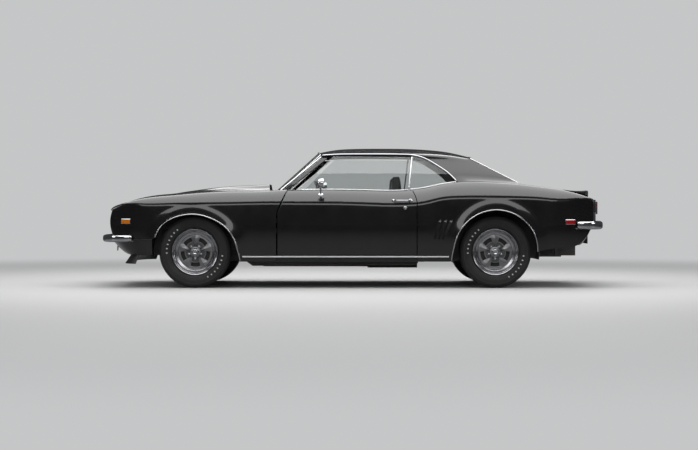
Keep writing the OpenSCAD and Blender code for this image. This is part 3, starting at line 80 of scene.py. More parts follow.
# place, widest half width, crease height, crest height, seam half width
BODY_SHARES = np.array([
    [-0.980, 0.846, 0.583, 0.596, 0.697], [-0.939, 0.888, 0.612, 0.625, 0.697],
    [-0.903, 0.915, 0.625, 0.648, 0.697], [-0.823, 0.948, 0.615, 0.688, 0.697],
    [-0.725, 0.969, 0.624, 0.714, 0.714], [-0.657, 0.976, 0.629, 0.728, 0.736],
    [-0.557, 0.982, 0.632, 0.742, 0.744], [-0.410, 0.983, 0.631, 0.744, 0.760],
    [-0.343, 0.982, 0.621, 0.727, 0.762], [-0.286, 0.981, 0.596, 0.705, 0.775],
    [-0.221, 0.980, 0.582, 0.690, 0.787], [0.000, 0.980, 0.588, 0.691, 0.826],
    [0.213, 0.978, 0.592, 0.691, 0.822], [0.280, 0.977, 0.593, 0.688, 0.790],
    [0.351, 0.976, 0.593, 0.680, 0.752], [0.468, 0.973, 0.589, 0.678, 0.732],
    [0.597, 0.967, 0.587, 0.667, 0.720], [0.717, 0.959, 0.585, 0.648, 0.714],
    [0.821, 0.943, 0.586, 0.628, 0.705], [0.882, 0.917, 0.590, 0.601, 0.697],
    [0.941, 0.861, 0.552, 0.563, 0.690]])
# angle round the hub from the front, radius of the arch lip
FRONT_ARCH_SHARES = np.array([
    [-20, 1.01], [0, 0.995], [25, 1], [41, 0.995], [63, 0.935], [90, 0.895], [116, 0.892],
    [137, 0.935], [159, 0.98], [180, 1.032], [192, 1.105], [205, 1.2]])
REAR_ARCH_SHARES = np.array([
    [-25, 1.12], [-12, 1.075], [0, 1.02], [22, 0.995], [45, 0.993], [90, 0.997], [135, 1],
    [160, 1], [180, 0.99], [200, 1]])
# place, height in the middle, height at the rail, half width at the rail
ROOF_SHARES = np.array([
    [-0.475, 0.934, 0.908, 0.637], [-0.389, 0.972, 0.932, 0.643], [-0.305, 0.990, 0.943, 0.647],
    [-0.223, 0.998, 0.946, 0.649], [-0.141, 1.000, 0.948, 0.651], [0.000, 0.998, 0.948, 0.650],
    [0.072, 0.989, 0.946, 0.643], [0.137, 0.966, 0.938, 0.630]])
# way up the front edge of the sail panel, place, height
SAIL_SHARES = np.array([[0, -0.410, 0.748], [0.3, -0.373, 0.816], [0.6, -0.321, 0.879],
                        [0.85, -0.269, 0.927], [1, -0.228, 0.942]])
# lower edge behind the rear wheel: place, height
UNDER_SHARES = np.array([[-0.939, 0.45], [-0.925, 0.4], [-0.905, 0.345], [-0.878, 0.303],
                         [-0.8, 0.278], [-0.71, 0.252]])


def curve(table, column):
    """A cubic curve with continuous curvature through one column of a table."""
    x, y = table[:, 0], table[:, column]
    n, h = len(x), np.diff(x)
    a, b = np.eye(n), np.zeros(n)
    for i in range(1, n - 1):
        a[i, i - 1:i + 2] = h[i - 1], 2 * (h[i - 1] + h[i]), h[i]
        b[i] = 6 * ((y[i + 1] - y[i]) / h[i] - (y[i] - y[i - 1]) / h[i - 1])
    bend = np.linalg.solve(a, b)

    def at(v):
        v = np.clip(np.asarray(v, float), x[0], x[-1])
        i = np.clip(np.searchsorted(x, v) - 1, 0, n - 2)
        p, q = (x[i + 1] - v) / h[i], (v - x[i]) / h[i]
        return p * y[i] + q * y[i + 1] + ((p**3 - p) * bend[i] + (q**3 - q) * bend[i + 1]) * h[i]**2 / 6
    return at


WAIST, CREASE, CREST, SEAM = (curve(BODY_SHARES, c) for c in (1, 2, 3, 4))
ROOF_MID, ROOF_RAIL, ROOF_HALF = (curve(ROOF_SHARES, c) for c in (1, 2, 3))
SAIL_X, SAIL_Z = curve(SAIL_SHARES, 1), curve(SAIL_SHARES, 2)
FRONT_ARCH, REAR_ARCH, UNDER = (curve(t, 1) for t in (FRONT_ARCH_SHARES, REAR_ARCH_SHARES, UNDER_SHARES))
print("half length", round(HALF_L, 3), "axles at", round(FRONT_X, 3), round(REAR_X, 3))

# %% [markdown]
# From those lines come the surfaces: a point of the side is found from its place along the car and
# its height. Below the widest line the side tucks in, above the crease the shoulder leans in, and
# round each wheel a flare stands out and dies away. All sizes here are in metres.

# %% Surfaces of the body
WAIST_Z, SILL_Z, SILL_TOP_Z = 0.56, 0.24, 0.296
TUCK_IN, CREASE_IN, CREASE_MIN = 0.03, 0.006, 0.008
SHOULDER_LEAN, SEAM_RISE = 0.85, 0.004
ARCH_R, FLARE_OUT, FLARE_REACH = 0.385, 0.026, 0.3
SKIN_T, DOOR_T, GLASS_T = 0.005, 0.096, 0.005
DOOR_GAP, LID_GAP = 0.012, 0.006
DOOR_FRONT_X, DOOR_REAR_X = 0.697, -0.59
CUT_BEND_Z, CUT_LEAN_FRONT, CUT_LEAN_REAR = 0.66, 0.097, 0.042
GLASS_BELT_Y, GLASS_LEAN = 0.735, 0.4
BELT_Z, COWL_Z = BODY_H * 0.69, BODY_H * 0.66


def waist_y(x):
    return HALF_W * WAIST(x / HALF_L)


def crest_z(x):
    return BODY_H * CREST(x / HALF_L)


def crease_z(x):
    return np.minimum(BODY_H * CREASE(x / HALF_L), crest_z(x) - CREASE_MIN)


def seam_y(x):
    return HALF_W * SEAM(x / HALF_L)


def arch_at(axle_x, arch, angle):
    """Point of an arch lip in the side view."""
    r, a = ARCH_R * arch(angle), np.radians(angle)
    return np.stack([axle_x + r * np.cos(a), HUB_Z + r * np.sin(a)], -1)


def flare(x, z, axle_x, arch):
    dx, dz = x - axle_x, z - HUB_Z
    a = np.degrees(np.arctan2(dz, dx))
    a = np.where(a < -90, a + 360, a)
    u = np.clip((np.hypot(dx, dz) / (ARCH_R * arch(a)) - 1) / FLARE_REACH, 0, 1)
    return FLARE_OUT * np.clip(dz / ARCH_R + 0.35, 0, 1) * (1 - u)**2


def plain_side_y(x, z):
    zt, zc, yw = crest_z(x), crease_z(x), waist_y(x)
    low = yw - TUCK_IN * (np.maximum(WAIST_Z - z, 0) / (WAIST_Z - SILL_Z))**2
    mid = yw - CREASE_IN * (np.clip(z - WAIST_Z, 0, None) / np.maximum(zc - WAIST_Z, 0.01))**2
    q = np.clip((z - zc) / (zt - zc), 0, 1)
    s = (1.2 - np.sqrt(1.44 - 0.8 * q)) / 0.4  # the shoulder rises by q = 1.2 s - 0.2 s^2
    top = yw - CREASE_IN - SHOULDER_LEAN * (zt - zc) * (0.5 * s + 0.5 * s * s)
    return np.where(z <= np.minimum(WAIST_Z, zc), low, np.where(z <= zc, mid, top))


def side_y(x, z):
    x, z = np.asarray(x, float), np.asarray(z, float)
    return plain_side_y(x, z) + flare(x, z, FRONT_X, FRONT_ARCH) + flare(x, z, REAR_X, REAR_ARCH)


def cut_front(z):
    """Front edge of the door opening at a height."""
    u = np.clip((z - CUT_BEND_Z) / (BELT_Z - CUT_BEND_Z), 0, 1)
    return DOOR_FRONT_X - CUT_LEAN_FRONT * u**1.3


def cut_rear(z):
    return DOOR_REAR_X + CUT_LEAN_REAR * np.clip((z - BODY_H * 0.6) / (BODY_H * 0.09), 0, 1)**1.5


def glass_y(x, z):
    dz = z - BELT_Z
    return (GLASS_BELT_Y - GLASS_LEAN * dz - GLASS_LEAN * dz * dz / (BODY_H * 3)
            - GLASS_BELT_Y * 0.02 * ((x / HALF_L + 0.06) / 0.34)**2)


def rail_y(x):
    return HALF_W * ROOF_HALF(x / HALF_L)


def rail_z(x):
    return BODY_H * ROOF_RAIL(x / HALF_L)


def roof_z(x, y):
    middle = BODY_H * ROOF_MID(x / HALF_L)
    return middle - (middle - rail_z(x)) * (y / rail_y(x))**2


print("side at the door:", round(float(side_y(0.0, 0.6)), 3))

# %% [markdown]
# Every panel is a grid of points with a thickness. A pressed panel never ends in a knife edge: its rim
# is rolled over, and that small round catches the light along each shut line. The helper below rolls
# the four edges of a grid, then closes it with an inner skin, so that each panel is a sound solid.
# A solid is passed on as its vertices and faces.

# %% Panels from grids
GUARD = 0.004
ROLL_STEPS = 3


def unit(v):
    return v / np.maximum(np.linalg.norm(v, axis=-1, keepdims=True), 1e-12)


def mix(a, b, t):
    return a + (b - a) * t


def smooth_step(v):
    v = np.clip(v, 0, 1)
    return v * v * (3 - 2 * v)


def points(*columns):
    """Arrays of x, y and z as one array of points."""
    return np.stack(np.broadcast_arrays(*columns), -1)


def normals(g):
    return unit(np.cross(np.gradient(g, axis=0), np.gradient(g, axis=1)))


def roll_rows(g, n, r_first, r_last, drop):
    """Rolls the first and last row of a grid over by a quarter turn of radius r."""
    def rim(edge, inside, normal, r):
        out = unit(edge - inside)
        turns = np.linspace(0, math.pi / 2, ROLL_STEPS + 1)
        rows = [edge - out * (r + GUARD)]
        rows += [edge - out * r * (1 - math.sin(a)) - normal * r * (1 - math.cos(a)) * drop for a in turns]
        return rows
    rows = rim(g[0], g[1], n[0], r_first)[::-1] + list(g[1:-1]) + rim(g[-1], g[-2], n[-1], r_last)
    keep = [n[0]] * (ROLL_STEPS + 2) + list(n[1:-1]) + [n[-1]] * (ROLL_STEPS + 2)
    return np.array(rows), np.array(keep)


def rolled(g, n, radii, drop):
    g, n = roll_rows(g, n, radii[0], radii[1], drop)
    g, n = roll_rows(g.transpose(1, 0, 2), n.transpose(1, 0, 2), radii[2], radii[3], drop)
    return g.transpose(1, 0, 2)


def grid_faces(n, m, start=0, flip=False):
    i, j = np.meshgrid(np.arange(n - 1), np.arange(m - 1), indexing="ij")
    a = (start + i * m + j).ravel()
    quads = np.stack([a, a + m, a + m + 1, a + 1], -1)
    return quads[:, ::-1] if flip else quads


def closed(outer, inner):
    """The solid between two grids; the outer one faces out."""
    n, m = outer.shape[:2]
    o = n * m
    ring = np.concatenate([np.arange(m), np.arange(1, n) * m + m - 1,
                           (n - 1) * m + np.arange(m - 2, -1, -1), np.arange(n - 2, 0, -1) * m])
    after = np.roll(ring, -1)
    sides = np.stack([ring, after, after + o, ring + o], -1)
    faces = np.concatenate([grid_faces(n, m), grid_faces(n, m, o, True), sides])
    return np.concatenate([outer.reshape(-1, 3), inner.reshape(-1, 3)]), faces


def shell(g, depth, radii, push=None):
    """A panel of a given depth with rolled rims: radii of first row, last row, first and last column."""
    n = normals(g)
    inner = g - n * depth if push is None else g + np.asarray(push)
    return closed(rolled(g, n, radii, 1), rolled(inner, n, radii, 0))


def joined(parts):
    """Several solids as one."""
    verts, faces, start = [], [], 0
    for v, f in parts:
        verts.append(np.asarray(v, float))
        faces += [[int(k) + start for k in face] for face in f]
        start += len(v)
    return np.concatenate(verts), faces


def both(solid):
    """A solid of the left side and its mirror image."""
    return {"left": solid, "right": (solid[0] * [1, -1, 1], [list(f)[::-1] for f in solid[1]])}


def mirror_pair(solid):
    return joined(both(solid).values())


def sharp_by_angle(piece, degrees):
    """Keeps edges that turn by more than an angle crisp under smooth shading."""
    piece.data.set_sharp_from_angle(angle=math.radians(degrees))


def add(name, solid, material, body="body", replaces=(), smooth=True, outward=True, crease=None):
    """Makes an object of a solid, gives it a finish and lets it ride on a body."""
    verts, faces = solid
    mesh = bpy.data.meshes.new(name)
    mesh.from_pydata(np.asarray(verts, float).tolist(), [], [[int(k) for k in f] for f in faces])
    if outward:
        bm = bmesh.new()
        bm.from_mesh(mesh)
        bmesh.ops.recalc_face_normals(bm, faces=bm.faces[:])
        bm.to_mesh(mesh)
        bm.free()
    mesh.polygons.foreach_set("use_smooth", [smooth] * len(mesh.polygons))
    mesh.materials.append(material)
    mesh.update()
    piece = bpy.data.objects.new(name, mesh)
    bpy.context.scene.collection.objects.link(piece)
    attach(piece, body)
    if replaces:
        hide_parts(*replaces)
    if crease:
        sharp_by_angle(piece, crease)
    return piece


print("panel helpers ready")

# %% [markdown]
# Trim and mechanical parts come from three more tools: a section carried along a line, an outline
# turned about an axis as on a lathe, and the convex hull of a few points. A real shop has the same
# three: rolled strip, turned parts and machined blocks.

# %% Bars, turned parts and blocks
QUARTER_TURN = math.pi / 2
AHEAD, OUT, UP = (1.0, 0, 0), (0, 1.0, 0), (0, 0, 1.0)


def line(given, n=40):
    """Spreads points evenly along a line through a few given ones."""
    p = np.asarray(given, float)
    s = np.r_[0, np.cumsum(np.linalg.norm(np.diff(p, axis=0), axis=1))]
    t = np.linspace(0, s[-1], n)
    return np.stack([np.interp(t, s, p[:, k]) for k in range(3)], -1)


def relaxed(path, times):
    """Rounds the corners of a path, with its ends held."""
    for _ in range(times):
        path[1:-1] = (path[:-2] + 2 * path[1:-1] + path[2:]) / 4
    return path


def bar_solid(g):
    """A closed bar from rings of points."""
    n, m = g.shape[:2]
    i, j = np.meshgrid(np.arange(n - 1), np.arange(m), indexing="ij")
    a, b = (i * m + j).ravel(), (i * m + (j + 1) % m).ravel()
    ends = [list(range(m))[::-1], list(range((n - 1) * m, n * m))]
    return g.reshape(-1, 3), np.stack([a, b, b + m, a + m], -1).tolist() + ends


def ring_faces(n, m):
    """Faces of n rings of m points, with the last ring joined to the first."""
    i, j = (k.ravel() for k in np.meshgrid(np.arange(n), np.arange(m), indexing="ij"))
    after, beside = (i + 1) % n, (j + 1) % m
    return np.stack([i * m + j, after * m + j, after * m + beside, i * m + beside], -1)


def section_rings(path, along, out, section):
    across = unit(np.cross(out, along))
    lift = unit(np.cross(along, across))
    section = np.asarray(section, float)
    return path[:, None] + across[:, None] * section[None, :, 0:1] + lift[:, None] * section[None, :, 1:2]


def sweep(path, out, section):
    """A closed bar along a path; out points away from what carries it, section is (across, out) points."""
    path = np.asarray(path, float)
    return bar_solid(section_rings(path, unit(np.gradient(path, axis=0)), out, section))


def loop_sweep(path, out, section):
    """A bar along a closed line."""
    path = np.concatenate([path, path[:1]])
    along = unit(np.roll(path, -1, 0) - np.roll(path, 1, 0))
    along[0] = along[-1] = unit(path[1] - path[-2])
    g = section_rings(path, along, out, section)[:-1]
    return g.reshape(-1, 3), ring_faces(*g.shape[:2])[:, [0, 3, 2, 1]]


def round_section(r, sides=10):
    a = np.linspace(0, 2 * math.pi, sides, endpoint=False)
    return np.stack([r * np.cos(a), r * np.sin(a)], -1)


def moulding_section(width, height):
    """A half-round strip that lies flat on its carrier."""
    a = np.linspace(0, math.pi, 8)
    arc = np.stack([width / 2 * np.cos(a), height * np.sin(a)**0.8], -1)
    return np.concatenate([arc, [[-width / 2, -height * 0.4], [width / 2, -height * 0.4]]])


def round_bar(given, n, out, r, sides):
    return sweep(line(given, n), out, round_section(r, sides))


def lathe(profile, steps=64):
    """A closed ring turned about Z from (radius, height) points that run round the section."""
    p = np.asarray(profile, float)
    a = np.linspace(0, 2 * math.pi, steps, endpoint=False)
    g = points(np.outer(np.cos(a), p[:, 0]), np.outer(np.sin(a), p[:, 0]), p[:, 1])
    return g.reshape(-1, 3), ring_faces(steps, len(p))


def disc(profile, steps=64):
    """A turned solid whose outline starts and ends on the axis."""
    p = np.asarray(profile, float)
    verts, faces = lathe(p[1:-1], steps)
    m, top = len(p) - 2, len(verts)
    faces = [list(f) for f in faces if (f[1] % m) != m - 1]
    verts = np.concatenate([verts, [[0, 0, p[0, 1]], [0, 0, p[-1, 1]]]])
    for i in range(steps):
        k = (i + 1) % steps
        faces += [[top, k * m, i * m], [top + 1, i * m + m - 1, k * m + m - 1]]
    return verts, faces


def moved(place, turn=0.0, axis="Z"):
    return Matrix.Translation(place) @ Matrix.Rotation(turn, 4, axis)


def placed(solid, matrix):
    m = np.array(matrix)
    return solid[0] @ m[:3, :3].T + m[:3, 3], solid[1]


def put(solid, place, turn=0.0, axis="Z"):
    """A solid turned about an axis, then carried to a place."""
    return placed(solid, moved(place, turn, axis))


def box_solid(low, high, r=0.004):
    """A block with chamfered edges."""
    low, high = np.asarray(low, float), np.asarray(high, float)
    c, h = (low + high) / 2, (high - low) / 2
    r = min(r, h.min() * 0.6)
    corners = []
    for s in [(x, y, z) for x in (-1, 1) for y in (-1, 1) for z in (-1, 1)]:
        for k in range(3):
            p = np.array(s) * (h - r)
            p[k] = s[k] * h[k]
            corners.append(c + p)
    return hulled(corners)


def hulled(corners):
    """The convex solid round some points."""
    bm = bmesh.new()
    for p in corners:
        bm.verts.new([float(k) for k in p])
    made = bmesh.ops.convex_hull(bm, input=bm.verts)
    bmesh.ops.delete(bm, geom=list({*made["geom_interior"], *made["geom_unused"]}), context="VERTS")
    bmesh.ops.dissolve_limit(bm, angle_limit=0.01, verts=bm.verts[:], edges=bm.edges[:])
    bmesh.ops.recalc_face_normals(bm, faces=bm.faces[:])
    bm.verts.index_update()
    solid = np.array([v.co for v in bm.verts], float), [[v.index for v in f.verts] for f in bm.faces]
    bm.free()
    return solid


print("shape helpers ready")

# %% [markdown]
# Finishes come next, because every piece takes one. Effects that several finishes share are node groups
# with named sockets: a fine grain that varies roughness and gives a height, road dust low on the car that on
# the paint is also a painted sheen, worn edges, and the pebbled grain of vinyl with painted shade in its creases.
# A group only puts out values that change over the surface. What is the same all over is set on the shader itself.

# %% Shared effects as node groups
FLOAT, COLOR = "NodeSocketFloat", "NodeSocketColor"


def new_group(name, inputs, outputs):
    tree = bpy.data.node_groups.new(name, "ShaderNodeTree")
    for label, value in inputs.items():
        kind = COLOR if isinstance(value, tuple) else FLOAT
        tree.interface.new_socket(label, in_out="INPUT", socket_type=kind).default_value = value
    for label, kind in outputs.items():
        tree.interface.new_socket(label, in_out="OUTPUT", socket_type=kind)
    return tree, tree.nodes.new("NodeGroupInput"), tree.nodes.new("NodeGroupOutput")


def node(tree, kind, **values):
    """A shader node; values are its settings or, with _ for a space, its sockets."""
    made = tree.nodes.new("ShaderNode" + kind)
    for key, value in values.items():
        if hasattr(made, key):
            setattr(made, key, value)
        else:
            made.inputs[key.replace("_", " ")].default_value = value
    return made


def wire(tree, *links):
    """Links nodes: each link names a node and its output, then a node and its input."""
    for source, output, target, entry in links:
        tree.links.new(source.outputs[output], target.inputs[entry])


def grain_group():
    """Noise at two scales: a roughness between Low and High, and a height for a bump."""
    t, i, o = new_group("fine_grain", {"Scale": 300.0, "Low": 0.2, "High": 0.4},
                        {"Roughness": FLOAT, "Height": FLOAT})
    place = node(t, "TexCoord")
    fine, broad = node(t, "TexNoise", Detail=3.0), node(t, "TexNoise", Scale=7.0, Detail=4.0)
    spread = node(t, "MapRange", From_Min=0.3, From_Max=0.7)
    wire(t, (place, "Object", fine, "Vector"), (place, "Object", broad, "Vector"), (i, "Scale", fine, "Scale"),
         (broad, "Fac", spread, "Value"), (i, "Low", spread, "To Min"), (i, "High", spread, "To Max"),
         (spread, "Result", o, "Roughness"), (fine, "Fac", o, "Height"))
    return t


def patchy(t, i, o, mask, over, **noise):
    """Lays a second colour over the first where a mask, noise and the amount allow it."""
    place, broken = node(t, "TexCoord"), node(t, "TexNoise", **noise)
    patch, share = (node(t, "Math", operation="MULTIPLY") for _ in range(2))
    mixed = node(t, "Mix", data_type="RGBA")
    wire(t, (place, "Object", broken, "Vector"), (mask, "Result", patch, 0), (broken, "Fac", patch, 1),
         (patch, "Value", share, 0), (i, "Amount", share, 1), (share, "Value", mixed, "Factor"),
         (i, "Color", mixed, 6), (i, over, mixed, 7), (mixed, 2, o, "Color"))


def dust_and_sheen_group():
    """Lays a lighter colour over a colour, more of it near the road, broken up by noise: road dirt, and on the paint
    also a painted sheen.
    """
    t, i, o = new_group("road_dust_and_sheen", {"Color": (0.01, 0.01, 0.01, 1), "Dust_and_sheen": (0.2, 0.18, 0.16, 1),
                                      "Amount": 0.3, "Reach": 0.6}, {"Color": COLOR})
    place, part = node(t, "TexCoord"), node(t, "SeparateXYZ")
    # More of it towards the road: road dust, and on the paint also a painted sheen.
    low = node(t, "MapRange", To_Min=1.0, To_Max=0.0)
    wire(t, (place, "Object", part, "Vector"), (part, "Z", low, "Value"), (i, "Reach", low, "From Max"))
    patchy(t, i, o, low, "Dust_and_sheen", Scale=14.0, Detail=6.0, Roughness=0.65)
    return t


def wear_group():
    """Brightens a colour along edges, where paint is rubbed through."""
    t, i, o = new_group("edge_wear", {"Color": (0.05, 0.05, 0.05, 1), "Worn": (0.3, 0.3, 0.3, 1),
                                      "Amount": 0.5}, {"Color": COLOR})
    shape, edge = node(t, "NewGeometry"), node(t, "MapRange", From_Min=0.52, From_Max=0.6)
    wire(t, (shape, "Pointiness", edge, "Value"))
    patchy(t, i, o, edge, "Worn", Scale=60.0, Detail=5.0)
    return t


def pebble_and_shade_group():
    """The pebbled grain of pressed vinyl: a height, and painted shade that darkens the colour in its creases."""
    t, i, o = new_group("pebble_grain_and_crease_shade", {"Color": (0.02, 0.02, 0.02, 1), "Scale": 400.0},
                        {"Color": COLOR, "Height": FLOAT})
    place, cells = node(t, "TexCoord"), node(t, "TexVoronoi", feature="DISTANCE_TO_EDGE")
    bent = node(t, "TexNoise", Scale=30.0, Detail=3.0)
    # Painted shade: the colour falls to 45 % towards the creases between the cells.
    shade = node(t, "MapRange", From_Max=0.25, To_Min=0.45)
    crease_shade_tint, both_heights = node(t, "VectorMath", operation="SCALE"), node(t, "Math", operation="ADD")
    wire(t, (place, "Object", cells, "Vector"), (place, "Object", bent, "Vector"), (i, "Scale", cells, "Scale"),
         (cells, "Distance", shade, "Value"), (i, "Color", crease_shade_tint, 0), (shade, "Result", crease_shade_tint, "Scale"),
         (cells, "Distance", both_heights, 0), (bent, "Fac", both_heights, 1), (crease_shade_tint, "Vector", o, "Color"),
         (both_heights, "Value", o, "Height"))
    return t


GRAIN, DUST_AND_SHEEN, WEAR, PEBBLE_AND_SHADE = grain_group(), dust_and_sheen_group(), wear_group(), pebble_and_shade_group()
print("effects:", [g.name for g in (GRAIN, DUST_AND_SHEEN, WEAR, PEBBLE_AND_SHADE)])

# %% [markdown]
# A finish starts from one Principled shader. Grain feeds its roughness and bump. Dust, wear or pebbles feed its
# colour: dust and wear where the real surface shows them, a painted sheen low on the black paint, and painted
# shade in the creases of the pebbled vinyl. Gloss black paint is a dark base under a clear coat, with the faint
# orange peel of sprayed lacquer.


def use_group(tree, group, **values):
    made = tree.nodes.new("ShaderNodeGroup")
    made.node_tree = group
    for key, value in values.items():
        made.inputs[key].default_value = value
    return made


def finish(name, slot, color, grain, bump, dust_and_sheen=None, wear=None, pebble_and_shade=None, **sockets):
    """A material: grain is (scale, low, high roughness), bump (strength, depth), dust_and_sheen (amount, reach) of road
    dirt, which on the paint is also a painted sheen.
    """
    material = bpy.data.materials.new(name)
    material.use_nodes = True
    tree = material.node_tree
    shader = tree.nodes["Principled BSDF"]
    color = (*color, 1.0)
    shader.inputs["Base Color"].default_value = color
    for key, value in sockets.items():
        shader.inputs[key.replace("_", " ")].default_value = value
    fine = use_group(tree, GRAIN, Scale=grain[0], Low=grain[1], High=grain[2])
    lump = node(tree, "Bump", Strength=bump[0], Distance=bump[1])
    layers = []
    # Pebble grain: a height for the bump, and painted shade in its creases.
    if pebble_and_shade:
        layers.append(use_group(tree, PEBBLE_AND_SHADE, Color=color, Scale=pebble_and_shade))
    if wear:
        layers.append(use_group(tree, WEAR, Color=color, Worn=(*wear[0], 1.0), Amount=wear[1]))
    # Road dust, which on the black paint is also a painted sheen low on the sides.
    if dust_and_sheen:
        layers.append(use_group(tree, DUST_AND_SHEEN, Color=color, Amount=dust_and_sheen[0], Reach=dust_and_sheen[1]))
    for layer, after in zip(layers, layers[1:]):
        wire(tree, (layer, "Color", after, "Color"))
    if layers:
        wire(tree, (layers[-1], "Color", shader, "Base Color"))
    wire(tree, (fine, "Roughness", shader, "Roughness"), (layers[0] if pebble_and_shade else fine, "Height", lump, "Height"),
         (lump, "Normal", shader, "Normal"))
    return material


# The dust layer of the paint is partly a painted sheen: it greys the black low on the sides.
PAINT = finish("gloss_black_lacquer", "paint", (0.0035, 0.0035, 0.004), (420.0, 0.16, 0.24), (0.006, 0.0001),
               dust_and_sheen=(0.05, 0.75), Coat_Weight=1.0, Coat_Roughness=0.015, Specular_IOR_Level=0.35)
CHROME = finish("plated_chrome", "chrome", (0.66, 0.67, 0.69), (90.0, 0.04, 0.1), (0.02, 0.0002), Metallic=1.0)
BRIGHT = finish("polished_trim", "chrome", (0.74, 0.74, 0.75), (140.0, 0.16, 0.3), (0.03, 0.0002), Metallic=1.0)
SATIN = finish("satin_rocker_trim", "chrome", (0.84, 0.84, 0.84), (140.0, 0.3, 0.42), (0.03, 0.0002),
               Metallic=0.5)
GLASS = finish("window_glass", "glass", (0.74, 0.765, 0.76), (40.0, 0.0, 0.003), (0.0, 0.0001),
               Transmission_Weight=1.0, IOR=1.45)
TYRE = finish("tyre_rubber", "tyre", (0.011, 0.011, 0.0115), (260.0, 0.62, 0.85), (0.25, 0.0006),
              dust_and_sheen=(0.1, 0.3))
TYRE_WHITE = finish("white_sidewall_rubber", "tyre", (0.5, 0.5, 0.48), (200.0, 0.6, 0.8), (0.2, 0.0004))
ALLOY = finish("grey_cast_alloy", "wheel_alloy", (0.34, 0.342, 0.348), (330.0, 0.3, 0.45), (0.15, 0.0005),
               wear=((0.4, 0.4, 0.42), 0.4), Metallic=0.9)
LIP = finish("polished_rim_lip", "wheel_alloy", (0.5, 0.5, 0.52), (500.0, 0.14, 0.26), (0.05, 0.0003),
             Metallic=1.0)
STEEL = finish("painted_chassis_steel", "dark_steel", (0.018, 0.018, 0.019), (180.0, 0.45, 0.7), (0.25, 0.0008),
               dust_and_sheen=(0.35, 0.7), wear=((0.16, 0.15, 0.14), 0.5))
UNDERSEAL = finish("black_underseal", "dark_steel", (0.011, 0.011, 0.0115), (160.0, 0.5, 0.7), (0.4, 0.0009))
CAST = finish("painted_cast_iron", "dark_steel", (0.05, 0.052, 0.055), (240.0, 0.45, 0.65), (0.4, 0.001),
              wear=((0.3, 0.3, 0.3), 0.4), Metallic=0.4)
ALUMINIUM = finish("bare_aluminium", "dark_steel", (0.5, 0.5, 0.51), (300.0, 0.28, 0.42), (0.2, 0.0005),
                   Metallic=1.0)
PIPE = finish("heat_stained_pipe", "dark_steel", (0.2, 0.18, 0.165), (120.0, 0.35, 0.6), (0.2, 0.0006),
              dust_and_sheen=(0.3, 0.5), Metallic=0.9)
# Both vinyls carry painted shade in the creases of their pebble grain.
VINYL = finish("black_seat_vinyl", "upholstery", (0.02, 0.02, 0.021), (300.0, 0.38, 0.52), (0.35, 0.0006),
               pebble_and_shade=420.0)
TRIM_VINYL = finish("black_trim_vinyl", "plastic", (0.016, 0.016, 0.017), (300.0, 0.45, 0.6), (0.3, 0.0005),
                    pebble_and_shade=600.0)
LINING = finish("roof_lining", "upholstery", (0.05, 0.05, 0.05), (900.0, 0.8, 0.95), (0.4, 0.0006))
CARPET = finish("looped_carpet", "upholstery", (0.015, 0.015, 0.016), (700.0, 0.85, 0.98), (0.9, 0.003))
PLASTIC = finish("satin_black_plastic", "plastic", (0.013, 0.013, 0.0135), (350.0, 0.35, 0.5), (0.2, 0.0004))
RUBBER = finish("door_seal_rubber", "plastic", (0.008, 0.008, 0.008), (200.0, 0.65, 0.8), (0.2, 0.0005))
RED_LENS, AMBER_LENS = (
    finish(name, "red_lens", color, (120.0, 0.05, 0.12), (0.05, 0.0004), Coat_Weight=0.6, Transmission_Weight=0.25)
    for name, color in (("red_lamp_lens", (0.32, 0.006, 0.008)), ("amber_lamp_lens", (0.55, 0.16, 0.01))))
CLEAR_LENS = finish("clear_lamp_lens", "clear_lens", (0.86, 0.88, 0.9), (80.0, 0.0, 0.02), (0.02, 0.0003),
                    Transmission_Weight=1.0, IOR=1.45)
REFLECTOR = finish("lamp_reflector", "chrome", (0.85, 0.86, 0.88), (60.0, 0.04, 0.09), (0.02, 0.0002),
                   Metallic=1.0)
DIAL = finish("dial_faces", "plastic", (0.5, 0.5, 0.48), (200.0, 0.4, 0.5), (0.05, 0.0002))

# %% [markdown]
# The sides are the heart of the car. Each column of a side panel starts at its lower edge or at the
# arch, climbs past the widest line and the crease to the crest, and turns in to the seam with the
# lids. The section is first drawn with sharp corners, then rounded by a running average, as a
# panel beater's dolly would do, and rows are gathered where it bends most.

# %% Side sections
SECTION_STEP, SECTION_POINTS, CORNER_R = 0.003, 140, 0.009
VALANCE_Z = 0.444
HEM_R, ARCH_HEM_R, BELT_R = 0.0025, 0.004, 0.012


def eased(given):
    """Resamples a section evenly and rounds its corners, with its ends held."""
    s = np.r_[0, np.cumsum(np.linalg.norm(np.diff(given, axis=0), axis=1))]
    t = np.linspace(0, s[-1], max(int(s[-1] / SECTION_STEP), 24))
    p = np.stack([np.interp(t, s, given[:, k]) for k in range(3)], -1)
    k = min(int(3 * CORNER_R / SECTION_STEP), len(p) - 2)
    w = np.exp(-0.5 * (np.arange(-k, k + 1) * SECTION_STEP / CORNER_R)**2)
    p = np.concatenate([2 * p[0] - p[k:0:-1], p, 2 * p[-1] - p[-2:-k - 2:-1]])
    return s, t, np.stack([np.convolve(p[:, c], w / w.sum(), "valid") for c in range(3)], -1)


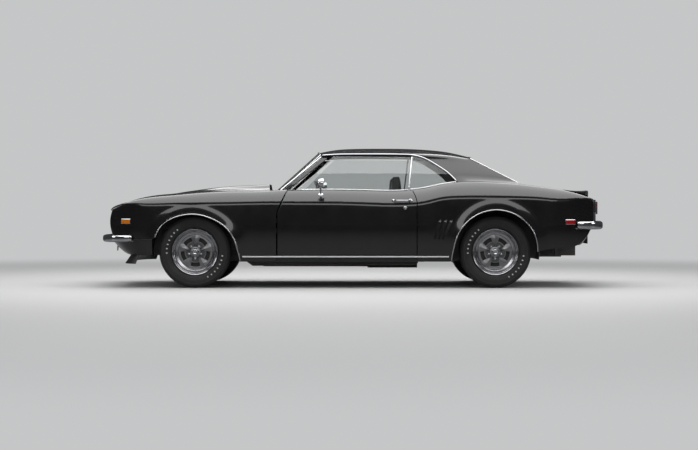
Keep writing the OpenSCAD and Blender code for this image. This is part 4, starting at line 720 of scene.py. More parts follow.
def side_column(low_z, x_at, with_seam):
    """One section of the side, from its lower edge to the crest or on to the seam."""
    xt = x_at(crest_z(x_at(COWL_Z)))
    zt = crest_z(xt)
    z = np.linspace(low_z, zt, SECTION_POINTS)
    x = x_at(z)
    p = points(x, side_y(x, z), z)
    if with_seam:
        u = np.linspace(0, 1, 24)[1:, None]
        end = np.array([xt, float(seam_y(xt)), zt + SEAM_RISE])
        p = np.concatenate([p, p[-1] + (end - p[-1]) * u])
    s, t, q = eased(p)
    s_crease, s_crest = s[np.searchsorted(z, crease_z(xt))], s[SECTION_POINTS - 1]
    d = min(0.024, 0.4 * (s_crest - s_crease))
    e = min(0.03, 0.4 * max(s[-1] - s_crest, 0.001))
    stops = [np.linspace(0, s_crease - d, 16), np.linspace(s_crease - d, s_crease + d, 8)[1:],
             np.linspace(s_crease + d, s_crest - d, 7)[1:], np.linspace(s_crest - d, s_crest + e, 9)[1:]]
    if with_seam:
        stops.append(np.linspace(s_crest + e, s[-1], 5)[1:])
    at = np.concatenate(stops)
    return np.stack([np.interp(at, t, q[:, k]) for k in range(3)], -1)


def nose_out(z):
    return HALF_L * 0.0158 * np.sin(np.radians(153 * np.clip((z - VALANCE_Z) / (BODY_H * 0.21), 0, 1)))


def wing_grid():
    front, back = HALF_L * 0.932, DOOR_FRONT_X
    low = [(x, VALANCE_Z) for x in np.linspace(front, FRONT_X + ARCH_R * 0.955, 13)[:-1]]
    low += [tuple(p) for p in arch_at(FRONT_X, FRONT_ARCH, np.linspace(20, 192, 54))]
    low += [(x, SILL_Z) for x in np.linspace(FRONT_X - ARCH_R * 1.08, back, 14)[1:]]

    def column(lx, lz):
        s = np.clip((front - lx) / (front - back), 0, 1)
        return side_column(lz, lambda z: lx + s * (cut_front(z) - back) + (1 - s) * nose_out(z), True)
    return np.array([column(*p) for p in low])


def quarter_grid():
    tail = HALF_L * 0.939
    low = [(x, SILL_Z) for x in np.linspace(DOOR_REAR_X, REAR_X + ARCH_R * 1.06, 14)[:-1]]
    low += [tuple(p) for p in arch_at(REAR_X, REAR_ARCH, np.linspace(-12, 180, 58))]
    low += [(-HALF_L * s, float(BODY_H * UNDER(-s))) for s in np.linspace(0.735, 0.939, 18)]

    def column(lx, lz):
        s = np.clip((DOOR_REAR_X - lx) / (tail + DOOR_REAR_X), 0, 1)
        return side_column(lz, lambda z: lx + (1 - s) * (cut_rear(z) - DOOR_REAR_X), True)
    return np.array([column(*p) for p in low])


def door_grid():
    low_z = SILL_TOP_Z + LID_GAP

    def column(u):
        return side_column(low_z, lambda z: (cut_front(z) - DOOR_GAP) * (1 - u) + (cut_rear(z) + LID_GAP) * u, False)
    return np.array([column(u) for u in np.linspace(0, 1, 40)])


WING, QUARTER, DOOR = wing_grid(), quarter_grid(), door_grid()
print("side grids:", WING.shape, QUARTER.shape, DOOR.shape)

# %% [markdown]
# On the car these grids are pressed sheets with folded edges. A thickness modifier could close them,
# but its edges would be square and would not catch the light. So each grid gets an inner side of its
# own and rolled rims, and a door is pushed inwards by its full depth. The right side is mirrored.

# %% Wings, quarters and doors
SIDE_RIMS = (HEM_R, HEM_R, ARCH_HEM_R, HEM_R)
inward = points(np.linspace(0, DOOR_GAP, len(DOOR)), -DOOR_T, 0.0)
for panel, solid in {"wing": shell(WING, SKIN_T, SIDE_RIMS), "quarter": shell(QUARTER, SKIN_T, SIDE_RIMS),
                     "door": shell(DOOR, DOOR_T, (HEM_R, HEM_R, HEM_R, BELT_R), push=inward[:, None])}.items():
    for side, half in both(solid).items():
        body = f"door_{side}" if panel == "door" else "body"
        add(f"{panel}_{side}_skin", half, PAINT, body, [f"{panel}_{side}"])
print("side panels made")

# %% [markdown]
# Bonnet, nose, deck and boot lid are grids over the plan of the car, crowned in the middle. The bonnet
# carries a broad raised scoop that opens towards the windscreen. Its flanks are a smooth step, which
# keeps their reflections soft.

# %% Bonnet, nose, deck and boot lid
BONNET_CROWN, SCOOP_H, SCOOP_HALF_W, SCOOP_FLANK = 0.026, 0.044, 0.2, 0.08
SCOOP_FRONT_X, SCOOP_REAR_X = 1.74, 0.8
BONNET_FRONT_X, BONNET_REAR_X, BONNET_BOW, BONNET_REAR_BOW = 2.062, 0.715, 0.09, 0.078
DECK_CROWN, BOOT_FRONT_X, BOOT_REAR_X = 0.018, -1.69, -2.15
NOSE_X, NOSE_SWEEP, TAIL_BOW = 2.3, 0.082, 0.104
SCREEN_BASE_X, SCREEN_TOP_X, SCREEN_BOW, SCREEN_BASE_Z = 0.64, 0.29, 0.08, 0.893
REAR_BASE_X, REAR_TOP_X = -1.548, -1.091
TAIL_X = -HALF_L * 0.939


def crown(x, y):
    """One in the middle of the car, and nothing at the seam with the wings."""
    return 1 - (y / seam_y(x))**2


def bonnet_front(y):
    return BONNET_FRONT_X + BONNET_BOW * crown(BONNET_FRONT_X, y)


def bonnet_rear(y):
    return BONNET_REAR_X + BONNET_REAR_BOW * crown(BONNET_REAR_X, y)


def bonnet_z(x, y):
    u = np.clip((SCOOP_FRONT_X - x) / (SCOOP_FRONT_X - SCOOP_REAR_X), 0, 1)
    scoop = SCOOP_H * u**0.9 * smooth_step(u * 6) * (1 - smooth_step((np.abs(y) - SCOOP_HALF_W) / SCOOP_FLANK))
    return crest_z(x) + SEAM_RISE + BONNET_CROWN * crown(x, y) + scoop


def deck_z(x, y):
    share = np.clip((BOOT_FRONT_X - x) / (BOOT_FRONT_X - BOOT_REAR_X), 0, 1)
    return crest_z(x) + SEAM_RISE + DECK_CROWN * crown(x, y) * share


def nose_front(y):
    return NOSE_X - NOSE_SWEEP * (y / seam_y(BONNET_FRONT_X))**2


def tail_rear(y):
    return TAIL_X + SKIN_T * 0.26 - TAIL_BOW * (1 - (y / waist_y(TAIL_X))**2)


def plan_grid(us, vs, place):
    """A grid whose points are x, y and z = place(u, v)."""
    return points(*place(*np.meshgrid(us, vs, indexing="ij")))


def bonnet_place(u, v):
    edge = 1 - LID_GAP / seam_y(BONNET_REAR_X)
    y0 = v * edge * seam_y(BONNET_FRONT_X)
    x = bonnet_front(y0) * (1 - u) + bonnet_rear(y0) * u
    y = v * edge * seam_y(x)
    return x, y, bonnet_z(x, y)


def nose_place(u, v):
    y = v * (seam_y(HALF_L * 0.941) - 0.0006)
    low_z, top_z = BODY_H * 0.545, bonnet_z(bonnet_front(y), y)
    x = nose_front(y) * (1 - u**1.5) + (bonnet_front(y) + LID_GAP) * u**1.5
    return x, y, low_z + (top_z - low_z) * u**0.7


def deck_place(u, v):
    x = (REAR_BASE_X - 0.0009 - SCREEN_BOW * 0.6 * (1 - v * v)) * (1 - u) + (BOOT_FRONT_X + DOOR_GAP) * u
    y = v * (seam_y(x) - 0.001)
    return x, y, deck_z(x, y)


def boot_place(u, v):
    x = BOOT_FRONT_X * (1 - u) + (BOOT_REAR_X - TAIL_BOW * 0.9 * (1 - v * v)) * u
    y = v * (seam_y(x) - LID_GAP)
    return x, y, deck_z(x, y)


def tail_place(u, v):
    z = BODY_H * 0.47 * (1 - u) + (crest_z(TAIL_X) - LID_GAP) * u
    y = -v * (side_y(TAIL_X, z) - SKIN_T * 1.12)
    return tail_rear(y), y, z


SKINS = {"bonnet": (np.r_[np.linspace(0, 0.5, 34), np.linspace(0.5, 1, 20)[1:]], bonnet_place, "bonnet", "bonnet"),
         "nose": (np.linspace(0, 1, 16)**1.3, nose_place, "body", "nose_panel"),
         "deck": (np.linspace(0, 1, 14), deck_place, "body", "deck_panel"),
         "boot": (np.linspace(0, 1, 34), boot_place, "boot_lid", "boot_lid"),
         "tail": (np.linspace(0, 1, 12), tail_place, "body", "tail_panel")}
for name, (us, place, body, solid) in SKINS.items():
    grid = plan_grid(us, np.linspace(1, -1, 61), place)
    add(f"{name}_skin", shell(grid, SKIN_T, (HEM_R,) * 4), PAINT, body, [solid])
print("lids and ends made")

# %% [markdown]
# The boot spoiler is a low ducktail: it leaves the deck in a hollow curve and ends in a lip. Its
# section is drawn once and stretched along the width.

# %% Boot spoiler
SPOILER_H, SPOILER_L, SPOILER_RIMS = 0.062, 0.2, (0.004, 0.004, 0.001, 0.006)


def spoiler_solid():
    v = np.linspace(-1, 1, 49)[:, None]
    y = v * (seam_y(BOOT_REAR_X) - LID_GAP * 2)
    x_back = BOOT_REAR_X - TAIL_BOW * 0.9 * (1 - v * v) + LID_GAP
    us = np.linspace(0, 1, 18)
    x = x_back + SPOILER_L * (1 - us) - LID_GAP * us
    base = deck_z(x, y) + 0.0035
    ends = 1 - 0.25 * np.abs(v)**6
    rise = 0.003 + SPOILER_H * (0.75 * us**1.9 + 0.25 * us) * ends
    top = points(x, y, base + rise)
    n = normals(top)
    return closed(rolled(top, n, SPOILER_RIMS, 1), rolled(points(x, y, base), n, SPOILER_RIMS, 0))


add("boot_spoiler_skin", spoiler_solid(), PAINT, "boot_lid", ["boot_spoiler"])
print("spoiler made")

# %% [markdown]
# On a hardtop the roof flows down into the sail panels without a seam. So roof and sails are one skin
# here: the roof's grid and a patch for each side share their points along the rail, and a smoothing
# pass rounds that line. Ahead of the sails the rail stays crisp, because the drip rail sits there.

# %% Roof and sail panels
RAIL_REACH, RAIL_EASE, ROOF_T = 0.09, 0.16, 0.012


def roof_stations():
    start = HALF_L * SAIL_X(1.0)
    ahead = np.linspace(SCREEN_TOP_X, start, 26)
    return np.r_[ahead, np.linspace(start, REAR_TOP_X, 19)[1:]], len(ahead) - 1


def roof_grid(xs):
    x, v = np.meshgrid(xs, np.linspace(1, -1, 49), indexing="ij")
    bow = np.where(x > 0, SCREEN_BOW * 0.35 * np.clip(x / SCREEN_TOP_X, 0, 1)**2,
                   -LID_GAP * 3 * np.clip(x / REAR_TOP_X, 0, 1)**4)
    x = x + bow * (1 - v * v)
    y = v * rail_y(x)
    return points(x, y, roof_z(x, y))


def sail_grid(rail):
    """A patch between the side window, the rail, the rear window and the belt, for the left side."""
    u, t = np.linspace(0, 1, len(rail))[:, None], np.linspace(0, 1, 26)[None, :]
    front = np.stack([HALF_L * SAIL_X(t[0]), BODY_H * SAIL_Z(t[0])], -1)
    top = rail[:, [0, 2]]
    front = front + (top[0] - front[-1]) * (t[0]**3)[:, None]
    low_x = mix(front[0, 0], REAR_BASE_X, u[:, 0])
    low = np.stack([low_x, crest_z(low_x) + SEAM_RISE], -1)
    front = front + (low[0] - front[0]) * ((1 - t[0])**3)[:, None]
    back = mix(low[-1], top[-1], t[0][:, None])
    flat = (mix(low[:, None], top[:, None], t[..., None]) + mix(front[None], back[None], u[..., None])
            - mix(mix(low[0], top[0], t[..., None]), mix(low[-1], top[-1], t[..., None]), u[..., None]))
    x, z = flat[..., 0], flat[..., 1]
    y = mix(glass_y(x, z) + GLASS_T, rail[:, 1][:, None], t**4)
    y = y + 0.03 * np.clip(1 - t / 0.16, 0, 1)**2 * np.clip(u * 6, 0, 1)
    return points(x, y, z)


def roof_and_sails():
    xs, start = roof_stations()
    top = roof_grid(xs)
    left = sail_grid(top[start:, 0])[:, :-1]
    (n, m), (k, r) = top.shape[:2], left.shape[:2]
    verts = np.concatenate([g.reshape(-1, 3) for g in (top, left, left * [1, -1, 1])])
    faces = [f for g in (grid_faces(n, m), grid_faces(k, r, n * m), grid_faces(k, r, n * m + k * r, True))
             for f in g.tolist()]
    for i in range(k - 1):
        a, p = n * m + i * r + r - 1, (start + i) * m
        faces.append([a, a + r, p + m, p])
        a, p = a + k * r, p + m - 1
        faces.append([p, p + m, a + r, a])
    return (verts, faces), xs[start]


def round_the_rail(piece, start_x):
    """Lets a smoothing pass round the line where roof and sail panel meet."""
    group = piece.vertex_groups.new(name="rail")
    for vert in piece.data.vertices:
        x, y, z = vert.co
        d = math.hypot(abs(y) - float(rail_y(x)), z - float(rail_z(x)))
        ahead = np.clip((start_x - x) / RAIL_EASE, 0, 1)
        w = max(0.0, 1 - d / RAIL_REACH) * float(ahead) * float(np.clip((x - REAR_TOP_X) / 0.03, 0, 1))
        if w > 0:
            group.add([vert.index], w, "REPLACE")
    soften = piece.modifiers.new("soften", "SMOOTH")
    soften.vertex_group, soften.factor, soften.iterations = "rail", 0.5, 24
    thick = piece.modifiers.new("thickness", "SOLIDIFY")
    thick.thickness, thick.offset = ROOF_T, -1


def apply_modifiers(piece):
    """Replaces the mesh with what its modifiers make of it."""
    graph = bpy.context.evaluated_depsgraph_get()
    made = bpy.data.meshes.new_from_object(piece.evaluated_get(graph))
    piece.modifiers.clear()
    old, piece.data = piece.data, made
    bpy.data.meshes.remove(old)


roof_solid, sail_start_x = roof_and_sails()
roof_skin = add("roof_and_sails", roof_solid, PAINT, "body", ["roof", "sail_panels"], outward=False)
round_the_rail(roof_skin, sail_start_x)
apply_modifiers(roof_skin)
sharp_by_angle(roof_skin, 50)
print("roof:", len(roof_skin.data.polygons), "faces")

# %% [markdown]
# A wheel is turned and cast: a stepped, polished rim, and a grey centre with five ridged spokes. The
# centre could be cut out of a disc with booleans. Here hub, ring and spokes are separate sound
# solids instead, and the windows are what they leave open, so their edges stay clean.

# %% Wheel centres and rims
RIM_SECTION = [
    (0.150, 0.026), (0.1525, 0.0215), (0.1575, 0.0215), (0.160, 0.033), (0.1715, 0.037), (0.174, 0.0465),
    (0.1835, 0.050), (0.187, 0.0615), (0.1955, 0.068), (0.1985, 0.083), (0.2035, 0.0915), (0.208, 0.0935),
    (0.211, 0.0915), (0.210, 0.083), (0.1965, 0.0765), (0.1945, 0.066), (0.180, 0.050), (0.174, 0.020),
    (0.174, -0.020), (0.1945, -0.062), (0.1965, -0.0765), (0.210, -0.082), (0.210, -0.092), (0.204, -0.093),
    (0.189, -0.078), (0.166, -0.022), (0.152, 0.010)]
FACE_Z, BACK_Z = 0.034, 0.016
SPOKES, NUT_CIRCLE = 5, 0.06


def on_wheel(x, side):
    """Turns a part drawn with Z pointing outwards on to a hub."""
    return moved((x, side * HUB_Y, HUB_Z), -QUARTER_TURN * side, "X")


def spoke(turn):
    r = np.linspace(0.045, 0.156, 15)[:, None]
    window = 0.036 + 0.007 * (r - 0.1) / 0.037
    half = math.pi / SPOKES - np.arcsin(window / r)
    t = np.array([-1, -0.93, -0.7, -0.4, -0.16, -0.06, 0, 0.06, 0.16, 0.4, 0.7, 0.93, 1])[None, :]
    ridge = 0.0095 * np.clip(1 - np.abs(t) * 1.15, 0, 1)**1.15 * np.clip((0.162 - r) / 0.03, 0, 1)
    edge = 0.0035 * np.clip((np.abs(t) - 0.85) / 0.15, 0, 1)**2
    z = FACE_Z - 0.003 * np.abs(t) - edge + ridge - 0.004 * (np.clip(r - 0.066, 0, 1) / 0.09)**2
    a = turn + half * t
    x, y = r * np.cos(a), r * np.sin(a)
    return closed(points(x, y, z), points(x, y, BACK_Z))


def wheel_centre():
    hub = disc([(0, BACK_Z), (0.098, BACK_Z), (0.1, 0.019), (0.1, 0.0285), (0.0985, 0.031), (0.0945, 0.0312),
                (0.091, 0.0235), (0.05, 0.0235), (0.046, 0.036), (0.036, 0.0395), (0, 0.0395)], 80)
    ring = lathe([(0.1365, BACK_Z), (0.1535, BACK_Z), (0.1535, 0.027), (0.151, 0.0295), (0.1395, 0.0305),
                  (0.1365, 0.028)], 96)
    return joined([hub, ring] + [spoke(math.radians(270 + 72 * k)) for k in range(SPOKES)])


def wheel_nuts():
    nut = disc([(0, 0.023), (0.0145, 0.023), (0.0145, 0.034), (0.0118, 0.0365), (0.0115, 0.050), (0.0085, 0.0555),
                (0.004, 0.0575), (0, 0.0578)], 6)
    cap = disc([(0, 0.036), (0.0345, 0.036), (0.0345, 0.044), (0.032, 0.049), (0.0305, 0.0495), (0.0295, 0.052),
                (0.027, 0.063), (0.0235, 0.067), (0.019, 0.0685), (0.016, 0.067), (0, 0.067)], 40)
    turns = [math.radians(90 + 72 * k) for k in range(SPOKES)]
    return joined([put(nut, (NUT_CIRCLE * math.cos(a), NUT_CIRCLE * math.sin(a), 0)) for a in turns] + [cap])


CENTRE, NUT_SET, RIM = wheel_centre(), wheel_nuts(), lathe(RIM_SECTION, 112)
POCKET = lathe([(0.0485, 0.0225), (0.092, 0.0225), (0.0915, 0.0242), (0.0495, 0.0242)], 80)
DRUM = disc([(0, -0.058), (0.135, -0.058), (0.142, -0.053), (0.142, -0.012), (0.136, -0.006), (0.09, -0.004),
             (0.085, 0.015), (0, 0.017)], 64)
WHEELS = {f"{end}_{side}": on_wheel(x, sign) for end, x in (("front", FRONT_X), ("rear", REAR_X))
          for side, sign in SIDES.items()}
for name, at in WHEELS.items():
    body = f"wheel_{name}"
    add(f"rim_{name}", placed(RIM, at), LIP, body, [body], crease=40)
    add(f"spokes_{name}", placed(CENTRE, at), ALLOY, body, crease=38)
    add(f"pockets_{name}", placed(POCKET, at), CAST, body, smooth=False)
    add(f"nuts_{name}", placed(NUT_SET, at), CHROME, body, crease=38)
    add(f"drum_{name}", placed(DRUM, at), STEEL, body, crease=38)
print("wheels:", list(WHEELS))

# %% [markdown]
# A tyre is one turned grid too. Its tread is pressed into the grid as depth: four grooves run round
# it, and slanted cuts break the ribs into blocks. Short white bars stand where the photo has white
# letters, and they say nothing.

# %% Tyres
TYRE_R, TREAD_HALF, TREAD_DEPTH = 0.328, 0.078, 0.0075
PITCHES, PITCH_STEPS = 72, 6
GROOVES = [-0.051, -0.018, 0.018, 0.051]
WALL = [(0.2065, 0.0748), (0.2112, 0.0792), (0.2135, 0.0835), (0.217, 0.089), (0.2225, 0.0968), (0.2285, 0.1015),
        (0.2300, 0.1035), (0.2335, 0.1046), (0.2362, 0.1040), (0.2440, 0.1082), (0.2560, 0.1106), (0.2690, 0.1110),
        (0.2800, 0.1100), (0.2900, 0.1078), (0.2925, 0.1090), (0.2985, 0.1074), (0.3010, 0.1048), (0.3070, 0.1018),
        (0.3135, 0.0968), (0.3185, 0.0918), (0.3222, 0.0862), (0.3246, 0.0808)]
BAR_ARCS = ((118, 172, 7), (-52, 2, 7))


def tyre_solid():
    across = sorted([v + d for v in GROOVES for d in (-0.0055, -0.0042, 0.0042, 0.0055)]
                    + [-0.075, -0.068, -0.06, -0.042, -0.034, -0.027, -0.009, 0, 0.009, 0.027, 0.034, 0.042,
                       0.06, 0.068, 0.075])
    tread = [(TYRE_R - 0.0026 * (abs(v) / TREAD_HALF)**3, v) for v in across]
    p = np.array(WALL + tread[::-1] + [(r, -z) for r, z in WALL[::-1]] + [(0.204, -0.072), (0.204, 0.072)])
    steps = PITCHES * PITCH_STEPS
    verts, faces = lathe(p, steps)
    g = verts.reshape(steps, len(p), 3)
    a = np.arange(steps) / PITCH_STEPS
    z = p[:, 1][None, :]
    on_tread = (np.abs(z) < 0.0765) & (p[:, 0][None, :] > 0.32)
    ring = np.min([np.abs(z - v) for v in GROOVES], axis=0) < 0.0045
    phase = (a[:, None] + z * 14 + np.where(z > 0, 0.5, 0.0)) % 1.0
    cut = (phase < 0.17) & (np.abs(z) > 0.019)
    depth = TREAD_DEPTH * np.where(ring, 1.0, np.where(cut, 0.75, 0.0)) * on_tread
    r = np.linalg.norm(g[..., :2], axis=-1)
    g[..., :2] *= ((r - depth) / r)[..., None]
    return g.reshape(-1, 3), faces


def white_bars():
    bar = box_solid((-0.0075, -0.0045, 0), (0.0075, 0.0045, 0.0026), 0.0012)
    return joined([placed(bar, Matrix.Rotation(a, 4, "Z") @ moved((0.2555, 0, 0.1092), math.radians(8), "Y"))
                   for start, stop, count in BAR_ARCS for a in np.radians(np.linspace(start, stop, count))])


TYRE_SHAPE, BARS = tyre_solid(), white_bars()
for name, at in WHEELS.items():
    add(f"tyre_{name}_tread", placed(TYRE_SHAPE, at), TYRE, f"wheel_{name}", [f"tyre_{name}"], crease=45)
    add(f"bars_{name}", placed(BARS, at), TYRE_WHITE, f"wheel_{name}", smooth=False)
print("tyre faces:", len(TYRE_SHAPE[1]))

# %% [markdown]
# The glass comes next. Both screens are ruled between a bowed foot and a bowed top, and the side
# windows are patches of one leaning surface, cut by edges drawn in the side view. They are real sheets
# with an inside, because light bends twice on its way through.

# %% Screens and side windows
PILLAR_W, PILLAR_D, PILLAR_R = 0.07, 0.03, 0.008
SCREEN_FOOT_X = SCREEN_BASE_X + (SCREEN_BASE_Z - COWL_Z) * 1.067
SCREEN_LAP = GLASS_T * 1.7
GLASS_RIMS = (0.0012,) * 4
STRIP_LOW = np.array([-HALF_L * 0.221, BODY_H * 0.7])
STRIP_TOP = np.array([-HALF_L * 0.235, BODY_H * 0.925])


def ruled(low, top, us, vs):
    """A grid between two bowed lines, each a function of v from -1 to 1."""
    a, b = np.array([low(v) for v in vs]), np.array([top(v) for v in vs])
    return np.array([mix(a, b, u) for u in us])


def screen_low(v, out=0.0):
    return np.array([SCREEN_FOOT_X + SCREEN_LAP + SCREEN_BOW * (1 - v * v) + out,
                     v * (glass_y(SCREEN_BASE_X, SCREEN_BASE_Z) - PILLAR_D * 0.3), COWL_Z + GLASS_T * 0.8 + out])


def screen_top(v, out=0.0):
    y = v * (rail_y(SCREEN_TOP_X) - PILLAR_D * 0.6)
    return np.array([SCREEN_TOP_X + SCREEN_LAP + SCREEN_BOW * 0.35 * (1 - v * v) + out, y,
                     roof_z(SCREEN_TOP_X, y) - SKIN_T + out])


def rear_low(v, out=0.0):
    x = REAR_BASE_X - SCREEN_BOW * 0.6 * (1 - v * v)
    y = v * (glass_y(REAR_BASE_X, crest_z(REAR_BASE_X)) + GLASS_T - SKIN_T * 3.1)
    return np.array([x - out, y, deck_z(x, y) + 0.0003 + out])


def rear_top(v, out=0.0):
    x = REAR_TOP_X - LID_GAP * 3 * (1 - v * v)
    y = v * (glass_y(REAR_TOP_X, rail_z(REAR_TOP_X)) + GLASS_T - SKIN_T * 3.1)
    return np.array([x - GLASS_T * 0.8 - out, y, roof_z(x, y) - 0.001 + out])


def side_patch(front, rear, cols, lift):
    u = np.linspace(0, 1, cols)[:, None, None]
    t = np.linspace(0, 1, len(front))[None, :]
    flat = mix(front[None], rear[None], u)
    low = mix(front[0], rear[0], u[:, 0])
    x, z = flat[..., 0], flat[..., 1] + (crest_z(low[:, :1]) + lift - low[:, 1:]) * (1 - t)
    return points(x, glass_y(x, z), z)


SCREEN = ruled(screen_low, screen_top, np.linspace(0, 1, 12), np.linspace(1, -1, 41))
BACKLIGHT = ruled(rear_low, rear_top, np.linspace(0, 1, 12), np.linspace(-1, 1, 41))
rise = np.linspace(0, 1, 16)[:, None]
POST_LINE = mix(np.array([HALF_L * 0.212, BODY_H * 0.7]), np.array([HALF_L * 0.076, BODY_H * 0.93]), rise)
STRIP_LINE = mix(STRIP_LOW, STRIP_TOP, rise)
sail_t = mix(0.02, 0.86, rise[:, 0])
SAIL_LINE = np.stack([HALF_L * SAIL_X(sail_t), BODY_H * SAIL_Z(sail_t)], -1) + [0.0014, 0]
DOOR_PANE = side_patch(POST_LINE, STRIP_LINE + [LID_GAP, 0], 16, 0.001)
QUARTER_PANE = side_patch(STRIP_LINE, SAIL_LINE, 12, SEAM_RISE + 0.001)
for name, grid in (("windscreen", SCREEN), ("rear_window", BACKLIGHT)):
    add(f"{name}_pane", shell(grid, GLASS_T, GLASS_RIMS), GLASS, "body", [name])
for side, pane in both(shell(DOOR_PANE, GLASS_T, GLASS_RIMS, push=(0, -GLASS_T, 0))).items():
    add(f"door_pane_{side}", pane, GLASS, f"door_{side}", [f"door_glass_{side}"])
pane = shell(QUARTER_PANE, GLASS_T, GLASS_RIMS, push=(0, -GLASS_T, 0))
add("quarter_panes", mirror_pair(pane), GLASS, "body", ["quarter_glass"])
print("panes made")

# %% [markdown]
# Pillars and seals frame the glass. Bright mouldings cover each joint, as they do on the real car:
# along the drip rail and down the sail, round both screens, along the belt, and as a thin strip
# between the two side windows. Each one is a half-round section carried along a line.

# %% Pillars, seals and window mouldings
def pillar():
    c, corners = PILLAR_R, []
    for x_back, x_front, y, z in (
            (SCREEN_FOOT_X - 0.0392, SCREEN_FOOT_X, glass_y(SCREEN_BASE_X, SCREEN_BASE_Z), COWL_Z + 0.0003),
            (SCREEN_TOP_X - PILLAR_W, SCREEN_TOP_X, rail_y(SCREEN_TOP_X) - 0.011, rail_z(SCREEN_TOP_X) - 0.0214)):
        corners += [(x_back + c, y - PILLAR_D, z), (x_front - c, y - PILLAR_D, z), (x_back, y - PILLAR_D + c, z),
                    (x_front, y - PILLAR_D + c, z), (x_back, y - c, z), (x_front, y - c, z), (x_back + c, y, z),
                    (x_front - c, y, z)]
    return hulled(corners)


def drip_path():
    xs = np.linspace(SCREEN_TOP_X - 0.01, HALF_L * SAIL_X(1.0), 40)
    rail = points(xs, rail_y(xs) + 0.002, rail_z(xs) - 0.004)
    t = np.linspace(1, 0.02, 30)[1:]
    x, z = HALF_L * SAIL_X(t), BODY_H * SAIL_Z(t)
    sail = points(x, glass_y(x, z) + GLASS_T + 0.0005, z)
    return relaxed(line(np.concatenate([rail, sail]), 90), 6)


def screen_frame(low, top, out):
    vs, ts = np.linspace(-1, 1, 41), np.linspace(0, 1, 14)[1:-1]
    return np.array([low(v, out) for v in vs] + [mix(low(1, out), top(1, out), t) for t in ts]
                    + [top(v, out) for v in vs[::-1]] + [mix(top(-1, out), low(-1, out), t) for t in ts])


def belt_strip(pane, count, rear_lap, lift):
    """A strip along the foot of a side window."""
    xs = np.linspace(float(pane[0, 0, 0]) - 0.004, float(pane[-1, 0, 0]) + rear_lap, count)
    path = points(xs, glass_y(xs, crest_z(xs)) + 0.0085, crest_z(xs) + lift + 0.001)
    return sweep(path, (0, 0.3, 1.0), moulding_section(0.013, 0.005))


add("screen_pillar_pair", mirror_pair(pillar()), PAINT, "body", ["screen_pillars"], crease=30)
drip = sweep(drip_path(), (0.1, 1.0, 0.35), moulding_section(0.013, 0.006))
add("drip_mouldings", mirror_pair(drip), CHROME)
a_post = line([[SCREEN_FOOT_X - 0.006, glass_y(SCREEN_BASE_X, SCREEN_BASE_Z) + 0.001, COWL_Z + 0.028],
               [SCREEN_TOP_X - 0.004, rail_y(SCREEN_TOP_X) - 0.009, rail_z(SCREEN_TOP_X) - 0.012]], 20)
add("screen_post_mouldings", mirror_pair(sweep(a_post, (0.4, 1.0, 0.3), moulding_section(0.014, 0.005))), CHROME)
for name, low, top, facing in (("windscreen", screen_low, screen_top, (0.7, 0, 0.7)),
                               ("rear_window", rear_low, rear_top, (-0.5, 0, 0.85))):
    rim = loop_sweep(screen_frame(low, top, 0.0015), facing, moulding_section(0.016, 0.0045))
    add(f"{name}_moulding", rim, BRIGHT)
strip = np.stack([mix(STRIP_LOW, STRIP_TOP, t) for t in np.linspace(-0.01, 1.03, 20)])
strip = points(strip[:, 0] + 0.001, glass_y(strip[:, 0], strip[:, 1]) + 0.001, strip[:, 1])
add("division_strips", mirror_pair(sweep(strip, (0, 1.0, 0.4), moulding_section(0.012, 0.006))), CHROME)
for side, solid in both(belt_strip(DOOR_PANE, 30, 0.004, 0)).items():
    add(f"belt_moulding_{side}", solid, BRIGHT, f"door_{side}")
add("quarter_belt_mouldings", mirror_pair(belt_strip(QUARTER_PANE, 20, 0.002, SEAM_RISE)), BRIGHT)
print("window mouldings made")

# %% [markdown]
# Wipers lie parked on the foot of the windscreen. A plain cowl strip closes the step between the
# bonnet's rear edge and the glass.

# %% Cowl and wipers
def cowl_strip():
    vs = np.linspace(1, -1, 61)
    y = vs * 0.655
    back = np.array([screen_low(v)[0] + 0.006 for v in vs])
    front = bonnet_rear(y) - 0.006
    g = np.stack([points(mix(back, front, u), y, COWL_Z + 0.004) for u in (1, 0.66, 0.33, 0)])
    return shell(g, 0.004, (0.001,) * 4)


def wiper(start, stop):
    def on_screen(v, up, out):
        return mix(screen_low(v, out), screen_top(v, out), up)
    blade = [on_screen(v, 0.055 + 0.02 * (v - start), 0.008) for v in np.linspace(start, stop, 24)]
    arm = [on_screen(v, u, 0.017) for v, u in zip(np.linspace(start - 0.06, (start + stop) / 2, 16),
                                                  np.linspace(0.01, 0.06, 16))]
    pivot = put(disc([(0, 0), (0.014, 0), (0.014, 0.012), (0.009, 0.02), (0, 0.021)], 16),
                Vector(arm[0]) - Vector((0.006, 0, 0.012)), math.radians(30), "Y")
    facing = (0.7, 0, 0.7)
    return joined([sweep(blade, facing, moulding_section(0.007, 0.006)),
                   sweep(arm, facing, moulding_section(0.008, 0.004)), pivot])


add("cowl_strip", cowl_strip(), PLASTIC)
add("wipers", joined([wiper(-0.62, 0.02), wiper(0.12, 0.76)]), BRIGHT)
print("cowl made")

# %% [markdown]
# The ends of the car wrap round in plan. One rounded bow, a superellipse, gives the plan of the
# bumpers, of both valances and of the chin spoiler, so that they follow each other closely.

# %% Bumpers and valances
BOW_POWER, BUMPER_T = 3.2, 0.024
VALANCE_X, VALANCE_LOW_Z = FRONT_X + ARCH_R * 1.005, 0.297


def bow(reach, wide, turn):
    c, s = np.abs(np.cos(turn)), np.sin(turn)
    return reach * c**(2 / BOW_POWER), wide * np.sign(s) * np.abs(s)**(2 / BOW_POWER)


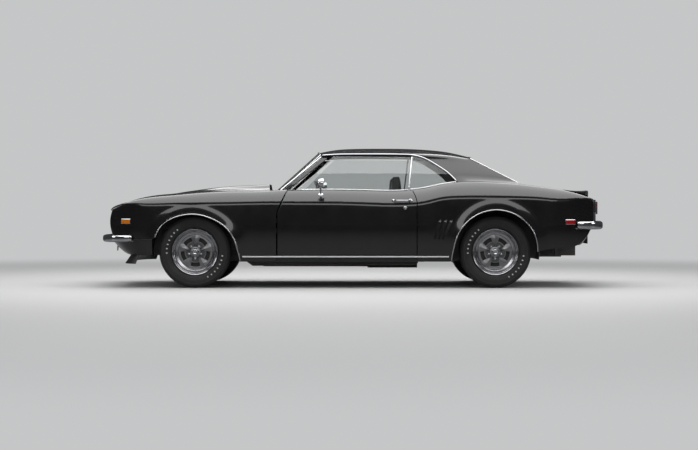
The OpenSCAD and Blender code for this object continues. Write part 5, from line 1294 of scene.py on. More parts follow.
def bumper(reach, wide, z, tall, end):
    t = np.linspace(-QUARTER_TURN, QUARTER_TURN, 97)[:, None]
    h = 0.5 * np.sin(np.linspace(-QUARTER_TURN, QUARTER_TURN, 21)[None, :])
    out = 1 - np.abs(2 * h)**5 + 0.09 * np.exp(-(h / 0.07)**2)
    cx, cy = bow(reach, wide, t)
    o = (np.minimum(out, 1.03) - 1) * BUMPER_T
    x, y = HALF_L - reach + cx + o * np.cos(t), cy + o * np.sin(t)
    w = BUMPER_T * 0.5
    face = points(end * np.minimum(x, HALF_L), y, z + tall * h)
    back = points(end * mix(x, HALF_L - reach, w / reach), y * (1 - w / wide), z + tall * h)
    return closed(face, back)


def valance_place(t, u):
    z = mix(VALANCE_LOW_Z, VALANCE_Z - 0.0022, u)
    cx, cy = bow(NOSE_X * mix(0.905, 0.985, u**0.6) - VALANCE_X, side_y(VALANCE_X, z) - 0.0003, t)
    return VALANCE_X + cx, cy, z


def chin_place(t, u):
    cx, cy = bow(NOSE_X * mix(0.93, 0.905, u) - VALANCE_X, side_y(VALANCE_X, VALANCE_LOW_Z) - 0.0003, t)
    return VALANCE_X + cx, cy, mix(VALANCE_LOW_Z * 0.74, VALANCE_LOW_Z - 0.0003, u)


def skirt_place(t, u):
    base, z = HALF_L * 0.86, BODY_H * mix(0.3, 0.465, u)
    cx, cy = bow(HALF_L * mix(0.9, 0.965, u**0.6) - base, side_y(-base, z) - SKIN_T * 1.2, t)
    x = -base - cx
    return x, np.sign(cy) * np.minimum(np.abs(cy), side_y(x, z) - SKIN_T * 1.4), z


add("front_bumper_blade", bumper(0.33, waist_y(HALF_L * 0.86) + BUMPER_T * 1.7, 0.451, 0.066, 1), CHROME,
    "body", ["front_bumper"])
add("rear_bumper_blade", bumper(0.297, waist_y(-HALF_L * 0.88) + BUMPER_T * 2, 0.572, 0.0759, -1), CHROME,
    "body", ["rear_bumper"])
turns, ups, valance_rims = np.linspace(-QUARTER_TURN, QUARTER_TURN, 73), np.linspace(0, 1, 12)**1.3, (0.0015,) * 4
valance = shell(plan_grid(turns, ups, valance_place), SKIN_T, valance_rims)
chin = shell(plan_grid(turns[8:-8], np.linspace(0, 1, 8), chin_place), 0, (0.002,) * 4, push=(-SKIN_T, 0, 0))
skirt = shell(plan_grid(-turns, np.linspace(0, 1, 14)**1.3, skirt_place), SKIN_T, valance_rims)
add("front_valance_skin", valance, PAINT, "body", ["front_valance"])
add("chin_spoiler_lip", chin, PLASTIC, "body", ["chin_spoiler"])
add("rear_valance_skin", skirt, PAINT, "body", ["rear_valance"])
print("ends wrapped")

# %% [markdown]
# The grille is two swept halves. A fine lattice of dark bars stands in a bright frame, ahead of a black
# backing. Each headlamp is built the way a real one works: a bowl that mirrors, a bulb, and a clear
# lens with flutes.

# %% Grille and headlamps
GRILLE_HALF, GRILLE_LOW_Z, GRILLE_H, GRILLE_DEPTH = HALF_W * 0.83, BODY_H * 0.385, BODY_H * 0.1575, 0.04
GRILLE_TOP_Z = GRILLE_LOW_Z + GRILLE_H
BAR_T, GRILLE_X = 0.007, NOSE_X - 0.044
LAMP_R = GRILLE_H * 0.44
LAMP_Y, LAMP_Z = BAR_T + GRILLE_HALF - LAMP_R * 1.35, GRILLE_LOW_Z + GRILLE_H / 2
LAMP_HOLE_R, SHORTEST_BAR = LAMP_R + BAR_T * 0.5, 0.004
ON_GRILLE = moved((GRILLE_X, 0, 0), math.atan(NOSE_SWEEP / float(seam_y(BONNET_FRONT_X))), "Z")
ON_LAMP = ON_GRILLE @ Matrix.Translation((0, LAMP_Y, LAMP_Z)) @ Matrix.Rotation(QUARTER_TURN, 4, "Y")


def clear_of_lamp(start, stop, middle, off):
    """Splits the span of a bar that would run through the lamp's ring."""
    if abs(off) >= LAMP_HOLE_R:
        return [(start, stop)]
    w = math.sqrt(LAMP_HOLE_R * LAMP_HOLE_R - off * off)
    return [(a, b) for a, b in ((start, middle - w), (middle + w, stop)) if b - a > SHORTEST_BAR]


def lattice():
    bars = []
    y0, y1 = BAR_T * 1.6, GRILLE_HALF
    for z in np.linspace(GRILLE_LOW_Z, GRILLE_TOP_Z, 12)[1:-1]:
        bars += [((0.010, a, z - 0.0022), (0.026, b, z + 0.0022)) for a, b in clear_of_lamp(y0, y1, LAMP_Y, z - LAMP_Z)]
    for y in np.linspace(y0, y1, 34)[1:-1]:
        spans = clear_of_lamp(GRILLE_LOW_Z + 0.006, GRILLE_TOP_Z - 0.006, LAMP_Z, y - LAMP_Y)
        bars += [((0.008, y - 0.0016, a), (0.020, y + 0.0016, b)) for a, b in spans]
    bars.append(((-0.004, 0.004, GRILLE_LOW_Z + 0.003), (0.0, GRILLE_HALF, GRILLE_TOP_Z - 0.003)))
    return placed(joined([box_solid(a, b, 0.0008) for a, b in bars]), ON_GRILLE)


def grille_rim():
    y0, y1, z0, z1 = BAR_T, BAR_T + GRILLE_HALF, GRILLE_LOW_Z, GRILLE_TOP_Z
    bars = [((0.0, y0, z0), (GRILLE_DEPTH, y1, z0 + 0.006)), ((0.0, y0, z1 - 0.006), (GRILLE_DEPTH, y1, z1)),
            ((0.0, y1 - 0.006, z0), (GRILLE_DEPTH, y1, z1))]
    return placed(joined([box_solid(a, b, 0.002) for a, b in bars]), ON_GRILLE)


def lamp_bowl():
    inside = [(0.084 * k, -0.034 + 0.05 * k**2) for k in np.linspace(0.12, 1, 10)]
    return lathe(inside + [(r + 0.004, z - 0.004) for r, z in inside[::-1]], 64)


def lamp_lens():
    rim = 0.0845
    front = [(rim * k, 0.038 - 0.011 * k**2.2) for k in np.linspace(0, 1, 12)]
    back = [(rim * k, 0.034 - 0.011 * k**2.2) for k in np.linspace(1, 0, 12)]
    verts, faces = disc(front + back, 72)
    flute = 0.0006 * np.sin(verts[:, 1] * 620) * (verts[:, 2] < 0.034)
    verts[:, 2] += flute * (np.hypot(verts[:, 0], verts[:, 1]) < rim * 0.95)
    return verts, faces


def on_both(solid, at):
    return mirror_pair(placed(solid, at))


LAMP_RING = [(0.0835, 0.020), (0.0835, 0.030), (0.0865, 0.0375), (0.0905, 0.0385), (0.0945, 0.035), (0.097, 0.024),
             (0.097, 0.0), (0.089, 0.0)]
BULB = [(0, -0.036), (0.008, -0.036), (0.008, -0.014), (0.011, -0.006), (0.0095, 0.003), (0.004, 0.008), (0, 0.009)]
BUCKET = [(0.090, 0.022), (0.094, 0.022), (0.094, -0.030), (0.05, -0.04), (0.012, -0.04), (0.012, -0.036),
          (0.048, -0.036), (0.090, -0.026)]
add("grille_lattice", mirror_pair(lattice()), PLASTIC, "body", ["grille"], crease=30)
middle = box_solid((GRILLE_X, -BAR_T * 2, GRILLE_LOW_Z), (GRILLE_X + GRILLE_DEPTH * 0.9, BAR_T * 2, GRILLE_TOP_Z))
add("grille_rims", joined([mirror_pair(grille_rim()), middle]), BRIGHT, crease=30)
add("lamp_bowls", on_both(lamp_bowl(), ON_LAMP), REFLECTOR, "body", ["headlamps"])
add("lamp_lenses", on_both(lamp_lens(), ON_LAMP), CLEAR_LENS)
add("lamp_rings", on_both(lathe(LAMP_RING, 72), ON_LAMP), CHROME, crease=40)
add("lamp_bulbs", on_both(disc(BULB, 20), ON_LAMP), REFLECTOR)
add("lamp_buckets", on_both(lathe(BUCKET, 48), ON_LAMP), STEEL)
print("grille and headlamps made")

# %% [markdown]
# Rear lamps sit in bright bezels on the bowed tail. Their lenses are pressed with fine ribs. Side
# markers and the round lamps in the front valance are made the same way.

# %% Tail, marker and park lamps
BEZEL = [(-0.005, -0.007), (-0.005, 0.006), (-0.003, 0.0085), (0.003, 0.0085), (0.005, 0.006), (0.005, -0.007)]
PARK_LENS = [(0, 0), (0.034, 0), (0.034, 0.009), (0.03, 0.0125), (0.018, 0.0155), (0, 0.0165)]
PARK_RING = [(0.0335, 0), (0.041, 0), (0.041, 0.007), (0.038, 0.012), (0.0335, 0.0115)]
PARK_Y, PARK_Z = 0.47, 0.372
RIB_PITCH = 0.0081


def tail_lamp():
    y = HALF_W * np.linspace(0.38, 0.78, 25)[::-1]
    z = BODY_H * np.linspace(0.525, 0.6, 49)
    yy, zz = np.meshgrid(y, z, indexing="ij")
    ribs = 0.0012 * np.sin((zz - z[0]) * 2 * math.pi / RIB_PITCH)
    return closed(points(tail_rear(yy) - 0.0138 + ribs, yy, zz), points(tail_rear(yy) - 0.001, yy, zz))


def tail_bezel():
    y0, y1, z0, z1 = HALF_W * 0.376, HALF_W * 0.784, BODY_H * 0.522, BODY_H * 0.603
    ys = np.linspace(y0, y1, 24)
    loop = [(y, z0) for y in ys] + [(y1, z) for z in np.linspace(z0, z1, 8)[1:-1]] + [(y, z1) for y in ys[::-1]]
    loop += [(y0, z) for z in np.linspace(z1, z0, 8)[1:-1]]
    path = np.array([(float(tail_rear(y)) - 0.008, y, z) for y, z in loop])
    posts = []
    for y in HALF_W * np.array([0.513, 0.647]):
        x = float(tail_rear(y))
        posts.append(box_solid((x - 0.0165, y - 0.004, z0), (x - 0.001, y + 0.004, z1), 0.002))
    return joined([loop_sweep(path, (-1.0, 0, 0), BEZEL)] + posts)


def marker(x, z, grow, low, high):
    """A lamp that lies on the side: a patch of the side between two heights above it."""
    u, v = np.meshgrid(np.linspace(1, -1, 13), np.linspace(-1, 1, 9), indexing="ij")
    xx, zz = x + u * (0.045 + grow), z + v * (0.023 + grow)
    y = side_y(xx, zz)
    dome = 1 - 0.35 * np.maximum(np.abs(u), np.abs(v))**6
    return closed(points(xx, y + mix(low, high, dome), zz), points(xx, y + low, zz))


def park_lamp():
    turn = math.asin((PARK_Y / float(side_y(VALANCE_X, PARK_Z)))**(BOW_POWER / 2))
    x, _, _ = valance_place(np.array(turn), np.array((PARK_Z - VALANCE_LOW_Z) / (VALANCE_Z - VALANCE_LOW_Z)))
    return moved((float(x) - 0.004, PARK_Y, PARK_Z), 0.12, "Z") @ Matrix.Rotation(QUARTER_TURN - 0.2, 4, "Y")


MARKERS = {"front": (HALF_L * 0.884, BODY_H * 0.468, AMBER_LENS), "rear": (-HALF_L * 0.847, BODY_H * 0.463, RED_LENS)}
AT_PARK = park_lamp()
add("tail_lenses", mirror_pair(tail_lamp()), RED_LENS, "body", ["tail_lamps"])
add("tail_bezels", mirror_pair(tail_bezel()), CHROME, crease=35)
for end, (x, z, lens) in MARKERS.items():
    add(f"marker_{end}_lenses", mirror_pair(marker(x, z, -0.004, 0.0002, 0.0062)), lens, "body", ["marker_lamps"])
    add(f"marker_{end}_bezels", mirror_pair(marker(x, z, 0.0, 0.0002, 0.0042)), CHROME)
add("park_lenses", on_both(disc(PARK_LENS, 40), AT_PARK), AMBER_LENS)
add("park_rings", on_both(lathe(PARK_RING, 48), AT_PARK), CHROME, crease=40)
print("lamps made")

# %% [markdown]
# Small bright parts make the scale of a car readable: mirrors on stalks, push-button handles and locks.
# They could be placed by eye, but a door that is reshaped would then leave them hanging in the air. So
# each one finds its place on the side from the same function as the panels.

# %% Mirrors, handles and locks
MIRROR_AT, MIRROR_FOOT_Z = (HALF_L * 0.124, HALF_W * 1.04, BODY_H * 0.735), BODY_H * 0.655
MIRROR_SHELL = [(0, -0.026), (0.0355, -0.026), (0.0375, -0.0285), (0.0405, -0.0285), (0.042, -0.026), (0.042, -0.012),
                (0.0395, 0.004), (0.034, 0.016), (0.025, 0.0245), (0.013, 0.0285), (0, 0.029)]
MIRROR_BASE = [(0, -0.004), (0.021, -0.004), (0.021, 0.003), (0.016, 0.007), (0, 0.008)]
MIRROR_GLASS = [(0, -0.0268), (0.0352, -0.0268), (0.0352, -0.0255), (0, -0.0255)]
HANDLE_FRONT_X, HANDLE_REAR_X, HANDLE_Z = -0.372, -0.540, 0.796
GRIP = [(-0.009, -0.003), (-0.007, 0.004), (0, 0.006), (0.007, 0.004), (0.009, -0.003), (0, -0.006)]
BUTTON = [(0, 0), (0.011, 0), (0.011, 0.012), (0.009, 0.0145), (0, 0.015)]
LOCK_X, LOCK_Z = -0.479, 0.730
LOCK = [(0, 0), (0.015, 0), (0.015, 0.005), (0.012, 0.0075), (0.006, 0.0075), (0.005, 0.006), (0, 0.006)]


def mirror_head():
    x, y, z = MIRROR_AT
    foot = np.array([x, float(side_y(x, MIRROR_FOOT_Z)), MIRROR_FOOT_Z])
    path = line([foot + [0, -0.004, 0], foot + [0, 0.012, 0.022], [x, mix(foot[1], y, 0.62), z - 0.055],
                 [x, y, z - 0.036]], 20)
    stalk = sweep(relaxed(path, 3), AHEAD, round_section(0.008, 14))
    return joined([put(disc(MIRROR_SHELL, 48), MIRROR_AT, QUARTER_TURN, "Y"), stalk,
                   put(disc(MIRROR_BASE, 28), foot, math.radians(-52), "X")])


def on_skin(profile, steps, x, z, lift):
    """A turned part that stands out from the side."""
    return put(disc(profile, steps), (x, float(side_y(x, z)) + lift, z), -QUARTER_TURN, "X")


def handle():
    xs, s = np.linspace(HANDLE_FRONT_X, HANDLE_REAR_X, 30), np.linspace(-1, 1, 30)
    bar = points(xs, side_y(xs, HANDLE_Z) + 0.004 + 0.02 * (1 - np.abs(s)**4), HANDLE_Z)
    parts = [sweep(bar, OUT, GRIP)]
    for x, r in ((HANDLE_FRONT_X, 0.016), (HANDLE_REAR_X + 0.012, 0.019)):
        parts.append(on_skin([(0, 0), (r, 0), (r, 0.006), (r * 0.8, 0.011), (0, 0.013)], 28, x, HANDLE_Z, -0.003))
    y = float(side_y(HANDLE_REAR_X, HANDLE_Z)) + 0.012
    parts.append(put(disc(BUTTON, 24), (HANDLE_REAR_X + 0.024, y, HANDLE_Z), -QUARTER_TURN, "X"))
    parts.append(on_skin(LOCK, 28, LOCK_X, LOCK_Z, -0.003))
    return joined(parts)


HEADS, HANDLES = both(mirror_head()), both(handle())
MIRROR_FACES = both(put(disc(MIRROR_GLASS, 40), MIRROR_AT, QUARTER_TURN, "Y"))
for side in SIDES:
    add(f"mirror_{side}_shell", HEADS[side], CHROME, f"door_{side}", [f"mirrors_{side}"], crease=50)
    add(f"mirror_{side}_face", MIRROR_FACES[side], REFLECTOR, f"door_{side}")
    add(f"handle_{side}", HANDLES[side], CHROME, f"door_{side}", crease=45)
print("mirrors and handles made")

# %% [markdown]
# A rocker moulding runs along the sill, and thin lips follow the arches. Both are one small section
# carried along a line on the side. Ahead of the rear wheel three shallow gills are pressed into the
# quarter. They are bars whose section shrinks towards both ends, laid on the skin.

# %% Rocker and arch mouldings, gills
ROCKER_Z = 0.286
ROCKER = [(-0.0065, -0.006), (-0.0065, 0.003), (-0.004, 0.006), (0.004, 0.006), (0.0065, 0.003), (0.0065, -0.006)]
GILL = np.array([(-0.017, -0.002), (-0.015, 0.0008), (0.008, 0.0062), (0.0105, 0.0048), (0.012, -0.002)])


def on_side(flat, out):
    return points(flat[:, 0], side_y(flat[:, 0], flat[:, 1]) + out, flat[:, 1])


def lip(axle, arch, start, stop):
    path = on_side(arch_at(axle, arch, np.linspace(start, stop, 80)), -0.0005)
    return sweep(path, OUT, moulding_section(0.009, 0.004))


def gill(k):
    top, low = np.array([-0.800 - 0.052 * k, 0.622]), np.array([-0.742 - 0.036 * k, 0.425])
    s = np.linspace(0, 1, 26)
    path = on_side(mix(top, low, s[:, None]), -0.001)
    width = np.clip(np.minimum(s, 1 - s) * 14, 0.25, 1)[:, None, None]
    across = unit(np.cross(OUT, unit(np.gradient(path, axis=0))))
    return bar_solid(path[:, None] + across[:, None] * GILL[None, :, :1] * width
                     + np.array(OUT) * GILL[None, :, 1:] * width)


xs = np.linspace(1.006, -0.877, 90)
rocker = sweep(points(xs, side_y(xs, ROCKER_Z) - 0.003, ROCKER_Z), OUT, ROCKER)
add("rocker_mouldings", mirror_pair(rocker), SATIN, crease=50)
lips = [mirror_pair(lip(FRONT_X, FRONT_ARCH, 20, 192)), mirror_pair(lip(REAR_X, REAR_ARCH, -12, 180))]
add("arch_lips", joined(lips), BRIGHT)
add("quarter_gills", mirror_pair(joined([gill(k) for k in range(3)])), PAINT, crease=40)
print("mouldings made")

# %% [markdown]
# Seen through the arches, the body is closed by liners. They are wider than the arch, so that a
# steered tyre keeps clear of them. The rear ones have an inner wall.

# %% Wheelhouse liners
def liner(axle, radius, inner_y, start, stop, wall):
    a = np.radians(np.linspace(start, stop, 40))
    c, s = np.cos(a), np.sin(a)
    x, z = axle + radius * c, HUB_Z + radius * s
    outer_y = side_y(x, z) - 0.02
    rows = [points(axle + radius * k * c, inner_y, HUB_Z + radius * k * s) for k in wall]
    g = np.array(rows + [points(x, mix(inner_y, outer_y, t), z) for t in np.linspace(0, 1, 6)])
    return closed(g, g + normals(g) * 0.003)


liners = [mirror_pair(liner(FRONT_X, 0.418, 0.442, -6, 186, ())),
          mirror_pair(liner(REAR_X, 0.398, 0.605, -14, 190, (0.35, 0.7, 0.97)))]
add("wheelhouse_liners", joined(liners), STEEL, crease=40)
print("liners made")

# %% [markdown]
# The cabin shows through the glass and whenever a door opens. The bucket seats are soft, so they are
# not drawn but blown up: a plain block in the seat's outline becomes a tight skin, cloth simulation
# presses it outwards from inside while the seams hold it, and the result is kept as a mesh. Pleats
# are seams too: their points stay pinned, and the vinyl swells between them.

# %% Padded seats
SEAT_Y, SEAT_W, SEAT_FOOT_Z = HALF_W * 0.43, 0.43, 0.2463
SEAT_SWELL, SEAM_NEAR, PAD_R, PAD_END = 0.014, 0.007, 0.016, 1 - 0.12
PRESSURE, CLOTH_FRAMES = 4.0, 20


def pad_block(outline, y0, y1):
    """A rounded block from a side outline."""
    p = np.array(outline)
    mid, corners = p.mean(0), []
    for y, grow in ((y0, PAD_END), (y0 + PAD_R, 1), (y1 - PAD_R, 1), (y1, PAD_END)):
        for a, b in zip(p, np.roll(p, -1, 0)):
            for q in (mix(a, b, 0.08), mix(a, b, 0.92)):
                corners.append((mid[0] + (q[0] - mid[0]) * grow, y, mid[1] + (q[1] - mid[1]) * grow))
    return hulled(corners)


def pleats(ys, axis, low, high):
    """The distance to seams at given widths, which run along an axis between two places."""
    def distance(co):
        along = getattr(co, axis)
        off = 0.0 if low < along < high else min(abs(along - low), abs(along - high))
        return min(abs(co.y - y) for y in ys) + off * 4
    return distance


def puff(piece, seam):
    """Blows a skin up with cloth simulation, keeps its seams, and caps how far it moves."""
    group = piece.vertex_groups.new(name="seams")
    group.add([v.index for v in piece.data.vertices if seam(v.co) < SEAM_NEAR], 1.0, "REPLACE")
    before = np.array([v.co for v in piece.data.vertices])
    cloth = piece.modifiers.new("cloth", "CLOTH")
    s = cloth.settings
    s.quality, s.mass, s.use_pressure, s.uniform_pressure_force = 5, 0.3, True, PRESSURE
    s.tension_stiffness = s.compression_stiffness = 40
    s.bending_stiffness = 4
    s.vertex_group_mass, s.effector_weights.gravity = "seams", 0.0
    cloth.point_cache.frame_end = CLOTH_FRAMES
    scene = bpy.context.scene
    for f in range(1, CLOTH_FRAMES + 1):
        scene.frame_set(f)
    apply_modifiers(piece)
    scene.frame_set(1)
    step = np.array([v.co for v in piece.data.vertices]) - before
    far = np.linalg.norm(step, axis=1, keepdims=True)
    after = before + step * np.minimum(1, SEAT_SWELL / np.maximum(far, 1e-9))
    piece.data.vertices.foreach_set("co", after.ravel())
    piece.data.update()


def soft(name, outline, y0, y1, seam, node_name, voxel=0.012):
    piece = add(name, pad_block(outline, y0, y1), VINYL, "body", [node_name])
    even = piece.modifiers.new("even", "REMESH")
    even.mode, even.voxel_size = "VOXEL", voxel
    apply_modifiers(piece)
    puff(piece, seam)
    piece.modifiers.new("fine", "SUBSURF").levels = 1
    apply_modifiers(piece)
    piece.data.materials.clear()
    piece.data.materials.append(VINYL)
    piece.data.polygons.foreach_set("use_smooth", [True] * len(piece.data.polygons))
    return piece


def other_side(piece):
    """The same pad for the right seat, mirrored."""
    verts = np.array([v.co for v in piece.data.vertices]) * [1, -1, 1]
    faces = [list(f.vertices)[::-1] for f in piece.data.polygons]
    twin = add(piece.name.replace("left", "right"), (verts, faces), VINYL, "body", ["front_seats"])


REAR_FLOOR_Z, HEEL_X, REAR_HALF = HUB_Z + 0.101, -HALF_L * 0.28, HALF_W * 0.6
h, c, w = BODY_H, SEAT_Y, SEAT_W / 2 - SEAT_SWELL
ys = [c + k * 0.052 for k in (-2, -1, 0, 1, 2)] + [c - w + 0.05, c + w - 0.05]
FRONT_PADS = {
    "cushion": ([(h * 0.12, 0.30), (h * 0.12, h * 0.34), (-h * 0.155, h * 0.31), (-h * 0.185, 0.30)],
                c - w, c + w, pleats(ys, "x", -0.17, 0.12)),
    "back": ([(-h * 0.165, h * 0.30), (-h * 0.252, h * 0.655), (-h * 0.345, h * 0.655), (-h * 0.295, h * 0.30)],
             c - w + 0.01, c + w - 0.01, pleats(ys, "z", 0.43, 0.80)),
    "head": ([(-h * 0.275, h * 0.665), (-h * 0.285, h * 0.785), (-h * 0.338, h * 0.785), (-h * 0.352, h * 0.665)],
             c - 0.13, c + 0.13, pleats([c - 0.1, c + 0.1], "z", 0.87, 1.02))}
pads = [soft(f"seat_{part}_left", *shape, "front_seats") for part, shape in FRONT_PADS.items()]
for pad in pads:
    other_side(pad)
ys = [k * 0.054 for k in range(-8, 9) if abs(k) > 1] + [0.03, -0.03]
REAR_PADS = {
    "cushion": ([(HEEL_X - 0.012, REAR_FLOOR_Z + 0.024), (HEEL_X - 0.012, REAR_FLOOR_Z + 0.118),
                 (-HALF_L * 0.42 + 0.01, REAR_FLOOR_Z + 0.085), (-HALF_L * 0.43, REAR_FLOOR_Z + 0.024)],
                pleats(ys, "x", -0.99, -0.65)),
    "backrest": ([(-HALF_L * 0.425, REAR_FLOOR_Z + 0.09), (-HALF_L * 0.463, COWL_Z - 0.014),
                  (-HALF_L * 0.503, COWL_Z - 0.014), (-HALF_L * 0.46, REAR_FLOOR_Z + 0.03)],
                 pleats(ys, "z", 0.53, 0.84))}
for part, (outline, seam) in REAR_PADS.items():
    soft(f"rear_{part}", outline, -REAR_HALF + 0.014, REAR_HALF - 0.014, seam, "rear_seat", 0.015)
print("seats blown up")

# %% [markdown]
# Under each front seat a plinth stands on the floor, as in the solid it replaces. Steel pins carry the
# head rests, and round covers hide the hinges of the seat's back.

# %% Seat frames and hinges
def seat_frame(sign):
    c = sign * SEAT_Y
    base = box_solid((-0.34, c - 0.2, SEAT_FOOT_Z), (0.14, c + 0.2, 0.312), 0.01)
    return joined([base] + [round_bar([(-0.402, c + d, 0.84), (-0.41, c + d, 0.90)], 6, AHEAD, 0.006, 10)
                            for d in (-0.06, 0.06)])


def hinge_cover(sign, inner):
    cover = disc([(0, -0.006), (0.03, -0.006), (0.03, 0.004), (0.024, 0.007), (0, 0.008)], 28)
    return put(cover, (-0.255, sign * SEAT_Y + inner * (SEAT_W / 2 - 0.004), 0.40), QUARTER_TURN, "X")


add("seat_frames", joined([seat_frame(s) for s in SIDES.values()]), PLASTIC, crease=35)
add("seat_hinges", joined([hinge_cover(s, i) for s in SIDES.values() for i in (-1, 1)]), BRIGHT, crease=35)
print("seat frames made")

# %% [markdown]
# The dash follows the outline of its solid. A padded brow overhangs two round dials, a strip of dark
# plastic carries knobs, a radio and vents, and a glove box lid sits on the other side.

# %% Dash and steering wheel
DASH_HALF, DASH_TOP, FACE_X = HALF_W * 0.7, COWL_Z - 0.0103, HALF_L * 0.198
DASH_SHARES = [(0.27, 0.5), (0.2, 0.5), (0.196, 0.52), (0.1995, 0.545), (0.1965, 0.60), (0.189, 0.612),
               (0.1865, 0.628), (0.191, 0.642), (0.205, 0.649)]
HELM_AT, HELM_TILT = (HALF_L * 0.12, HALF_W * 0.41, BODY_H * 0.62), math.radians(112)
HELM_R, HELM_TUBE, HELM_Y = 0.195, 0.012, HELM_AT[1]
KNOB = [(0, 0), (0.012, 0), (0.012, 0.004), (0.009, 0.006), (0.009, 0.018), (0.006, 0.021), (0, 0.021)]
AT_HELM = moved(HELM_AT, HELM_TILT, "Y")


def dash_pad():
    outline = np.array([(HALF_L * x, BODY_H * z) for x, z in DASH_SHARES]
                       + [(HALF_L * 0.235, DASH_TOP), (HALF_L * 0.27, DASH_TOP)])
    c, d = outline.mean(0), DASH_HALF
    rings = []
    for y in np.r_[-d, -d + 0.006, np.linspace(-d + 0.02, d - 0.02, 30), d - 0.006, d]:
        k = 0.994 if abs(y) == d else 1.0
        rings.append([(c[0] + (x - c[0]) * k, y, c[1] + (z - c[1]) * k) for x, z in outline])
    return bar_solid(np.array(rings))


def facing_dash(y, z):
    """Local Z points back to the driver."""
    return moved((FACE_X, y, z), -QUARTER_TURN, "Y")


def dials():
    faces, rings, marks = [], [], []
    for y, r in ((HELM_Y - 0.085, 0.058), (HELM_Y + 0.085, 0.058), (HELM_Y - 0.19, 0.028), (HELM_Y + 0.19, 0.028)):
        at = facing_dash(y, BODY_H * 0.572)
        faces.append(placed(disc([(0, 0), (r, 0), (r, 0.006), (0, 0.006)], 40), at))
        ring = [(r, 0), (r + 0.008, 0), (r + 0.008, 0.009), (r + 0.004, 0.013), (r, 0.011)]
        rings.append(placed(lathe(ring, 40), at))
        needle = box_solid((-0.0014, -r * 0.2, 0.0075), (0.0014, r * 0.82, 0.009), 0.0005)
        marks.append(placed(needle, at @ Matrix.Rotation(math.radians(120), 4, "Z")))
        tick = box_solid((-0.0009, r * 0.84, 0.0062), (0.0009, r * 0.96, 0.0072), 0.0003)
        marks += [placed(tick, at @ Matrix.Rotation(float(a), 4, "Z")) for a in np.radians(np.arange(-130, 131, 20))]
    return joined(faces), joined(rings), joined(marks)


def dash_fittings():
    knobs = [placed(disc(KNOB, 20), facing_dash(y, BODY_H * 0.548)) for y in (0.10, 0.145, -0.05, -0.095)]
    radio = box_solid((FACE_X - 0.008, -0.075, BODY_H * 0.562), (FACE_X + 0.01, 0.125, BODY_H * 0.594), 0.003)
    glove = box_solid((FACE_X - 0.005, -0.56, BODY_H * 0.525), (FACE_X + 0.01, -0.20, BODY_H * 0.595), 0.004)
    vents = [box_solid((FACE_X - 0.006, y - 0.035, BODY_H * 0.556), (FACE_X + 0.01, y + 0.035, BODY_H * 0.59), 0.003)
             for y in (-0.585, 0.585)]
    return joined([radio, glove] + vents), joined(knobs)


def helm():
    ring = lathe([(HELM_R - HELM_TUBE + HELM_TUBE * math.cos(a), HELM_TUBE * math.sin(a))
                  for a in np.linspace(0, 2 * math.pi, 16, endpoint=False)], 80)
    hub = disc([(0, -0.012), (0.03, -0.014), (0.05, -0.011), (0.0546, -0.004), (0.0546, 0.006), (0.048, 0.012),
                (0, 0.012)], 48)
    return placed(joined([ring, hub]), AT_HELM)


def helm_spokes():
    bar = box_solid((0.045, -0.0144, -0.0048), (HELM_R - HELM_TUBE, 0.0144, 0.0048), 0.003)
    return placed(joined([put(bar, (0, 0, 0), math.radians(a)) for a in (0, 120, 240)]), AT_HELM)


def steering_column():
    tube = disc([(0, 0.0144), (0.026, 0.0144), (0.028, 0.018), (0.028, 0.27), (0, 0.2744)], 32)
    pin = disc([(0, -0.024), (0.0084, -0.024), (0.0084, 0.016), (0, 0.016)], 24)
    stalk = round_bar([(0, 0.02, 0.05), (0, 0.13, 0.045)], 8, UP, 0.004, 8)
    return placed(joined([tube, pin, stalk]), AT_HELM)


add("dash_pad", dash_pad(), TRIM_VINYL, "body", ["dashboard"], crease=40)
plain, knobs = dash_fittings()
dial_faces, dial_rings, dial_marks = dials()
add("dash_fittings", plain, PLASTIC, crease=35)
add("dash_knobs", joined([knobs, dial_rings]), BRIGHT, crease=40)
add("dial_faces", dial_faces, PLASTIC, crease=40)
add("dial_marks", dial_marks, DIAL, smooth=False)
add("steering_column", steering_column(), PLASTIC, crease=40)
add("helm_rim", helm(), PLASTIC, "steering_wheel", ["steering_wheel"], crease=50)
add("helm_spokes", helm_spokes(), BRIGHT, "steering_wheel", crease=40)
print("dash made")

# %% [markdown]
# Last in the cabin come the flat linings: carpet on the floor and tunnel, a console with a gear lever,
# door cards with arm rests and window winders, a roof lining, pedals and the inside mirror.

# %% Linings and controls
GEAR_KNOB = [(0, -0.022), (0.012, -0.02), (0.022, -0.008), (0.023, 0.004), (0.017, 0.016), (0, 0.021)]
CARPET_LINE = [(-0.73, 0.2475), (-0.165, 0.2475), (-0.112, 0.42), (-0.105, 0.4275), (0.105, 0.4275), (0.112, 0.42),
               (0.165, 0.2475), (0.73, 0.2475)]
CONSOLE = ((0.36, 0.085, 0.428), (-0.30, 0.085, 0.428), (0.40, 0.07, 0.53), (0.30, 0.075, 0.545), (-0.28, 0.075, 0.485))
WINDER_BASE = [(0, -0.001), (0.018, -0.001), (0.018, 0.008), (0.012, 0.014), (0, 0.015)]
WINDER_KNOB = [(0, 0.015), (0.008, 0.015), (0.011, 0.022), (0.011, 0.042), (0.006, 0.047), (0, 0.047)]
PULL_BASE = [(0, -0.001), (0.014, -0.001), (0.014, 0.006), (0, 0.008)]


def tunnel_carpet():
    g = np.array([[(x, y, z) for y, z in CARPET_LINE[::-1]] for x in np.linspace(0.85, -0.64, 8)])
    return closed(g, g - [0, 0, 0.001])


def door_card():
    x, z = np.meshgrid(np.linspace(0.60, -0.52, 20), np.linspace(0.315, 0.86, 10), indexing="ij")
    g = points(x, side_y(x, z) - DOOR_T - 0.0005, z)
    return closed(g - [0, 0.004, 0], g)


def on_card(x, z):
    return x, float(side_y(x, z)) - DOOR_T - 0.0045, z


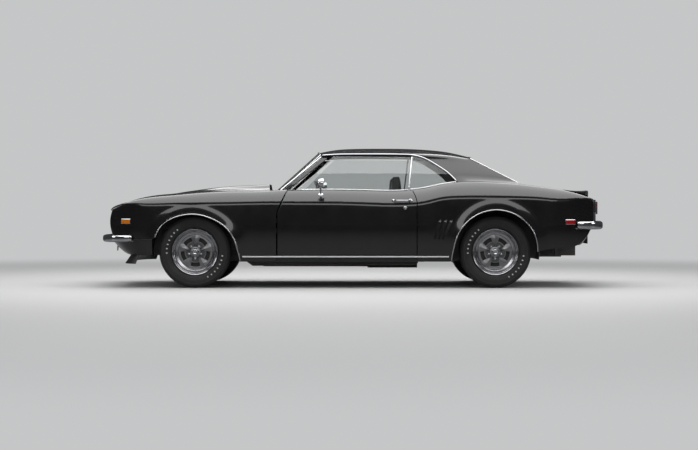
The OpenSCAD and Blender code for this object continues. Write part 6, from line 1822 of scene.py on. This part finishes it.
def arm_rest():
    y = on_card(0.0, 0.60)[1]
    return box_solid((-0.28, y - 0.058, 0.575), (0.12, y + 0.001, 0.615), 0.014)


def winder():
    at = moved(on_card(0.16, 0.56), QUARTER_TURN, "X")
    parts = [disc(WINDER_BASE, 24), box_solid((-0.006, 0, 0.012), (0.006, 0.085, 0.018), 0.002)]
    knob = placed(disc(WINDER_KNOB, 20), at @ Matrix.Translation((0, 0.08, 0)))
    pull = on_card(0.30, 0.72)
    lever = box_solid((0.22, pull[1] - 0.02, 0.712), (0.31, pull[1] - 0.008, 0.728), 0.004)
    return joined([placed(p, at) for p in parts] + [knob, put(disc(PULL_BASE, 20), pull, QUARTER_TURN, "X"), lever])


def pedals():
    parts = []
    for y, z, w in ((HELM_Y + 0.12, 0.38, 0.03), (HELM_Y, 0.38, 0.045), (HELM_Y - 0.13, 0.33, 0.022)):
        pad = box_solid((-0.006, -w, -0.04), (0.006, w, 0.04), 0.004)
        parts.append(put(pad, (0.72, y, z), math.radians(-25), "Y"))
        parts.append(round_bar([(0.722, y, z), (0.78, y, z + 0.12), (0.86, y, z + 0.16)], 12, OUT, 0.006, 8))
    return joined(parts)


def inside_mirror():
    x, z = 0.30, 1.165
    head = box_solid((x - 0.014, -0.11, z - 0.026), (x + 0.010, 0.11, z + 0.026), 0.008)
    glass = box_solid((x - 0.0155, -0.102, z - 0.02), (x - 0.013, 0.102, z + 0.02), 0.001)
    stalk = round_bar([(x, 0, z), (x + 0.02, 0, z + 0.045), (x + 0.018, 0, z + 0.075)], 8, OUT, 0.005, 8)
    return joined([head, stalk]), glass


def head_lining():
    x, v = np.meshgrid(np.linspace(SCREEN_TOP_X - 0.03, REAR_TOP_X + 0.05, 24), np.linspace(-0.93, 0.93, 25),
                       indexing="ij")
    y = v * rail_y(x)
    g = points(x, y, roof_z(x, y) - 0.0245)
    return closed(g, g + [0, 0, 0.0015])


add("floor_carpet", tunnel_carpet(), CARPET, smooth=False)
add("console", hulled([(x, s * y, z) for x, y, z in CONSOLE for s in (-1, 1)]), TRIM_VINYL, crease=30)
add("gear_lever", round_bar([(0.12, 0, 0.50), (0.11, 0, 0.60), (0.085, 0, 0.655)], 10, OUT, 0.006, 10), BRIGHT)
add("gear_knob", put(disc(GEAR_KNOB, 24), (0.083, 0, 0.668)), PLASTIC)
CARDS, RESTS, WINDERS = both(door_card()), both(arm_rest()), both(winder())
for side in SIDES:
    add(f"door_card_{side}", CARDS[side], TRIM_VINYL, f"door_{side}")
    add(f"arm_rest_{side}", RESTS[side], TRIM_VINYL, f"door_{side}", crease=35)
    add(f"winder_{side}", WINDERS[side], BRIGHT, f"door_{side}", crease=40)
add("pedals", pedals(), RUBBER)
head, glass = inside_mirror()
add("inside_mirror", head, PLASTIC, crease=40)
add("inside_mirror_face", glass, REFLECTOR, smooth=False)
add("head_lining", head_lining(), LINING)
print("cabin lined")

# %% [markdown]
# What the lids carry comes next: the solids of bonnet, boot lid and deck are replaced by their skins,
# so their hinge lugs, inner frames and the parcel shelf are made here again. An inner frame is the
# lid's own grid, drawn a little smaller and sunk below the skin.

# %% Lid frames, lugs and shelf
HINGE_PIN_R, LUG_L, FRAME_SINK = 0.0025, 0.03, 0.012
LUG_R = HINGE_PIN_R * 1.7


def lid_frame(us, vs, place):
    """A pressed frame under a lid: the outer band of its grid, with two crossing ribs."""
    g = plan_grid(us, vs, place)
    n = normals(g)
    g = g - n * (SKIN_T + 0.0004)
    u, v = np.meshgrid(us, vs, indexing="ij")
    rib = np.minimum.reduce([np.abs(u - 0.5) / 0.08, np.abs(np.abs(v) - 0.45) / 0.06,
                             np.minimum(u - us[0], us[-1] - u) / 0.08, (np.abs(vs).max() - np.abs(v)) / 0.06])
    drop = FRAME_SINK * smooth_step(1.6 - rib)
    return closed(g, g - n * (0.001 + drop)[..., None])


def lug(reach):
    """A flat eye round a hinge pin with a tongue that reaches under its lid."""
    bore = HINGE_PIN_R + 0.0002
    eye = lathe([(bore, -LUG_L), (LUG_R, -LUG_L), (LUG_R, 0), (bore, 0)], 20)
    low, high = sorted((math.copysign(LUG_R * 0.8, reach), reach))
    tongue = box_solid((low, -LUG_L, -LUG_R * 0.9), (high, 0, LUG_R * 0.4), 0.0008)
    return joined([put(eye, (0, 0, 0), -QUARTER_TURN, "X"), tongue])


edge = np.linspace(0.94, -0.94, 41)
add("bonnet_frame", lid_frame(np.linspace(0.07, 0.92, 34), edge, bonnet_place), STEEL, "bonnet", ["bonnet"])
add("boot_frame", lid_frame(np.linspace(0.06, 0.9, 24), edge, boot_place), STEEL, "boot_lid", ["boot_lid"])
y = float(seam_y(BONNET_REAR_X)) - LID_GAP - LUG_L * 1.8
x = float(bonnet_rear(y)) + LUG_R
BONNET_PIN = x, y, float(bonnet_z(x, y)) - SKIN_T * 1.5 - HINGE_PIN_R
x = BOOT_FRONT_X + DOOR_GAP
BOOT_PIN = x, HALF_W * 0.6 - LUG_L, float(deck_z(x, 0)) - 0.0109
# lid: pin, reach of its lug, then start, end and height of the riser on it
LUGS = {"bonnet": ("bonnet", BONNET_PIN, LUG_R * 3, LUG_R * 1.5, LUG_R * 3, SKIN_T * 1.5),
        "boot": ("boot_lid", BOOT_PIN, -DOOR_GAP - LUG_R * 3, -DOOR_GAP - LUG_R * 3, -DOOR_GAP - LUG_R, SKIN_T)}
for name, (body, (x, y, z), reach, start, end, tall) in LUGS.items():
    riser = box_solid((x + start, y - LUG_L, z - 0.002), (x + end, y, z + tall), 0.0008)
    add(f"{name}_lugs", joined([mirror_pair(put(lug(reach), (x, y, z))), mirror_pair(riser)]), STEEL, body, crease=40)
shelf = box_solid((BOOT_FRONT_X, -REAR_HALF, COWL_Z), (REAR_TOP_X, REAR_HALF, COWL_Z + SKIN_T), 0.001)
add("parcel_shelf", shelf, TRIM_VINYL, "body", ["deck_panel"], smooth=False)
speaker = [lathe([(0.062, 0), (0.066, 0.003), (0.062, 0.006), (0.0, 0.006)], 40)]
speaker += [lathe([(r, 0.001), (r + 0.004, 0.001), (r + 0.004, 0.006), (r, 0.006)], 36)
            for r in (0.012, 0.024, 0.036, 0.048)]
add("shelf_speakers", mirror_pair(put(joined(speaker), (-1.24, 0.30, COWL_Z + SKIN_T))), PLASTIC, crease=40)
print("lids framed")

# %% [markdown]
# The engine stays one plain block in the solid model. Here it gets what one looks for under a bonnet:
# valve covers with bolts, a round air cleaner, ignition parts, a fan with its belt, hoses, a battery
# and a brake servo. Tubes are swept along a few points.

# %% Engine bay
ENGINE_X0, ENGINE_X1, ENGINE_HALF, ENGINE_TOP = HALF_L * 0.44, HALF_L * 0.72, HALF_W * 0.3, BODY_H * 0.59
TUBE_SIDE = np.array([0.31, 0.27, 0.91])
COVER_SECTION = ((-0.06, -0.01), (0.06, -0.01), (-0.055, 0.028), (0.055, 0.028), (-0.035, 0.042), (0.035, 0.042))
COVER_BOLT = [(0, 0), (0.009, 0), (0.009, 0.006), (0.005, 0.009), (0, 0.009)]
FAN_HUB = [(0, -0.075), (0.03, -0.075), (0.03, -0.02), (0.06, -0.02), (0.06, 0.016), (0.03, 0.02), (0, 0.02)]
ALTERNATOR = [(0, -0.15), (0.055, -0.15), (0.06, -0.14), (0.06, -0.03), (0.052, -0.02), (0, -0.015)]
BELT_SECTION = [(-0.004, -0.006), (0.004, -0.006), (0.004, 0.006), (-0.004, 0.006)]
SERVO = [(0, 0), (0.09, 0), (0.11, 0.012), (0.112, 0.03), (0.10, 0.06), (0.06, 0.085), (0.025, 0.09), (0.02, 0.22),
         (0, 0.22)]
DISTRIBUTOR = [(0, 0), (0.045, 0), (0.048, 0.02), (0.042, 0.045), (0.02, 0.055), (0, 0.056)]
BATTERY_TOP = 0.70


def tube(given, r, n=28, sides=12):
    p = relaxed(line(given, n), 8)
    t = unit(np.gradient(p, axis=0))
    return sweep(p, TUBE_SIDE - t * (t @ TUBE_SIDE)[:, None], round_section(r, sides))


def valve_covers():
    covers, bolts = [], []
    for y in (-ENGINE_HALF * 0.72, ENGINE_HALF * 0.72):
        covers.append(hulled([(x, y + dy, ENGINE_TOP + dz) for x in (ENGINE_X0 + 0.06, ENGINE_X1 - 0.06)
                              for dy, dz in COVER_SECTION]))
        bolts += [put(disc(COVER_BOLT, 6), (x, y, ENGINE_TOP + 0.041))
                  for x in np.linspace(ENGINE_X0 + 0.1, ENGINE_X1 - 0.1, 4)]
    return joined(covers), joined(bolts)


def air_cleaner():
    r = HALF_W * 0.18
    body = disc([(0, 0), (r, 0), (r + 0.006, 0.004), (r + 0.006, 0.010), (r + 0.002, 0.014), (r + 0.002, 0.056),
                 (r + 0.006, 0.060), (r + 0.003, 0.068), (r * 0.8, 0.0745), (0.03, 0.0745), (0.012, 0.076),
                 (0.009, 0.083), (0, 0.084)], 64)
    return put(body, (HALF_L * 0.53, 0, ENGINE_TOP + 0.001))


def fan():
    at = moved((ENGINE_X1 + 0.075, 0, BODY_H * 0.42), QUARTER_TURN, "Y")
    blade = hulled([(a, b + c, d) for a, w in ((0.05, 0.018), (0.19, 0.04)) for b, d in ((-w, 0.012), (w, -0.012))
                    for c in (0.0, 0.003)])
    blades = [placed(blade, at @ Matrix.Rotation(math.radians(60 * k), 4, "Z")) for k in range(6)]
    return joined(blades + [placed(disc(FAN_HUB, 32), at)])


def fan_drive():
    x = ENGINE_X1 + 0.03
    wheels = [(0.0, BODY_H * 0.42, 0.06), (0.0, BODY_H * 0.30, 0.075), (0.19, BODY_H * 0.45, 0.04)]
    parts = [put(lathe([(r * 0.2, -0.012), (r, -0.012), (r * 0.9, 0), (r, 0.012), (r * 0.2, 0.012)], 32),
                 (x, y, z), QUARTER_TURN, "Y") for y, z, r in wheels]
    parts.append(put(disc(ALTERNATOR, 32), (x, *wheels[2][:2]), QUARTER_TURN, "Y"))
    ring = np.array([(y + r * math.cos(a), z + r * math.sin(a)) for y, z, r in wheels
                     for a in np.linspace(0, 2 * math.pi, 24, endpoint=False)])
    mid = ring.mean(0)
    hull = hulled([(0.0, *q) for q in ring] + [(0.001, *mid)])[0]
    flat = np.array([p[1:] for p in hull if abs(p[0]) < 1e-6])
    flat = flat[np.argsort(np.arctan2(flat[:, 1] - mid[1], flat[:, 0] - mid[0]))]
    return joined(parts), loop_sweep(points(x, flat[:, 0], flat[:, 1]), AHEAD, BELT_SECTION)


def bay_fittings():
    battery = box_solid((1.62, -0.395, 0.53), (1.80, -0.225, BATTERY_TOP), 0.008)
    cap = disc([(0, 0), (0.012, 0), (0.012, 0.008), (0, 0.009)], 12)
    caps = [put(cap, (1.65 + 0.024 * k, -0.31, BATTERY_TOP)) for k in range(6)]
    post = disc([(0, 0), (0.011, 0), (0.009, 0.02), (0, 0.02)], 16)
    posts = [put(post, (x, -0.25, BATTERY_TOP)) for x in (1.65, 1.77)]
    return joined([battery] + caps), joined(posts + [put(disc(SERVO, 40), (0.885, 0.30, 0.66), QUARTER_TURN, "Y")])


covers, bolts = valve_covers()
add("valve_covers", covers, CHROME, crease=30)
add("valve_cover_bolts", bolts, STEEL, crease=30)
add("air_cleaner", air_cleaner(), CHROME, crease=40)
add("fan", fan(), STEEL, crease=40)
pulleys, strap = fan_drive()
add("pulleys", pulleys, ALUMINIUM, crease=40)
add("fan_belt", strap, RUBBER)
low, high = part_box("radiator")
hoses = [tube([(ENGINE_X1 - 0.03, 0.08, ENGINE_TOP - 0.01), (ENGINE_X1 + 0.06, 0.10, ENGINE_TOP + 0.03),
               (low.x - 0.06, 0.20, high.z - 0.03), (low.x + 0.01, 0.20, high.z - 0.04)], 0.021)]
hoses += [tube([(ENGINE_X0 + 0.05, -0.16 - d, ENGINE_TOP), (ENGINE_X0 - 0.05, -0.22 - d, ENGINE_TOP + 0.03),
                (0.885, -0.30 - d, ENGINE_TOP - 0.03)], 0.011) for d in (0, 0.05)]
leads = [tube([(ENGINE_X0 + 0.05, 0.0, ENGINE_TOP + 0.05), (ENGINE_X0 + 0.02 + 0.1 * k, s * 0.12, ENGINE_TOP + 0.075),
               (ENGINE_X0 + 0.10 + 0.13 * k, s * (ENGINE_HALF + 0.012), ENGINE_TOP - 0.06)], 0.004, 24, 8)
         for k in range(4) for s in (-1, 1)]
add("hoses", joined(hoses), RUBBER)
add("ignition_leads", joined(leads), PLASTIC)
add("distributor", put(disc(DISTRIBUTOR, 28), (ENGINE_X0 + 0.045, 0, ENGINE_TOP)), PLASTIC)
battery, metal = bay_fittings()
add("battery", battery, PLASTIC, crease=35)
add("brake_servo", metal, ALUMINIUM, crease=40)
fins = [box_solid((x0, low.y + 0.03, z), (x1, high.y - 0.03, z + 0.003), 0.0008)
        for x0, x1 in ((low.x - 0.004, low.x + 0.001), (high.x - 0.001, high.x + 0.003))
        for z in np.arange(low.z + 0.03, high.z - 0.05, 0.009)]
add("radiator_fins", joined(fins), ALUMINIUM, smooth=False)
print("engine bay dressed")

# %% [markdown]
# Every solid that still shows gets a finish too. Castings, pipes and pressed steel differ, and all of
# them but the underseal are dustier or more worn the longer they have run. Solids with rounded faces
# are shaded smooth.

# %% Finishes for the solids that stay
KEPT = {"engine": CAST, "radiator": STEEL, "front_subframe": STEEL, "inner_wings": STEEL, "rear_axle": STEEL,
        "driveshaft": STEEL, "exhaust": PIPE, "fuel_tank": STEEL, "floor_pan": UNDERSEAL, "firewall": STEEL,
        "plate_bracket": STEEL, "door_hinges": STEEL, "lid_hinges": STEEL, "knuckle_left": CAST,
        "knuckle_right": CAST}
for name, material in KEPT.items():
    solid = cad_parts[name]
    solid.data.materials.clear()
    solid.data.materials.append(material)
    solid.data.polygons.foreach_set("material_index", [0] * len(solid.data.polygons))
    solid.data.polygons.foreach_set("use_smooth", [True] * len(solid.data.polygons))
    sharp_by_angle(solid, 30)
left = [n for n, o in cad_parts.items() if not o.hide_render and n not in KEPT]
print("solids still without a finish:", left)

# %% [markdown]
# Below, a few parts break up the plain solids: leaves and clips on the springs, dampers, bolts on the
# differential cover, straps round the tank, and plates that close the floor behind the front wheels.

# %% Chassis details
SPRING_Y, TUBE_R, LEAF_T = HALF_W * 0.56, 0.038, 0.0085
DAMPER_LOW, DAMPER_TOP = np.array([REAR_X + 0.03, 0.43, 0.27]), np.array([REAR_X - 0.10, 0.33, 0.425])
DIFF_BOLTS, DIFF_BOLT_R = 10, 0.078
STRAP_Y, STRAP_HALF = 0.25, 0.014


def springs():
    z = HUB_Z - TUBE_R - 0.012
    leaves = [box_solid((REAR_X - l, SPRING_Y - 0.03, z - LEAF_T * (k + 1)),
                        (REAR_X + l, SPRING_Y + 0.03, z - LEAF_T * k - 0.0005), 0.002)
              for k in range(3) for l in [0.42 - 0.11 * k]]
    clips = [round_bar([(x, y, z - 0.04), (x, y, HUB_Z + TUBE_R + 0.004)], 6, AHEAD, 0.006, 8)
             for x in (REAR_X - 0.035, REAR_X + 0.035) for y in (SPRING_Y - 0.036, SPRING_Y + 0.036)]
    return joined(leaves + clips)


def dampers():
    side = unit(np.cross(unit(DAMPER_TOP - DAMPER_LOW), OUT))
    body = round_bar([DAMPER_LOW, mix(DAMPER_LOW, DAMPER_TOP, 0.55)], 6, side, 0.026, 20)
    return joined([body, round_bar([mix(DAMPER_LOW, DAMPER_TOP, 0.5), DAMPER_TOP], 6, side, 0.018, 16)])


def diff_cover():
    bolt = disc([(0, -0.004), (0.0075, -0.004), (0.0075, 0.006), (0, 0.006)], 6)
    turns = [2 * math.pi * k / DIFF_BOLTS for k in range(DIFF_BOLTS)]
    parts = [put(bolt, (REAR_X - 0.052, DIFF_BOLT_R * math.cos(a), HUB_Z + DIFF_BOLT_R * math.sin(a)),
                 -QUARTER_TURN, "Y") for a in turns]
    flange = lathe([(0.066, 0), (0.088, 0), (0.088, 0.006), (0.066, 0.006)], 48)
    return joined(parts + [put(flange, (REAR_X - 0.046, 0, HUB_Z), -QUARTER_TURN, "Y")])


low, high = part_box("fuel_tank")
spans = [(low.x - 0.002, high.x + 0.002, low.z + 0.0005, y) for y in (-STRAP_Y, STRAP_Y)]
spans += [(x, x + 0.0025, high.z, y) for y in (-STRAP_Y, STRAP_Y) for x in (low.x - 0.002, high.x - 0.0005)]
straps = [box_solid((x0, y - STRAP_HALF, low.z - 0.002), (x1, y + STRAP_HALF, top), 0.0006) for x0, x1, top, y in spans]
add("spring_leaves", mirror_pair(springs()), STEEL, crease=35)
add("dampers", mirror_pair(dampers()), ALUMINIUM)
add("diff_cover", diff_cover(), CAST, crease=35)
add("tank_straps", joined(straps), ALUMINIUM, smooth=False)
low_z = SILL_Z + 0.0025
plate = box_solid((DOOR_FRONT_X - 0.002, 0.6, low_z), (FRONT_X - ARCH_R * 1.185,
                  float(side_y(0.85, low_z)) - SKIN_T * 0.6, low_z + 0.004), 0.001)
add("splash_plates", mirror_pair(plate), UNDERSEAL, smooth=False)
print("chassis detailed")

# %% [markdown]
# The studio is plain: a wide pale floor under an even surround, and one large soft panel overhead, as
# in the photo's room. Black paint has hardly any colour of its own, so what it mirrors draws the shape.
# Floor and surround are therefore darker to glossy rays than to the camera. Far from the car the floor
# fades into the tone of the surround, and from below it is left out, so the car can be seen from there.

# %% Studio
FADE_START, FADE_END, FLOOR_HALF = 4.0, 11.0, 60.0
EVEN = (0.56, 0.565, 0.57, 1)
# size, place, turn and power of each light panel
PANELS = {"panel_over": ((9.0, 8.4), (0.0, -0.6, 4.3), (0, 0, 0), 680),
          "panel_side": ((9.0, 2.2), (0.0, 8.5, 3.6), (math.radians(-66), 0, 0), 130),
          "panel_nose": ((2.5, 2.5), (7.5, 2.0, 3.0), (0, math.radians(65), 0), 80),
          "panel_tail": ((2.5, 2.5), (-7.5, 2.0, 3.0), (0, math.radians(-65), 0), 80)}
PHOTO_W, FOCAL_PIXELS, SENSOR = 698, 1721, 36
EYE, AIM = (0, 16.55, 0.684), (0.035, 0, 0.569)


def seen_directly(tree, rays):
    """One for rays that come from the camera, straight or through glass."""
    direct = node(tree, "Math", operation="MAXIMUM")
    wire(tree, (rays, "Is Camera Ray", direct, 0), (rays, "Is Transmission Ray", direct, 1))
    return direct


def floor_material():
    material = bpy.data.materials.new("studio_floor")
    material.use_nodes = True
    tree = material.node_tree
    lit, out = tree.nodes["Principled BSDF"], tree.nodes["Material Output"]
    lit.inputs["Roughness"].default_value = 0.5
    lit.inputs["Specular IOR Level"].default_value = 0.25
    rays = node(tree, "LightPath")
    tone = node(tree, "MixRGB", Color1=(0.46, 0.46, 0.455, 1), Color2=(0.13, 0.13, 0.133, 1))
    place, far = node(tree, "NewGeometry"), node(tree, "VectorMath", operation="LENGTH")
    fade = node(tree, "MapRange", interpolation_type="SMOOTHSTEP", From_Min=FADE_START, From_Max=FADE_END)
    direct, seen = seen_directly(tree, rays), node(tree, "Math", operation="MULTIPLY")
    even, clear = node(tree, "Emission", Color=EVEN, Strength=1.0), node(tree, "BsdfTransparent")
    blend, top = node(tree, "MixShader"), node(tree, "MixShader")
    wire(tree, (rays, "Is Glossy Ray", tone, "Fac"), (tone, "Color", lit, "Base Color"),
         (place, "Position", far, 0), (far, "Value", fade, "Value"),
         (fade, "Result", seen, 0), (direct, "Value", seen, 1), (seen, "Value", blend, 0),
         (lit, "BSDF", blend, 1), (even, "Emission", blend, 2), (place, "Backfacing", top, 0),
         (blend, "Shader", top, 1), (clear, "BSDF", top, 2), (top, "Shader", out, "Surface"))
    return material


def studio():
    mesh = bpy.data.meshes.new("studio_floor")
    corners = [(x * FLOOR_HALF, y * FLOOR_HALF, 0) for x, y in ((-1, -1), (1, -1), (1, 1), (-1, 1))]
    mesh.from_pydata(corners, [], [(0, 1, 2, 3)])
    mesh.materials.append(floor_material())
    made = [bpy.data.objects.new("studio_floor", mesh)]
    for name, (size, place, turn, power) in PANELS.items():
        lamp = bpy.data.lights.new(name, "AREA")
        lamp.shape, lamp.size, lamp.size_y, lamp.energy = "RECTANGLE", size[0], size[1], power
        made.append(bpy.data.objects.new(name, lamp))
        made[-1].location, made[-1].rotation_euler = place, turn
    for thing in made:
        bpy.context.scene.collection.objects.link(thing)


def world_light():
    """A pale surround for the camera, dim to reflections."""
    world = bpy.data.worlds.new("studio")
    bpy.context.scene.world = world
    world.use_nodes = True
    tree = world.node_tree
    back, rays = tree.nodes["Background"], node(tree, "LightPath")
    tone = node(tree, "MixRGB", Color1=(0.32, 0.328, 0.34, 1), Color2=(0.05, 0.05, 0.053, 1))
    seen = node(tree, "MixRGB", Color2=EVEN)
    wire(tree, (rays, "Is Glossy Ray", tone, "Fac"), (seen_directly(tree, rays), "Value", seen, "Fac"),
         (tone, "Color", seen, "Color1"), (seen, "Color", back, "Color"))


def camera():
    data = bpy.data.cameras.new("camera")
    data.sensor_width, data.lens = SENSOR, SENSOR * FOCAL_PIXELS / PHOTO_W
    eye = bpy.data.objects.new("camera", data)
    eye.location = EYE
    eye.rotation_euler = (Vector(AIM) - eye.location).to_track_quat("-Z", "Y").to_euler()
    bpy.context.scene.collection.objects.link(eye)
    bpy.context.scene.camera = eye


studio()
world_light()
camera()
bpy.context.scene.view_settings.view_transform = "Standard"
print("studio ready")
